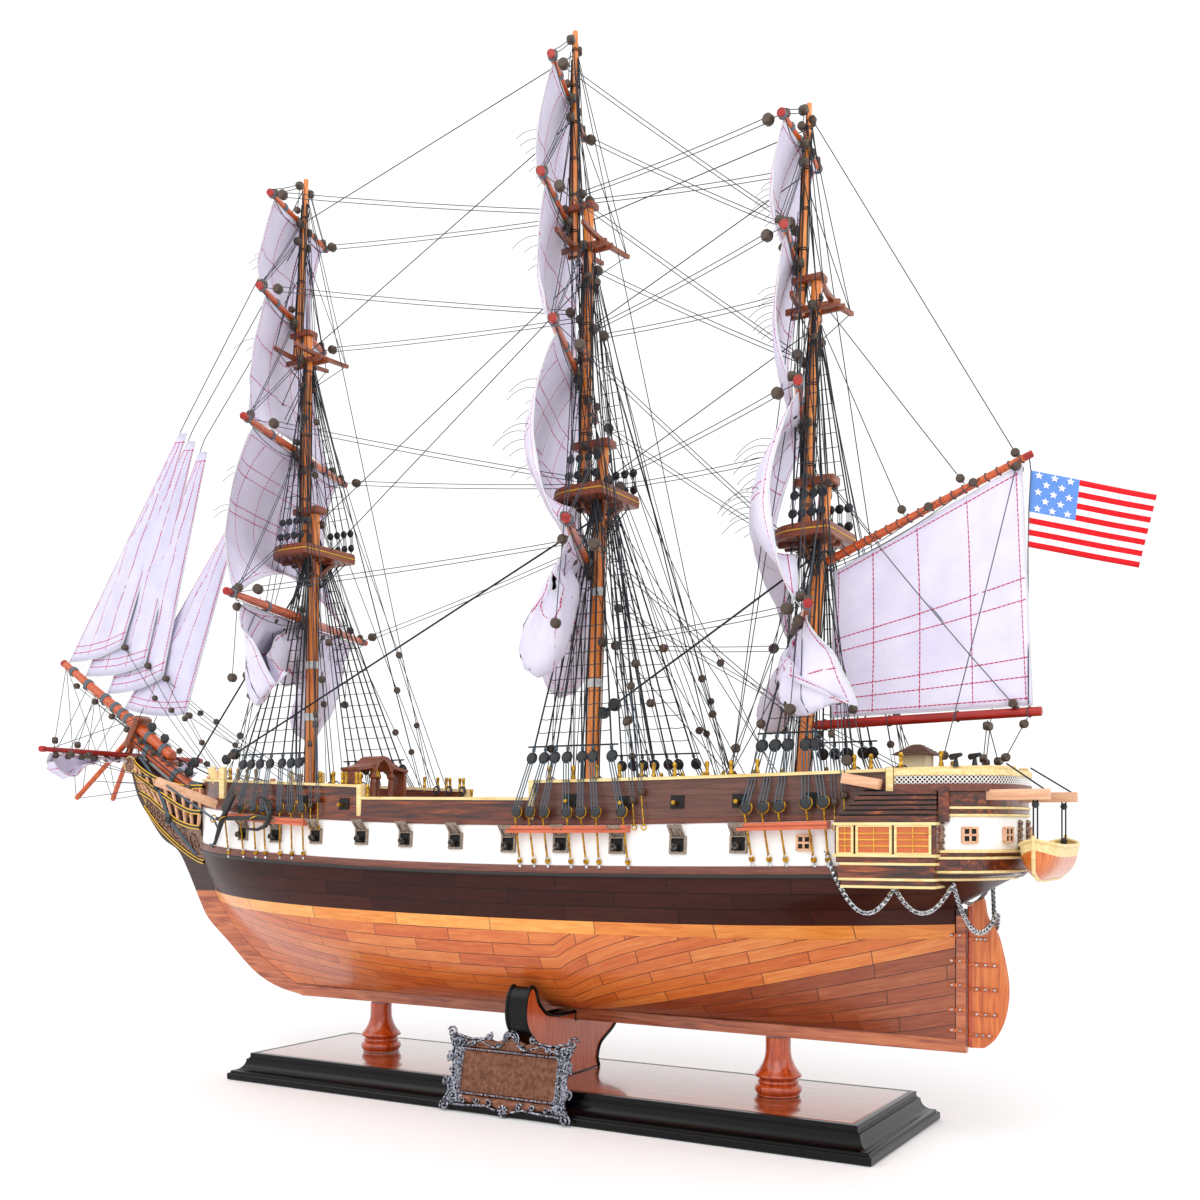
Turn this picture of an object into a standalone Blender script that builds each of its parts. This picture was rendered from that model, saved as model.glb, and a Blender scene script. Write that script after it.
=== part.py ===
"""Wooden display model of a three-masted sailing frigate, built with its stand.

+X points to the bow, +Y to port, +Z up. The origin is the centre of the stand's underside.
Sizes here are in millimetres, and every mesh is turned into metres when it is made.
"""

import math

import bmesh
import bpy
from mathutils import Matrix, Vector

# Scale and clearance
MM = 0.001
GAP = 0.35
ROUND_SIDES = 12
THIN_SIDES = 8

# Hull form, by design level: a level is a height above the stand before the sheer is added
HALF_BEAM = 57.0
POST_HALF = 2.5
RABBET_LEVEL = 54.0
WALE_LEVEL = 132.0
MIDSHIP_X = 10.0
POST_X = -232.0
STERN_X = -263.0
BOW_X = 284.0
TUCK_LEVEL = 116.0
BAND_LEVEL = 159.0
DECK_LEVEL = 160.8
BOW_STATIONS = 11
STERN_STATIONS = 14
BULWARK_THICKNESS = 2.4

# Rail heights on each deck, and the two places where the rail steps
FORECASTLE_BREAK = 104.0
QUARTERDECK_BREAK = -17.0
STEP_LENGTH = 0.4

# Keel, stem and rudder
KEEL_BOTTOM = 47.0
KEEL_HALF = 2.5
STERNPOST_AFT = -237.3
RUDDER_AXIS_X = -239.4
RUDDER_EDGE_RADIUS = 1.7
RUDDER_THICKNESS = 3.4

# Stand
BASE_BOTTOM = (416.0, 115.0)
BASE_HEIGHT = 16.0
BASE_LEDGE_HEIGHT = 4.0
NAMEPLATE_SIZE = (84.0, 2.2, 44.0)
NAMEPLATE_X = -3.0
PEDESTALS = {"pedestal_fore": 132.0, "pedestal_aft": -138.0}
CRADLE_X = -8.0
CRADLE_THICKNESS = 12.0

# Bowsprit: its axis climbs forward from the bow
BOWSPRIT_FOOT = Vector((271.0, 0.0, 165.1))
BOWSPRIT_SLOPE = math.radians(32.1)
BOWSPRIT_LENGTH = 110.0
BOWSPRIT_RADIUS = (5.0, 4.2)
JIB_BOOM_RADIUS = (4.2, 2.6)
JIB_BOOM_HEEL = 66.0
JIB_BOOM_LENGTH = 139.5

# Masts. Each stage runs from (x, z) to (x, z) with a radius at each end
MASTS = {
    "fore": {
        "lower": ((191.8, None), (188.0, 368.0), (3.9, 3.6)),
        "topmast": ((197.2, None), (193.5, 483.0), (3.3, 2.9)),
        "topgallant": ((203.0, 463.0), (195.7, 584.4), (2.7, 1.6)),
        "top": (173.8, 215.0, 24.4, 337.0),
        "cross_z": 463.0,
        "cross_half": 25.0,
    },
    "main": {
        "lower": ((-22.6, None), (-31.0, 379.0), (3.9, 3.6)),
        "topmast": ((-18.6, None), (-21.5, 515.0), (3.3, 2.9)),
        "topgallant": ((-11.6, 489.0), (-12.3, 617.3), (2.7, 1.6)),
        "top": (-42.7, -1.7, 22.5, 347.0),
        "cross_z": 489.0,
        "cross_half": 26.0,
    },
    "mizzen": {
        "lower": ((-150.2, None), (-164.8, 340.0), (3.8, 3.4)),
        "topmast": ((-153.6, None), (-159.6, 444.0), (3.1, 2.7)),
        "topgallant": ((-150.6, 426.0), (-155.3, 535.2), (2.5, 1.5)),
        "top": (-173.5, -137.5, 21.0, 310.0),
        "cross_z": 426.0,
        "cross_half": 21.0,
    },
}
TOP_THICKNESS = 4.6
CAP_THICKNESS = 4.0

# Yards: mast, stage of the mast, height, half length, brace angle with the port end aft
YARDS = {
    "fore_course_yard": ("fore", "lower", 294.3, 108.0, 19.1),
    "fore_topsail_yard": ("fore", "topmast", 405.1, 80.0, 19.4),
    "fore_topgallant_yard": ("fore", "topgallant", 493.5, 58.0, 22.5),
    "fore_royal_yard": ("fore", "topgallant", 557.9, 42.0, 17.8),
    "main_course_yard": ("main", "lower", 308.3, 115.0, 25.8),
    "main_topsail_yard": ("main", "topmast", 418.8, 86.0, 23.2),
    "main_topgallant_yard": ("main", "topgallant", 508.3, 62.0, 19.0),
    "main_royal_yard": ("main", "topgallant", 580.3, 45.0, 19.5),
    "crossjack_yard": ("mizzen", "lower", 261.2, 80.0, 23.7),
    "mizzen_topsail_yard": ("mizzen", "topmast", 371.0, 62.0, 20.6),
    "mizzen_topgallant_yard": ("mizzen", "topgallant", 454.9, 44.0, 15.0),
    "mizzen_royal_yard": ("mizzen", "topgallant", 516.6, 32.0, 3.6),
}
YARD_END_RADIUS = 1.6

# Sails
SAIL_THICKNESS = 0.8
SAIL_ROWS = 8
SAIL_COLUMNS = 6
TOPSAIL_BELLY = 24.0
TOPSAIL_ARCH = {"fore": 26.0, "main": 26.0, "mizzen": 36.0}
UPPER_BELLY = 9.0
COURSE_DROP = 46.0
COURSE_BELLY = 9.0

# Spanker gear
BOOM = (Vector((0.0, 0.0, 210.7)), Vector((-272.7, 0.0, 212.8)), (2.5, 2.3))
GAFF = (Vector((0.0, 0.0, 294.9)), Vector((-268.5, 0.0, 336.3)), (2.3, 1.8))

# Material colours: red, green, blue, roughness, metallic
MATERIALS = {
    "base_wood": (0.22, 0.035, 0.015, 0.25, 0.0),
    "pedestal_wood": (0.38, 0.07, 0.02, 0.30, 0.0),
    "cradle_wood": (0.42, 0.12, 0.03, 0.40, 0.0),
    "plate_metal": (0.30, 0.26, 0.20, 0.45, 1.0),
    "bottom_planks": (0.55, 0.20, 0.05, 0.35, 0.0),
    "keel_wood": (0.45, 0.22, 0.13, 0.40, 0.0),
    "dark_planks": (0.07, 0.02, 0.012, 0.30, 0.0),
    "deck_wood": (0.50, 0.28, 0.12, 0.50, 0.0),
    "mahogany": (0.20, 0.03, 0.015, 0.30, 0.0),
    "head_wood": (0.45, 0.25, 0.07, 0.40, 0.0),
    "cream_paint": (0.75, 0.62, 0.38, 0.45, 0.0),
    "rudder_wood": (0.50, 0.18, 0.05, 0.35, 0.0),
    "mast_wood": (0.62, 0.20, 0.03, 0.30, 0.0),
    "dark_red_wood": (0.22, 0.02, 0.015, 0.35, 0.0),
    "stay_cord": (0.03, 0.03, 0.035, 0.90, 0.0),
    "sail_cloth": (0.85, 0.84, 0.90, 0.90, 0.0),
    "flag_cloth": (0.75, 0.10, 0.12, 0.90, 0.0),
}


# Scene set-up

def clear_scene():
    for obj in list(bpy.data.objects):
        bpy.data.objects.remove(obj, do_unlink=True)


def new_collection(name):
    collection = bpy.data.collections.new(name)
    bpy.context.scene.collection.children.link(collection)
    return collection


def new_material(name):
    red, green, blue, roughness, metallic = MATERIALS[name]
    material = bpy.data.materials.new(name)
    material.use_nodes = True
    surface = material.node_tree.nodes["Principled BSDF"]
    surface.inputs["Base Color"].default_value = (red, green, blue, 1.0)
    surface.inputs["Roughness"].default_value = roughness
    surface.inputs["Metallic"].default_value = metallic
    material.diffuse_color = (red, green, blue, 1.0)
    return material


# Shared mesh helpers

def add_object(name, bm, material=None, place=None):
    """Turns a bmesh in millimetres into an object in metres, placed by the matrix `place`."""
    bmesh.ops.scale(bm, vec=(MM, MM, MM), verts=bm.verts)
    bmesh.ops.recalc_face_normals(bm, faces=bm.faces)
    mesh = bpy.data.meshes.new(name)
    bm.to_mesh(mesh)
    bm.free()
    obj = bpy.data.objects.new(name, mesh)
    if place is not None:
        obj.location = place.translation * MM
        obj.rotation_euler = place.to_euler()
    if material is None:
        obj.hide_render = True
        obj.display_type = "WIRE"
        GUIDES.objects.link(obj)
    else:
        mesh.materials.append(SURFACES[material])
        SHIP.objects.link(obj)
    return obj


def smooth(obj):
    obj.data.shade_smooth()
    obj.data.set_sharp_from_angle(angle=math.radians(35.0))
    return obj


def combine(target, operation, *others):
    """Adds one EXACT Boolean modifier for each other object, in order."""
    for number, other in enumerate(others):
        boolean = target.modifiers.new(f"{operation.lower()} {number + 1}", "BOOLEAN")
        boolean.operation = operation
        boolean.solver = "EXACT"
        boolean.object = other
    return target


def box(name, size, centre, material=None, turn=None):
    """A block about `centre`, turned by the matrix `turn`."""
    bm = bmesh.new()
    bmesh.ops.create_cube(bm, size=1.0)
    bmesh.ops.scale(bm, vec=size, verts=bm.verts)
    place = Matrix.Translation(centre)
    if turn is not None:
        place = place @ turn
    return add_object(name, bm, material, place)


def rod(name, start, end, radii, material=None, sides=ROUND_SIDES):
    """A straight tapered round bar between two points."""
    start = Vector(start)
    end = Vector(end)
    axis = end - start
    turn = axis.to_track_quat("Z", "Y").to_matrix().to_4x4()
    bm = bmesh.new()
    bmesh.ops.create_cone(
        bm, cap_ends=True, segments=sides, radius1=radii[0], radius2=radii[1],
        depth=axis.length)
    place = Matrix.Translation((start + end) / 2) @ turn
    return smooth(add_object(name, bm, material, place))


def plate(name, outline, thickness, place, material=None):
    """A flat outline, in its own XY plane, made thick and moved by the matrix `place`."""
    curve = bpy.data.curves.new(name + " outline", "CURVE")
    curve.dimensions = "2D"
    curve.fill_mode = "BOTH"
    curve.extrude = thickness / 2
    spline = curve.splines.new("POLY")
    spline.points.add(len(outline) - 1)
    for point, (x, y) in zip(spline.points, outline):
        point.co = (x, y, 0.0, 1.0)
    spline.use_cyclic_u = True
    shape = bpy.data.objects.new(name + " outline", curve)
    GUIDES.objects.link(shape)
    depsgraph = bpy.context.evaluated_depsgraph_get()
    mesh = bpy.data.meshes.new_from_object(shape.evaluated_get(depsgraph))
    bm = bmesh.new()
    bm.from_mesh(mesh)
    bmesh.ops.remove_doubles(bm, verts=bm.verts, dist=0.001)
    bpy.data.objects.remove(shape, do_unlink=True)
    bpy.data.meshes.remove(mesh)
    return add_object(name, bm, material, place)


def turned(name, profile, x, material):
    """A turned piece on the centre line. The profile lists (radius, height) from top to bottom."""
    bm = bmesh.new()
    verts = [bm.verts.new((radius * MM, 0.0, z * MM)) for radius, z in profile]
    for upper, lower in zip(verts, verts[1:]):
        bm.edges.new((upper, lower))
    mesh = bpy.data.meshes.new(name)
    bm.to_mesh(mesh)
    bm.free()
    mesh.materials.append(SURFACES[material])
    obj = bpy.data.objects.new(name, mesh)
    obj.location = (x * MM, 0.0, 0.0)
    SHIP.objects.link(obj)
    screw = obj.modifiers.new("turn", "SCREW")
    screw.steps = 20
    screw.render_steps = 20
    screw.use_merge_vertices = True
    screw.merge_threshold = 0.00001
    return obj


def loft(name, sections, material=None, paired_ends=False):
    """Joins closed sections with the same number of points.

    With paired ends, point i and point -1 - i of an end section lie on the two sides of it,
    and the end is closed with a strip between them.
    """
    bm = bmesh.new()
    rows = [[bm.verts.new(point) for point in section] for section in sections]
    count = len(rows[0])
    for row, following in zip(rows, rows[1:]):
        for i in range(count):
            j = (i + 1) % count
            bm.faces.new((row[i], row[j], following[j], following[i]))
    for end in (rows[0], rows[-1]):
        if paired_ends:
            for i in range(count // 2 - 1):
                bm.faces.new((end[i], end[i + 1], end[-2 - i], end[-1 - i]))
        else:
            bm.faces.new(end)
    return add_object(name, bm, material)


# Hull form

def clamp(value):
    return max(0.0, min(1.0, value))


def fullness(level):
    return clamp((level - RABBET_LEVEL) / (WALE_LEVEL - RABBET_LEVEL))


def bow_end(level):
    return BOW_X - 84.0 * (1.0 - fullness(level)) ** 2.2


def stern_end(level):
    overhang = clamp((level - TUCK_LEVEL) / (WALE_LEVEL - TUCK_LEVEL))
    return POST_X + (STERN_X - POST_X) * overhang


def sheer(x):
    if x > -20.0:
        return 6.8 * ((x + 20.0) / 240.0) ** 2
    return 3.0 * ((x + 20.0) / 220.0) ** 2


def height(x, level):
    return level + sheer(x) * (level - RABBET_LEVEL) / (WALE_LEVEL - RABBET_LEVEL)


def level_at(x, z):
    share = sheer(x) / (WALE_LEVEL - RABBET_LEVEL)
    return (z + RABBET_LEVEL * share) / (1.0 + share)


def half_breadth(x, level):
    """Half the hull's breadth at a place along it, from its flat keel strip up to the rail."""
    low = fullness(level)
    if level <= WALE_LEVEL:
        beam = POST_HALF + (HALF_BEAM - POST_HALF) * (1.0 - (1.0 - low) ** 2.6) ** (1.0 / 1.9)
    else:
        beam = HALF_BEAM - 4.0 * ((level - WALE_LEVEL) / 50.0) ** 1.2
    if x >= MIDSHIP_X:
        reach = (x - MIDSHIP_X) / (bow_end(level) - MIDSHIP_X)
        power = 2.2 + 3.3 * low ** 1.5
        ease = 1.35 - 0.55 * low
    else:
        reach = (MIDSHIP_X - x) / (MIDSHIP_X - stern_end(level))
        power = 2.0 + 3.0 * low ** 2 + 11.0 * low ** 10
        ease = 1.5 - 1.1 * low ** 2
    narrowing = 1.0 - 0.11 * (max(MIDSHIP_X - x, 0.0) / 242.0) ** 2
    swell = (1.0 - clamp(reach) ** power) ** ease
    return POST_HALF + (beam * narrowing - POST_HALF) * swell


def stations(level):
    """Places along the hull at one level, from the stern to the bow, closer at the ends."""
    stern = stern_end(level)
    bow = bow_end(level)
    aft = [math.sin(math.pi / 2 * k / STERN_STATIONS) for k in range(STERN_STATIONS, 0, -1)]
    fore = [math.sin(math.pi / 2 * k / BOW_STATIONS) for k in range(BOW_STATIONS + 1)]
    places = [MIDSHIP_X - (MIDSHIP_X - stern) * share for share in aft]
    places += [MIDSHIP_X + (bow - MIDSHIP_X) * share for share in fore]
    return places


def hull_layer(name, levels, material):
    """A solid slice of the hull between the first and the last level."""
    places = [stations(level) for level in levels]
    sections = []
    for number in range(len(places[0])):
        port = []
        for level, along in zip(levels, places):
            x = along[number]
            port.append((x, half_breadth(x, level), height(x, level)))
        starboard = [(x, -y, z) for x, y, z in reversed(port)]
        sections.append(port + starboard)
    return loft(name, sections, material, paired_ends=True)


def rail_top(x):
    if x > FORECASTLE_BREAK:
        return 181.0 + 0.0459 * (x - FORECASTLE_BREAK)
    if x > QUARTERDECK_BREAK:
        return 173.8 - 0.0145 * (FORECASTLE_BREAK - x)
    return 181.3 + 3.3 * ((x - QUARTERDECK_BREAK) / 246.0) ** 2


def deck_top(x):
    return height(x, DECK_LEVEL)


def plan_outline(level, extra=()):
    """The port half of the hull's outline in plan, from the bow to the stern."""
    places = sorted(set(stations(level)) | set(extra), reverse=True)
    return [Vector((x, half_breadth(x, level))) for x in places]


def inset(outline, distance):
    """Moves a port half outline inwards, keeping its ends beside the centre plane."""
    moved = []
    for number, point in enumerate(outline):
        before = outline[max(number - 1, 0)]
        after = outline[min(number + 1, len(outline) - 1)]
        if number == 0:
            before = Vector((point.x, -point.y))
        if number == len(outline) - 1:
            after = Vector((point.x, -point.y))
        along = (after - before).normalized()
        inward = Vector((along.y, -along.x))
        if inward.y > 0.0:
            inward = -inward
        if number in (0, len(outline) - 1):
            inward = Vector((-math.copysign(1.0, point.x), 0.0))
        shifted = point + inward * distance
        moved.append(Vector((shifted.x, max(shifted.y, 0.6))))
    return moved


def cathead_guide(name, side):
    """A square beam that leans out over the bow from the forecastle rail."""
    root = Vector((230.0, side * 41.0, 175.0))
    tip = Vector((268.0, side * 62.0, 190.0))
    direction = tip - root
    turn = direction.to_track_quat("X", "Z").to_matrix().to_4x4()
    return box(name, (direction.length, 5.0, 5.0), (root + tip) / 2, turn=turn)


def build_bulwark():
    """The wall above the gun band, all round the deck, with its two rail steps."""
    steps = []
    for place in (FORECASTLE_BREAK, QUARTERDECK_BREAK):
        steps += [place - STEP_LENGTH / 2, place + STEP_LENGTH / 2]
    foot_level = BAND_LEVEL + GAP
    foot_line = plan_outline(foot_level, steps)
    inner_line = inset(foot_line, BULWARK_THICKNESS)
    port = []
    for outer, inner in zip(foot_line, inner_line):
        foot = height(outer.x, foot_level)
        top = rail_top(outer.x)
        top_half = half_breadth(outer.x, level_at(outer.x, top))
        lean = min(outer.y - top_half, outer.y * 0.1)
        port.append([
            (outer.x, outer.y, foot),
            (outer.x, outer.y - lean, top),
            (inner.x, inner.y - min(lean, inner.y * 0.1), top),
            (inner.x, inner.y, foot),
        ])
    starboard = [[(x, -y, z) for x, y, z in section] for section in reversed(port)]
    sections = port + starboard
    bm = bmesh.new()
    rows = [[bm.verts.new(point) for point in section] for section in sections]
    for number, row in enumerate(rows):
        following = rows[(number + 1) % len(rows)]
        for i in range(4):
            j = (i + 1) % 4
            bm.faces.new((row[i], row[j], following[j], following[i]))
    wall = add_object("bulwark", bm, "mahogany")
    combine(wall, "DIFFERENCE", bowsprit_bore("bulwark bowsprit bore"))
    beams = []
    for side, word in ((1.0, "port"), (-1.0, "starboard")):
        beams.append(rod(
            f"{word} davit guide", (-252.0, side * 33.0, 172.0), (-281.7, side * 33.0, 172.0),
            (1.9, 1.6), sides=THIN_SIDES))
        beams.append(cathead_guide(f"{word} cathead guide", side))
    return combine(wall, "UNION", *beams)


def build_spar_deck():
    edge = inset(plan_outline(BAND_LEVEL + GAP), BULWARK_THICKNESS + GAP)
    sections = []
    for point in edge:
        foot = height(point.x, BAND_LEVEL) + GAP
        top = deck_top(point.x)
        sections.append([
            (point.x, point.y, foot), (point.x, point.y, top),
            (point.x, -point.y, top), (point.x, -point.y, foot),
        ])
    deck = loft("spar_deck", sections, "deck_wood", paired_ends=True)
    return combine(deck, "DIFFERENCE", bowsprit_bore("deck bowsprit bore"))


def side_block(name, x_from, x_to, levels, reach, side, material=None):
    """A ledge that follows the hull's side: from inside it out to `reach` beyond it."""
    count = 7
    sections = []
    for number in range(count):
        x = x_from + (x_to - x_from) * number / (count - 1)
        hull = half_breadth(x, levels[1])
        low = height(x, levels[0])
        high = height(x, levels[1])
        sections.append([
            (x, side * (hull - 4.0), low), (x, side * (hull + reach), low),
            (x, side * (hull + reach), high), (x, side * (hull - 4.0), high),
        ])
    return loft(name, sections, material)


CHANNELS = {"fore": (214.0, 142.0), "main": (-5.0, -79.0), "mizzen": (-140.0, -186.0)}


def build_gun_band():
    levels = (WALE_LEVEL - 0.2, 138.0, 148.0, BAND_LEVEL)
    band = hull_layer("gun_band", levels, "dark_planks")
    ledges = []
    for mast, (x_fore, x_aft) in CHANNELS.items():
        for side, word in ((1.0, "port"), (-1.0, "starboard")):
            ledge = side_block(
                f"{mast} {word} channel", x_fore, x_aft, (154.5, 158.2), 5.6, side)
            ledges.append(ledge)
    combine(band, "UNION", *ledges)
    return combine(band, "DIFFERENCE", bowsprit_bore("band bowsprit bore"))


# Quarter galleries: height, how far each layer stands out, and the half length of it
GALLERY_LAYERS = (
    (133.5, 1.2, 14.0), (137.0, 4.5, 17.0), (145.0, 8.5, 21.5), (159.0, 8.5, 21.5),
    (163.0, 7.0, 19.5), (169.0, 4.5, 16.0), (175.0, 1.5, 11.0),
)
GALLERY_X = -213.0


def build_gallery(name, side):
    columns = 8
    sections = []
    for z, reach, half in GALLERY_LAYERS:
        inner = []
        outer = []
        for number in range(columns + 1):
            share = 1.0 - 2.0 * number / columns
            x = GALLERY_X + half * share
            hull = half_breadth(x, level_at(x, min(z, 172.0))) + 2 * GAP
            swell = (1.0 - abs(share) ** 6) ** 0.5
            inner.append((x, side * hull, z))
            outer.append((x, side * (hull + 0.8 + (reach - 0.8) * swell), z))
        sections.append(outer + inner[::-1])
    return loft(name, sections, "mahogany", paired_ends=True)


# Keel, stem, knee of the head and figurehead in one flat timber

STRIKER_HEAD = (365.0, 2.5, 221.0)
STRIKER_TIP = (405.0, 16.0, 178.6)

STEM_OUTER = (
    (201.0, 48.0), (235.5, 57.9), (265.5, 80.2), (283.9, 94.7), (292.7, 107.6), (304.8, 128.6),
    (314.6, 141.6), (329.9, 150.0), (345.4, 166.5), (355.9, 180.3), (362.3, 197.0),
)
KNEE_TOP = ((356.0, 208.0), (350.0, 207.2), (300.0, 175.8), (287.5, 168.0))
FIGUREHEAD = (362.5, 203.0, 6.5)


def build_keel():
    inner = []
    for level in (150.0, 132.0, 124.0, 116.0, 107.0, 97.0, 86.0, 74.0, 64.0, 58.0):
        x = bow_end(level)
        inner.append((x + GAP, height(x, level)))
    rabbet = [(200.0, RABBET_LEVEL - GAP), (POST_X - GAP, RABBET_LEVEL - GAP)]
    post_top = height(POST_X, TUCK_LEVEL) - 2 * GAP
    post = [(POST_X - GAP, post_top), (STERNPOST_AFT, post_top)]
    outline = [(STERNPOST_AFT, KEEL_BOTTOM)] + list(STEM_OUTER) + list(KNEE_TOP)
    outline += inner + rabbet + post
    upright = Matrix.Rotation(math.pi / 2, 4, "X")
    timber = plate("keel", outline, 2 * KEEL_HALF, upright, "keel_wood")
    x, z, radius = FIGUREHEAD
    disc = rod("figurehead guide", (x, -3.4, z), (x, 3.4, z), (radius, radius), sides=16)
    return combine(timber, "UNION", disc)


RUDDER_OUTLINE = (
    (0.0, 119.4), (-6.0, 122.5), (-7.4, 114.0), (-10.9, 108.0), (-13.7, 101.0), (-17.4, 81.3),
    (-16.0, 66.0), (-11.5, 55.5), (-6.5, 50.5), (0.0, 49.8),
)


def build_rudder():
    """The blade's outline is measured from the hinge axis, where its origin is."""
    upright = Matrix.Translation((RUDDER_AXIS_X, 0.0, 0.0)) @ Matrix.Rotation(math.pi / 2, 4, "X")
    blade = plate("rudder", RUDDER_OUTLINE, RUDDER_THICKNESS, upright, "rudder_wood")
    foot = (RUDDER_AXIS_X, 0.0, RUDDER_OUTLINE[-1][1] + 0.2)
    head = (RUDDER_AXIS_X, 0.0, RUDDER_OUTLINE[0][1] - 0.2)
    radius = RUDDER_EDGE_RADIUS
    stock = rod("rudder edge guide", foot, head, (radius, radius), sides=16)
    return combine(blade, "UNION", stock)


# Bowsprit and jib-boom

def bowsprit_point(distance, offset=0.0):
    """A point along the bowsprit's axis, and `offset` above it square to the axis."""
    along = Vector((math.cos(BOWSPRIT_SLOPE), 0.0, math.sin(BOWSPRIT_SLOPE)))
    across = Vector((-math.sin(BOWSPRIT_SLOPE), 0.0, math.cos(BOWSPRIT_SLOPE)))
    return BOWSPRIT_FOOT + along * distance + across * offset


JIB_OFFSET = BOWSPRIT_RADIUS[0] + JIB_BOOM_RADIUS[0] - 0.3


def bowsprit_bore(name):
    radius = BOWSPRIT_RADIUS[0] + GAP
    return rod(name, bowsprit_point(-1.0), bowsprit_point(40.0), (radius, radius))


def build_bowsprit():
    spar = rod(
        "bowsprit", bowsprit_point(0.0), bowsprit_point(BOWSPRIT_LENGTH), BOWSPRIT_RADIUS,
        "mast_wood")
    cap = box(
        "bowsprit cap guide", (6.0, 12.4, 25.0), bowsprit_point(BOWSPRIT_LENGTH - 3.5, 5.4),
        turn=Matrix.Rotation(-BOWSPRIT_SLOPE, 4, "Y"))
    hole = JIB_BOOM_RADIUS[0] + GAP
    bore = rod(
        "jib-boom bore", bowsprit_point(BOWSPRIT_LENGTH - 12.0, JIB_OFFSET),
        bowsprit_point(BOWSPRIT_LENGTH + 8.0, JIB_OFFSET), (hole, hole))
    strikers = []
    for side, word in ((1.0, "port"), (-1.0, "starboard")):
        tip = (STRIKER_TIP[0], side * STRIKER_TIP[1], STRIKER_TIP[2])
        head = (STRIKER_HEAD[0], side * STRIKER_HEAD[1], STRIKER_HEAD[2])
        strikers.append(rod(f"{word} striker guide", head, tip, (1.8, 1.9), sides=THIN_SIDES))
    combine(spar, "UNION", cap, *strikers)
    return combine(spar, "DIFFERENCE", bore)


def build_jib_boom():
    return rod(
        "jib_boom", bowsprit_point(JIB_BOOM_HEEL, JIB_OFFSET),
        bowsprit_point(JIB_BOOM_HEEL + JIB_BOOM_LENGTH, JIB_OFFSET), JIB_BOOM_RADIUS, "mast_wood")


# Masts

def mast_foot(mast, stage):
    """The height where a stage starts: the deck for a lower mast, the top for a topmast."""
    (x, z), _, _ = MASTS[mast][stage]
    if stage == "lower":
        return deck_top(x) + 2 * GAP
    if stage == "topmast":
        return MASTS[mast]["top"][3] + TOP_THICKNESS / 2 + GAP
    return z


def mast_at(mast, stage, z):
    """The axis position and the radius of one stage at a height."""
    (x_foot, _), (x_head, z_head), (r_foot, r_head) = MASTS[mast][stage]
    z_foot = mast_foot(mast, stage)
    share = (z - z_foot) / (z_head - z_foot)
    return x_foot + (x_head - x_foot) * share, r_foot + (r_head - r_foot) * share


def stage_rod(name, mast, stage, material=None):
    (x_foot, _), (x_head, z_head), radii = MASTS[mast][stage]
    foot = (x_foot, 0.0, mast_foot(mast, stage))
    return rod(name, foot, (x_head, 0.0, z_head), radii, material)


def top_outline(x_aft, x_fore, half):
    """A platform with a straight after edge and a rounded front."""
    straight = x_aft + (x_fore - x_aft) * 0.45
    outline = [(x_aft, -half), (straight, -half)]
    for number in range(1, 8):
        angle = math.pi * (number / 8.0 - 0.5)
        outline.append((straight + (x_fore - straight) * math.cos(angle), half * math.sin(angle)))
    return outline + [(straight, half), (x_aft, half)]


def build_lower_mast(mast):
    spar = stage_rod(f"{mast}_lower_mast", mast, "lower", "mast_wood")
    x_aft, x_fore, half, z = MASTS[mast]["top"]
    place = Matrix.Translation((0.0, 0.0, z))
    platform = plate(f"{mast} top guide", top_outline(x_aft, x_fore, half), TOP_THICKNESS, place)
    length = (x_fore - x_aft) * 0.8
    trestle = box(
        f"{mast} trestle guide", (length, 11.0, 4.6),
        ((x_aft + x_fore) / 2, 0.0, z - TOP_THICKNESS / 2 - 2.0))
    cap_z = MASTS[mast]["lower"][1][1] - 3.0
    x_mast, _ = mast_at(mast, "lower", cap_z)
    x_topmast, radius = mast_at(mast, "topmast", cap_z)
    cap_from = x_mast - 6.0
    cap_to = x_topmast + 6.0
    cap = box(
        f"{mast} cap guide", (cap_to - cap_from, 11.0, CAP_THICKNESS),
        ((cap_from + cap_to) / 2, 0.0, cap_z))
    hole = radius + GAP + 0.1
    bore = rod(
        f"{mast} cap bore", (x_topmast, 0.0, cap_z - 8.0), (x_topmast, 0.0, cap_z + 8.0),
        (hole, hole))
    combine(spar, "UNION", platform, trestle, cap)
    return combine(spar, "DIFFERENCE", bore)


def build_topmast(mast):
    """Topmast and topgallant mast, held together by the crosstrees and the upper cap."""
    spar = stage_rod(f"{mast}_topmast", mast, "topmast", "mast_wood")
    upper = stage_rod(f"{mast} topgallant guide", mast, "topgallant")
    cross_z = MASTS[mast]["cross_z"]
    half = MASTS[mast]["cross_half"]
    x_lower, _ = mast_at(mast, "topmast", cross_z)
    x_upper, _ = mast_at(mast, "topgallant", cross_z)
    middle = (x_lower + x_upper) / 2
    trees = box(
        f"{mast} trestle tree guide", (30.0, 8.0, 3.6), (middle - 4.0, 0.0, cross_z + 1.2))
    bars = []
    for number, offset in enumerate((-14.0, 3.5)):
        bar = box(
            f"{mast} crosstree guide {number + 1}", (3.0, 2 * half, 2.4),
            (middle + offset, 0.0, cross_z + 3.6))
        bars.append(bar)
    cap_z = MASTS[mast]["topmast"][1][1] - 1.0
    x_cap_lower, _ = mast_at(mast, "topmast", cap_z)
    x_cap_upper, _ = mast_at(mast, "topgallant", cap_z)
    cap = box(
        f"{mast} upper cap guide", (x_cap_upper - x_cap_lower + 9.0, 8.4, 3.4),
        ((x_cap_lower + x_cap_upper) / 2, 0.0, cap_z))
    return combine(spar, "UNION", upper, trees, *bars, cap)


# Yards and their sails

def yard_radius(half_length):
    return 0.8 + 0.021 * half_length


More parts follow.
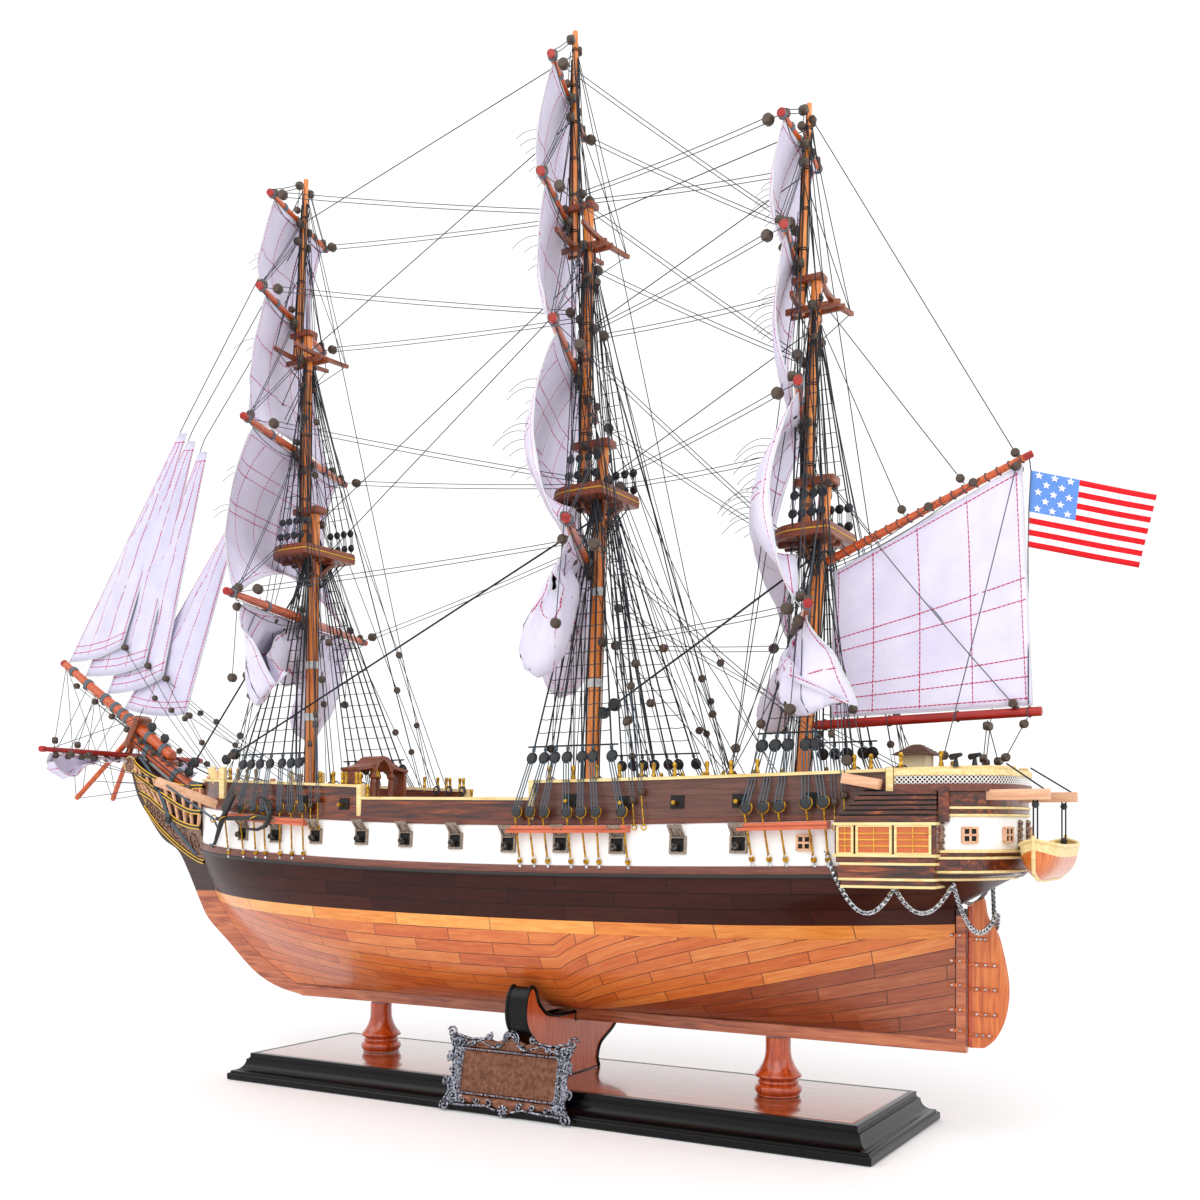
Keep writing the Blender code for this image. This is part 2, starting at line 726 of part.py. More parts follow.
def yard_line(name):
    """A yard's middle, its direction towards port, and the direction square to it."""
    mast, stage, z, half_length, brace = YARDS[name]
    angle = math.radians(brace)
    x_mast, r_mast = mast_at(mast, stage, z)
    reach = (r_mast + yard_radius(half_length) + 2 * GAP) / math.cos(angle)
    middle = Vector((x_mast + reach, 0.0, z))
    along = Vector((-math.sin(angle), math.cos(angle), 0.0))
    ahead = Vector((math.cos(angle), math.sin(angle), 0.0))
    return middle, along, ahead


def build_yard(name):
    half_length = YARDS[name][3]
    middle, along, _ = yard_line(name)
    radius = yard_radius(half_length)
    spar = rod(
        name, middle, middle + along * half_length, (radius, YARD_END_RADIUS), "mast_wood",
        sides=THIN_SIDES)
    other = rod(
        f"{name} starboard arm", middle + along * 1.0, middle - along * half_length,
        (radius, YARD_END_RADIUS), sides=THIN_SIDES)
    return combine(spar, "UNION", other)


def sail_surface(name, rows):
    """A thin sheet through rows of points, made thick with Solidify."""
    bm = bmesh.new()
    grid = [[bm.verts.new(point * MM) for point in row] for row in rows]
    for row, following in zip(grid, grid[1:]):
        for i in range(len(row) - 1):
            bm.faces.new((row[i], row[i + 1], following[i + 1], following[i]))
    mesh = bpy.data.meshes.new(name)
    bm.to_mesh(mesh)
    bm.free()
    mesh.materials.append(SURFACES["sail_cloth"])
    obj = bpy.data.objects.new(name, mesh)
    SHIP.objects.link(obj)
    solidify = obj.modifiers.new("cloth", "SOLIDIFY")
    solidify.thickness = SAIL_THICKNESS * MM
    solidify.offset = 0.0
    return obj


def square_rows(head, foot, belly, arch, head_clear, foot_clear, widths):
    """Rows of a square sail between two yards, from its head to its foot.

    `head_clear` and `foot_clear` are (ahead of the yard's axis, above it) in millimetres.
    """
    head_middle, head_along, head_ahead = yard_line(head)
    foot_middle, foot_along, foot_ahead = yard_line(foot)
    top = head_middle + head_ahead * head_clear[0] + Vector((0, 0, head_clear[1]))
    bottom = foot_middle + foot_ahead * foot_clear[0] + Vector((0, 0, foot_clear[1]))
    rows = []
    for number in range(SAIL_ROWS + 1):
        share = number / SAIL_ROWS
        middle = top.lerp(bottom, share)
        along = head_along.lerp(foot_along, share).normalized()
        ahead = head_ahead.lerp(foot_ahead, share).normalized()
        half = widths[0] + (widths[1] - widths[0]) * share
        row = []
        for column in range(SAIL_COLUMNS + 1):
            across = 2.0 * column / SAIL_COLUMNS - 1.0
            push = belly * math.sin(math.pi * share) ** 0.7 * (1.0 - 0.45 * across ** 4)
            lift = arch * share ** 3 * (1.0 - across ** 2)
            row.append(middle + along * half * across + ahead * push + Vector((0, 0, lift)))
        rows.append(row)
    return rows


def hang_clear(name):
    """Just under a yard."""
    return (0.0, -yard_radius(YARDS[name][3]) - GAP - SAIL_THICKNESS / 2)


def pass_clear(name, above):
    """Just ahead of a yard."""
    return (yard_radius(YARDS[name][3]) + GAP + 0.4 + SAIL_THICKNESS / 2, above)


def build_topsail(mast, head, foot):
    widths = (YARDS[head][3] * 0.84, YARDS[foot][3] * 0.80)
    rows = square_rows(
        head, foot, TOPSAIL_BELLY, TOPSAIL_ARCH[mast], hang_clear(head), pass_clear(foot, 2.0),
        widths)
    return sail_surface(f"{mast}_topsail", rows)


def build_upper_sails(mast, royal, topgallant, topsail):
    """The royal and the topgallant sail, joined where they cross the topgallant yard."""
    crossing = YARDS[topgallant][3] * 0.84
    upper = square_rows(
        royal, topgallant, UPPER_BELLY, 0.0, hang_clear(royal), pass_clear(topgallant, 0.0),
        (YARDS[royal][3] * 0.86, crossing))
    lower = square_rows(
        topgallant, topsail, UPPER_BELLY, 0.0, pass_clear(topgallant, 0.0),
        pass_clear(topsail, 3.0), (crossing, YARDS[topsail][3] * 0.80))
    return sail_surface(f"{mast}_upper_sails", upper + lower[1:])


def build_course(mast, yard):
    """A course clewed up under its yard, hanging in a shallow bag."""
    middle, along, ahead = yard_line(yard)
    half = YARDS[yard][3] * 0.86
    drop_start = hang_clear(yard)[1]
    rows = []
    for number in range(6):
        share = number / 5.0
        row = []
        for column in range(SAIL_COLUMNS + 1):
            across = 2.0 * column / SAIL_COLUMNS - 1.0
            narrowing = 1.0 - 0.25 * share
            drop = COURSE_DROP * (0.75 + 0.25 * abs(across)) * share
            push = COURSE_BELLY * math.sin(math.pi * share * 0.8)
            height_offset = Vector((0, 0, drop_start - drop))
            row.append(middle + along * half * across * narrowing + ahead * push + height_offset)
        rows.append(row)
    return sail_surface(f"{mast}_course", rows)


# Fore-and-aft sails: head, tack, clew as (x, z)
HEADSAILS = {
    "flying_jib": ((308.8, 443.6), 134.0, (364.2, 287.8)),
    "outer_jib": ((301.1, 437.1), 112.0, (340.0, 273.1)),
    "inner_jib": ((289.8, 428.2), 84.0, (321.7, 262.9)),
    "staysail": ((260.2, 372.2), 62.0, (298.6, 236.0)),
}


CLEW_TO_PORT = 9.0


def build_headsail(name):
    """A triangle from its tack on the jib-boom up to its head, with its clew aft and to port."""
    (head_x, head_z), distance, (clew_x, clew_z) = HEADSAILS[name]
    radius = JIB_BOOM_RADIUS[0] - (distance / JIB_BOOM_LENGTH) * 1.4
    tack = bowsprit_point(JIB_BOOM_HEEL + distance, JIB_OFFSET + radius + 2 * GAP)
    head = Vector((head_x, 0.0, head_z))
    clew = Vector((clew_x, CLEW_TO_PORT, clew_z))
    rows = []
    count = 6
    for number in range(count):
        share = 0.985 * number / (count - 1)
        luff = tack.lerp(head, share)
        leech = clew.lerp(head, share)
        middle = luff.lerp(leech, 0.5) + Vector((0.0, 0.8 * (1.0 - share), 0.0))
        rows.append([leech, middle, luff])
    return sail_surface(name, rows)


def boom_start(line):
    """Where a boom or gaff starts, just clear of the mast for the slope it has."""
    foot, tip, radii = line
    x, radius = mast_at("mizzen", "lower", foot.z)
    x -= radius + GAP
    slope = math.atan2(tip.z - foot.z, x - tip.x)
    return Vector((x - radii[0] * abs(math.sin(slope)) - 0.25, 0.0, foot.z))


def build_boom(name, line, material):
    _, tip, radii = line
    return rod(name, boom_start(line), tip, radii, material, sides=THIN_SIDES)


def build_spanker():
    foot_line = BOOM[1].z - 0.3
    gaff_start = boom_start(GAFF)
    clear = GAFF[2][0] + GAP + 0.5
    throat = gaff_start + Vector((-4.2, 0.0, -clear - 1.5))
    peak = GAFF[1] + Vector((5.1, 0.0, -clear - 1.2))
    tack = Vector((boom_start(BOOM).x - 3.0, 0.0, foot_line + BOOM[2][0] + GAP + 0.2))
    clew = Vector((BOOM[1].x + 4.2, 0.0, foot_line + BOOM[2][0] + GAP + 1.0))
    rows = []
    for number in range(6):
        share = number / 5.0
        row = []
        for column in range(7):
            along = column / 6.0
            point = throat.lerp(tack, share).lerp(peak.lerp(clew, share), along)
            belly = 2.5 * math.sin(math.pi * share) * math.sin(math.pi * along)
            row.append(point + Vector((0.0, -belly, 0.0)))
        rows.append(row)
    return sail_surface("spanker", rows)


FLAG_OUTLINE = (
    (-266.2, 333.0), (-267.6, 333.0), (-267.6, 328.2), (-323.4, 309.1), (-315.7, 276.6),
    (-266.2, 291.7),
)


def build_flag():
    """A flat ensign, with the short length of halyard above it that runs up to the gaff."""
    upright = Matrix.Rotation(math.pi / 2, 4, "X")
    return plate("flag", FLAG_OUTLINE, 0.7, upright, "flag_cloth")


SPRITSAIL_YARD = (369.2, 0.0, 210.0)
SPRITSAIL_SLING = (366.1, 0.0, 216.0)


def build_spritsail():
    """The spritsail yard, under the bowsprit, with its sail furled below it."""
    radius = 2.0
    angle = math.radians(10.0)
    along = Vector((-math.sin(angle), math.cos(angle), 0.0))
    middle = Vector(SPRITSAIL_YARD)
    half_length = 84.0
    spar = rod(
        "spritsail_yard", middle, middle + along * half_length, (radius, 1.6), "dark_red_wood",
        sides=THIN_SIDES)
    other = rod(
        "spritsail yard starboard arm", middle + along * 1.0, middle - along * half_length,
        (radius, 1.6), sides=THIN_SIDES)
    sling = rod("spritsail yard sling", middle, SPRITSAIL_SLING, (0.7, 0.7), sides=6)
    combine(spar, "UNION", other, sling)
    rows = []
    for number in range(4):
        share = number / 3.0
        row = []
        for column in range(11):
            place = 2.0 * column / 10.0 - 1.0
            depth = 0.6 + 11.0 * abs(place)
            drop = radius + GAP + SAIL_THICKNESS + depth * share
            row.append(middle + along * half_length * 0.88 * place + Vector((0, 0, -drop)))
        rows.append(row)
    sail_surface("spritsail", rows)


# Stays

STAYS = {
    "fore_stay": ("fore", 326.0, (306.6, 0.0, 195.4)),
    "main_stay": ("main", 334.0, (262.0, 8.0, 203.0)),
    "mizzen_stay": ("mizzen", 298.0, (-29.8, 0.0, 222.0)),
}
STAY_RADIUS = 0.6


def build_stay(name):
    """A taut stay, from the front of one lower mast to the spar or mast ahead of it."""
    mast, z, end = STAYS[name]
    x, radius = mast_at(mast, "lower", z)
    start = (x + radius + GAP + STAY_RADIUS, 0.0, z)
    return rod(name, start, end, (STAY_RADIUS, STAY_RADIUS), "stay_cord", sides=6)


# Deck fittings

def build_belfry():
    """An arch across the forecastle with a rounded roof, standing on the deck."""
    foot = deck_top(144.0) + 1.5 * GAP
    outer = [(-25.0, foot), (-25.0, 191.0)]
    inner = [(-20.5, foot), (-20.5, 188.0)]
    for number in range(1, 8):
        angle = math.pi * (1.0 - number / 8.0)
        outer.append((25.0 * math.cos(angle), 191.0 + 13.0 * math.sin(angle)))
        inner.append((20.5 * math.cos(angle), 188.0 + 11.0 * math.sin(angle)))
    outer += [(25.0, 191.0), (25.0, foot)]
    inner += [(20.5, 188.0), (20.5, foot)]
    across = Matrix.Rotation(math.pi / 2, 4, "Z") @ Matrix.Rotation(math.pi / 2, 4, "X")
    place = Matrix.Translation((137.0, 0.0, 0.0)) @ across
    return plate("belfry", outer + inner[::-1], 14.0, place, "mahogany")


def build_cabin():
    """A small deck house with a hipped roof."""
    centre_x = -213.0
    foot = deck_top(centre_x - 7.0) + 1.5 * GAP
    wall = 6.3
    eave = 10.0
    layers = ((foot, wall), (191.5, wall), (192.0, eave), (193.0, eave), (199.0, 2.0))
    sections = []
    for z, half in layers:
        sections.append([
            (centre_x - half, -half, z), (centre_x + half, -half, z),
            (centre_x + half, half, z), (centre_x - half, half, z),
        ])
    return loft("cabin", sections, "cream_paint")


BOAT_X = -276.5
BOAT_HALF = 37.0
BOAT_BEAM = 9.6


def build_boat():
    """The ship's boat, hung athwart the stern, with the two falls that hold it."""
    sections = []
    count = 11
    for number in range(count):
        share = math.cos(math.pi * number / (count - 1))
        y = BOAT_HALF * share
        full = max(1.0 - abs(share) ** 2.4, 0.0)
        top = 146.8 + 2.7 * share ** 4
        bottom = 133.0 + 5.0 * share ** 6
        half = 0.7 + (BOAT_BEAM - 0.7) * full ** 0.8
        bilge = 0.6 + (BOAT_BEAM * 0.72 - 0.6) * full
        sections.append([
            (BOAT_X - half, y, top), (BOAT_X - bilge, y, bottom + 4.6),
            (BOAT_X - 0.6, y, bottom), (BOAT_X + 0.6, y, bottom),
            (BOAT_X + bilge, y, bottom + 4.6), (BOAT_X + half, y, top),
        ])
    hull = loft("boat", sections, "rudder_wood")
    falls = []
    for side, word in ((1.0, "port"), (-1.0, "starboard")):
        fall = rod(
            f"{word} boat fall", (BOAT_X, side * 33.0, 142.0), (BOAT_X, side * 33.0, 170.0),
            (0.6, 0.6), sides=6)
        falls.append(fall)
    return combine(hull, "UNION", *falls)


def build_head_rails(name, side):
    """One side of the head: two curved rails from the stem back to the bow, and the cathead."""
    rails = []
    upper = [(350.0, 4.6, 196.0), (328.0, 9.0, 187.0), (296.0, 17.0, 175.0)]
    lower = [(340.0, 4.6, 186.0), (326.0, 8.0, 175.5), (298.0, 15.0, 162.5)]
    for line, (x, z) in ((upper, (264.0, 167.5)), (lower, (268.0, 157.0))):
        line.append((x, half_breadth(x, level_at(x, z)) + 3.2, z))
    for line, points in (("upper", upper), ("lower", lower)):
        for number, (start, end) in enumerate(zip(points, points[1:])):
            x0, y0, z0 = start
            x1, y1, z1 = end
            material = "head_wood" if line == "upper" and number == 0 else None
            label = name if material else f"{name} {line} rail {number + 1}"
            reach = (Vector(end) - Vector(start)).normalized() * 0.5
            stop = Vector((x1, side * y1, z1)) + Vector((reach.x, side * reach.y, reach.z))
            rails.append(rod(label, (x0, side * y0, z0), stop, (1.5, 1.5), material, THIN_SIDES))
    timbers = []
    for number, (high, low) in enumerate(((upper[1], lower[1]), (upper[2], lower[2]))):
        timbers.append(rod(
            f"{name} timber {number + 1}", (high[0], side * high[1], high[2]),
            (low[0], side * low[1], low[2]), (1.4, 1.4), sides=THIN_SIDES))
    return combine(rails[0], "UNION", *rails[1:], *timbers)


# Stand

def build_base():
    """The moulded plinth: a wide foot, a hollow moulding and the top board."""
    layers = (
        (0.0, 0.0), (BASE_LEDGE_HEIGHT, 0.0), (6.0, 2.5), (9.0, 7.0), (12.5, 8.5), (13.2, 10.0),
        (BASE_HEIGHT, 10.0),
    )
    half_x = BASE_BOTTOM[0] / 2
    half_y = BASE_BOTTOM[1] / 2
    sections = []
    for z, back in layers:
        x = half_x - back
        y = half_y - back
        sections.append([(-x, -y, z), (x, -y, z), (x, y, z), (-x, y, z)])
    return loft("base", sections, "base_wood")


def build_pedestal(name):
    top = KEEL_BOTTOM - GAP
    foot = BASE_HEIGHT + GAP
    profile = (
        (0.0, top), (6.6, top), (6.8, 38.5), (7.8, 34.5), (9.6, 31.0), (12.0, 27.6), (12.4, 26.4),
        (10.4, 25.6), (10.3, 24.6), (11.0, 23.6), (10.6, 22.2), (12.2, 21.2), (12.5, 19.4),
        (11.9, 17.4), (11.4, foot), (0.0, foot),
    )
    return turned(name, profile, PEDESTALS[name], "pedestal_wood")


def build_cradle():
    """The board across the keel: an arm to port, a foot, and a notch that holds the keel."""
    foot = BASE_HEIGHT + GAP
    slot_half = KEEL_HALF + GAP
    slot_floor = KEEL_BOTTOM - GAP
    outline = [
        (-24.0, foot), (24.0, foot), (22.0, 22.0), (26.0, 30.0), (40.0, 37.0), (52.0, 47.0),
        (55.0, 56.0), (53.0, 66.0), (48.5, 70.5), (44.5, 68.0), (41.5, 61.0), (33.0, 54.0),
        (20.0, 51.5), (slot_half, 51.5), (slot_half, slot_floor), (-slot_half, slot_floor),
        (-slot_half, 51.5), (-20.0, 51.5), (-33.0, 54.0), (-41.5, 61.0), (-44.5, 68.0),
        (-48.5, 70.5), (-53.0, 66.0), (-55.0, 56.0), (-52.0, 47.0), (-40.0, 37.0), (-26.0, 30.0),
        (-22.0, 22.0),
    ]
    across = Matrix.Rotation(math.pi / 2, 4, "Z") @ Matrix.Rotation(math.pi / 2, 4, "X")
    place = Matrix.Translation((CRADLE_X, 0.0, 0.0)) @ across
    return plate("cradle", outline, CRADLE_THICKNESS, place, "cradle_wood")


def build_nameplate():
    """A thin cast frame that leans back against the port edge of the base's foot."""
    lean = math.radians(12.0)
    _, thickness, tall = NAMEPLATE_SIZE
    up = Vector((0.0, -math.sin(lean), math.cos(lean)))
    out = Vector((0.0, math.cos(lean), math.sin(lean)))
    edge = Vector((NAMEPLATE_X, BASE_BOTTOM[1] / 2, BASE_LEDGE_HEIGHT)) + out * GAP
    foot = edge - up * (BASE_LEDGE_HEIGHT - 0.6) / up.z
    centre = foot + up * tall / 2 + out * thickness / 2
    return box(
        "nameplate", NAMEPLATE_SIZE, centre, "plate_metal", turn=Matrix.Rotation(lean, 4, "X"))


# The whole model

def build_hull():
    hull_layer(
        "hull_bottom", (54.0, 58.0, 64.0, 74.0, 86.0, 97.0, 107.0, 116.0, 124.0, 131.5),
        "bottom_planks")
    build_keel()
    build_gun_band()
    build_spar_deck()
    build_bulwark()
    build_rudder()
    for side, word in ((1.0, "port"), (-1.0, "starboard")):
        build_gallery(f"quarter_gallery_{word}", side)
        build_head_rails(f"head_rails_{word}", side)
    build_belfry()
    build_cabin()
    build_boat()


def build_rig():
    for mast in MASTS:
        build_lower_mast(mast)
        build_topmast(mast)
    build_bowsprit()
    build_jib_boom()
    for name in YARDS:
        build_yard(name)
    for name in STAYS:
        build_stay(name)


def build_sails():
    for mast in ("fore", "main"):
        build_course(mast, f"{mast}_course_yard")
        build_topsail(mast, f"{mast}_topsail_yard", f"{mast}_course_yard")
    build_course("mizzen", "crossjack_yard")
    build_topsail("mizzen", "mizzen_topsail_yard", "crossjack_yard")
    for mast in MASTS:
        build_upper_sails(
            mast, f"{mast}_royal_yard", f"{mast}_topgallant_yard", f"{mast}_topsail_yard")
    for name in HEADSAILS:
        build_headsail(name)
    build_spritsail()


def build_spanker_gear():
    """The boom, gaff, spanker and flag, which swing together about the raked mizzen mast."""
    (x_foot, _), (x_head, z_head), _ = MASTS["mizzen"]["lower"]
    foot = Vector((x_foot, 0.0, mast_foot("mizzen", "lower")))
    rake = Vector((x_head, 0.0, z_head)) - foot
    pivot = bpy.data.objects.new("spanker pivot", None)
    pivot.empty_display_size = 20.0 * MM
    pivot.location = foot * MM
    pivot.rotation_euler = rake.to_track_quat("Z", "Y").to_euler()
    SHIP.objects.link(pivot)
    bpy.context.view_layer.update()
    gear = [
        build_boom("boom", BOOM, "dark_red_wood"), build_boom("gaff", GAFF, "mast_wood"),
        build_spanker(), build_flag(),
    ]
    for piece in gear:
        piece.parent = pivot
        piece.matrix_parent_inverse = pivot.matrix_world.inverted()


def build_stand():
    build_base()
    for name in PEDESTALS:
        build_pedestal(name)
    build_cradle()
    build_nameplate()


clear_scene()
SHIP = new_collection("sailing frigate display model")
GUIDES = new_collection("guides")
SURFACES = {name: new_material(name) for name in MATERIALS}
build_stand()
build_hull()
build_rig()
build_sails()
build_spanker_gear()
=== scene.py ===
"""Wooden display model of a three-masted sailing frigate: its surfaces, sails, rigging and stage.

+X points to the bow, +Y to port, +Z up, and the origin is the centre of the stand's underside.
Sizes in the tables are millimetres, and a mesh is turned into metres when it is made.
"""

import math

import bmesh
import bpy
import numpy as np
from mathutils import Matrix, Vector, noise
from mathutils.geometry import tessellate_polygon


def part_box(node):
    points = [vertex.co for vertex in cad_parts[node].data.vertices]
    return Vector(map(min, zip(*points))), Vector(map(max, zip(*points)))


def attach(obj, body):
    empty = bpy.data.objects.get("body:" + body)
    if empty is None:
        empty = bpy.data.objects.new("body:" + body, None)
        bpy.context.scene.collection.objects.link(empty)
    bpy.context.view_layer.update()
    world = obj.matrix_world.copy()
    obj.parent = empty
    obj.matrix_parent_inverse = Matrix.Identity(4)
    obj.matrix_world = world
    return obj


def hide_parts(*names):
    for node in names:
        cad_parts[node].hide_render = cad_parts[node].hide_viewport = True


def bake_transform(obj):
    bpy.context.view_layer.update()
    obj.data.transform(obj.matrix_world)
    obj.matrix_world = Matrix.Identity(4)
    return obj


bl_info = {
    "name": "Sailing frigate display model",
    "version": (1, 0, 0),
    "blender": (4, 5, 0),
    "location": "3D View > Sidebar > Frigate",
    "description": "Makes the visible surfaces, sails and rigging of a frigate display model",
    "category": "Add Mesh",
}

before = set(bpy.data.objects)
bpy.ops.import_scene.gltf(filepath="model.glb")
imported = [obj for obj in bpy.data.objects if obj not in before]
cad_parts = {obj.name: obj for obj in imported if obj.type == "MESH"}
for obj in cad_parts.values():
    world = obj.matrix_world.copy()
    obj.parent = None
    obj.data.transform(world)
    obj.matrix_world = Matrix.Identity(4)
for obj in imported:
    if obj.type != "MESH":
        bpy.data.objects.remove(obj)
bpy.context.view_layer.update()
MM = 0.001
SIDES = ((1.0, "port"), (-1.0, "starboard"))


# Nodes and colours

def linear(code):
    """A hex sRGB colour as the linear red, green, blue and alpha that sockets hold."""
    shares = [int(code[i:i + 2], 16) / 255.0 for i in (1, 3, 5)]
    turned = [c / 12.92 if c <= 0.04045 else ((c + 0.055) / 1.055) ** 2.4 for c in shares]
    return (*turned, 1.0)


def add_node(tree, kind, inputs=None, **settings):
    """Adds a node, sets its properties, and sets or links its inputs."""
    node = tree.nodes.new(kind)
    for name, value in settings.items():
        setattr(node, name, value)
    for key, value in (inputs or {}).items():
        if isinstance(value, bpy.types.NodeSocket):
            tree.links.new(value, node.inputs[key])
        else:
            node.inputs[key].default_value = value
    return node


def set_ramp(node, stops):
    """Gives a colour ramp its stops: (place, hex colour)."""
    points = node.color_ramp.elements
    while len(points) > len(stops):
        points.remove(points[-1])
    while len(points) < len(stops):
        points.new(0.5)
    for point, (place, code) in zip(points, stops):
        point.position = place
        point.color = linear(code)


def new_finish(name, roughness, metallic=0.0, coat=0.0, specular=0.5):
    """A material with its constant values on the shader's own sockets."""
    material = bpy.data.materials.new(name)
    material.use_nodes = True
    tree = material.node_tree
    surface = tree.nodes["Principled BSDF"]
    surface.inputs["Roughness"].default_value = roughness
    surface.inputs["Metallic"].default_value = metallic
    surface.inputs["Specular IOR Level"].default_value = specular
    surface.inputs["Coat Weight"].default_value = coat
    surface.inputs["Coat Roughness"].default_value = 0.08
    return material, tree, surface


def set_look(tree, surface, colour, height=None, depth=0.0):
    """Links a finish's colour, and lets a height tilt its surface. The depth is in metres."""
    tree.links.new(colour, surface.inputs["Base Color"])
    if height is not None:
        bump = add_node(
            tree, "ShaderNodeBump", {"Height": height, "Distance": depth, "Strength": 1.0})
        tree.links.new(bump.outputs["Normal"], surface.inputs["Normal"])


def colour_output(node):
    """The one output of a node that carries a colour and is in use."""
    return next(socket for socket in node.outputs if socket.type == "RGBA" and socket.enabled)


def spread_tones(tones, start, width):
    """Ramp stops for some tones, evenly spread from `start`."""
    return [(start + width * i / (len(tones) - 1), code) for i, code in enumerate(tones)]


# Woods, read along one axis. Grain width is in metres

def make_wood(name, tones, grain_width, axis="X", roughness=0.35, coat=0.3, streak=14.0):
    """Varnished wood: fine dark pores drawn out along the grain over slow changes of tone."""
    material, tree, surface = new_finish(name, roughness, coat=coat)
    place = add_node(tree, "ShaderNodeTexCoord").outputs["Object"]
    scale = {"X": (1 / streak, 1, 1), "Y": (1, 1 / streak, 1), "Z": (1, 1, 1 / streak)}[axis]
    drawn = add_node(tree, "ShaderNodeMapping", {"Vector": place, "Scale": scale})
    grain = add_node(tree, "ShaderNodeTexNoise", {
        "Vector": drawn.outputs["Vector"], "Scale": 0.5 / grain_width, "Detail": 5.0,
        "Roughness": 0.62, "Distortion": 0.6})
    tone = add_node(tree, "ShaderNodeValToRGB", {"Fac": grain.outputs["Fac"]})
    set_ramp(tone, spread_tones(tones, 0.30, 0.42))
    set_look(tree, surface, tone.outputs["Color"], grain.outputs["Fac"], grain_width * 0.12)
    return material


# Millimetres across a plank and to where a seam's dark begins and ends, and how far along, as a
# share of a plank, each strake's butt joints stand from those of the strake below
PLANK_WIDTH = 7.5
SEAM_DARK = 0.08
SEAM_END = 0.30
BUTT_SHIFT = 0.46


def make_planks(name, tones, seam, length, roughness, coat, grain=0.55, specular=0.5):
    """Planks laid in strakes. The UV map holds millimetres along, and the strake's number."""
    material, tree, surface = new_finish(name, roughness, coat=coat, specular=specular)
    uv = add_node(tree, "ShaderNodeUVMap", uv_map="strakes")
    parts = add_node(tree, "ShaderNodeSeparateXYZ", {"Vector": uv.outputs["UV"]})
    along = parts.outputs["X"]
    strake = parts.outputs["Y"]
    row = add_node(tree, "ShaderNodeMath", {0: strake}, operation="FLOOR").outputs[0]
    across = add_node(tree, "ShaderNodeMath", {0: strake}, operation="FRACT").outputs[0]
    shift = add_node(
        tree, "ShaderNodeMath", {0: row, 1: BUTT_SHIFT}, operation="MULTIPLY").outputs[0]
    plank = add_node(tree, "ShaderNodeMath", {0: along, 1: length}, operation="DIVIDE").outputs[0]
    plank = add_node(tree, "ShaderNodeMath", {0: plank, 1: shift}, operation="ADD").outputs[0]
    number = add_node(tree, "ShaderNodeMath", {0: plank}, operation="FLOOR").outputs[0]
    inside = add_node(tree, "ShaderNodeMath", {0: plank}, operation="FRACT").outputs[0]
    key = add_node(tree, "ShaderNodeCombineXYZ", {"X": number, "Y": row}).outputs[0]
    luck = add_node(tree, "ShaderNodeTexWhiteNoise", {"Vector": key}, noise_dimensions="2D")
    # Distance in millimetres to the nearest seam and to the nearest butt joint
    edge = add_node(tree, "ShaderNodeMath", {0: across, 1: 0.5}, operation="PINGPONG").outputs[0]
    edge = add_node(
        tree, "ShaderNodeMath", {0: edge, 1: PLANK_WIDTH}, operation="MULTIPLY").outputs[0]
    butt = add_node(tree, "ShaderNodeMath", {0: inside, 1: 0.5}, operation="PINGPONG").outputs[0]
    butt = add_node(tree, "ShaderNodeMath", {0: butt, 1: length}, operation="MULTIPLY").outputs[0]
    near = add_node(tree, "ShaderNodeMath", {0: edge, 1: butt}, operation="MINIMUM").outputs[0]
    gap = add_node(tree, "ShaderNodeMapRange", {
        "Value": near, "From Min": SEAM_DARK, "From Max": SEAM_END, "To Min": 0.0,
        "To Max": 1.0})
    # Grain, drawn out along the plank and different on each one
    stretched = add_node(tree, "ShaderNodeVectorMath", {
        0: uv.outputs["UV"], 1: (0.06, PLANK_WIDTH * grain, 1.0)},
        operation="MULTIPLY").outputs[0]
    own = add_node(tree, "ShaderNodeVectorMath", {
        0: luck.outputs["Color"], 1: (40.0, 40.0, 40.0)}, operation="MULTIPLY").outputs[0]
    place = add_node(tree, "ShaderNodeVectorMath", {0: stretched, 1: own}, operation="ADD")
    pores = add_node(tree, "ShaderNodeTexNoise", {
        "Vector": place.outputs[0], "Scale": 1.0, "Detail": 4.0, "Roughness": 0.6,
        "Distortion": 0.8})
    mix = add_node(tree, "ShaderNodeMath", {
        0: pores.outputs["Fac"], 1: 0.95, 2: -0.16}, operation="MULTIPLY_ADD").outputs[0]
    blended = add_node(tree, "ShaderNodeMath", {
        0: luck.outputs["Value"], 1: 0.40, 2: mix}, operation="MULTIPLY_ADD").outputs[0]
    tone = add_node(tree, "ShaderNodeValToRGB", {"Fac": blended})
    set_ramp(tone, spread_tones(tones, 0.12, 0.76))
    colour = add_node(tree, "ShaderNodeMix", {
        "Factor": gap.outputs["Result"], "A": linear(seam), "B": tone.outputs["Color"]},
        data_type="RGBA")
    set_look(tree, surface, colour_output(colour), gap.outputs["Result"], 0.00012)
    return material


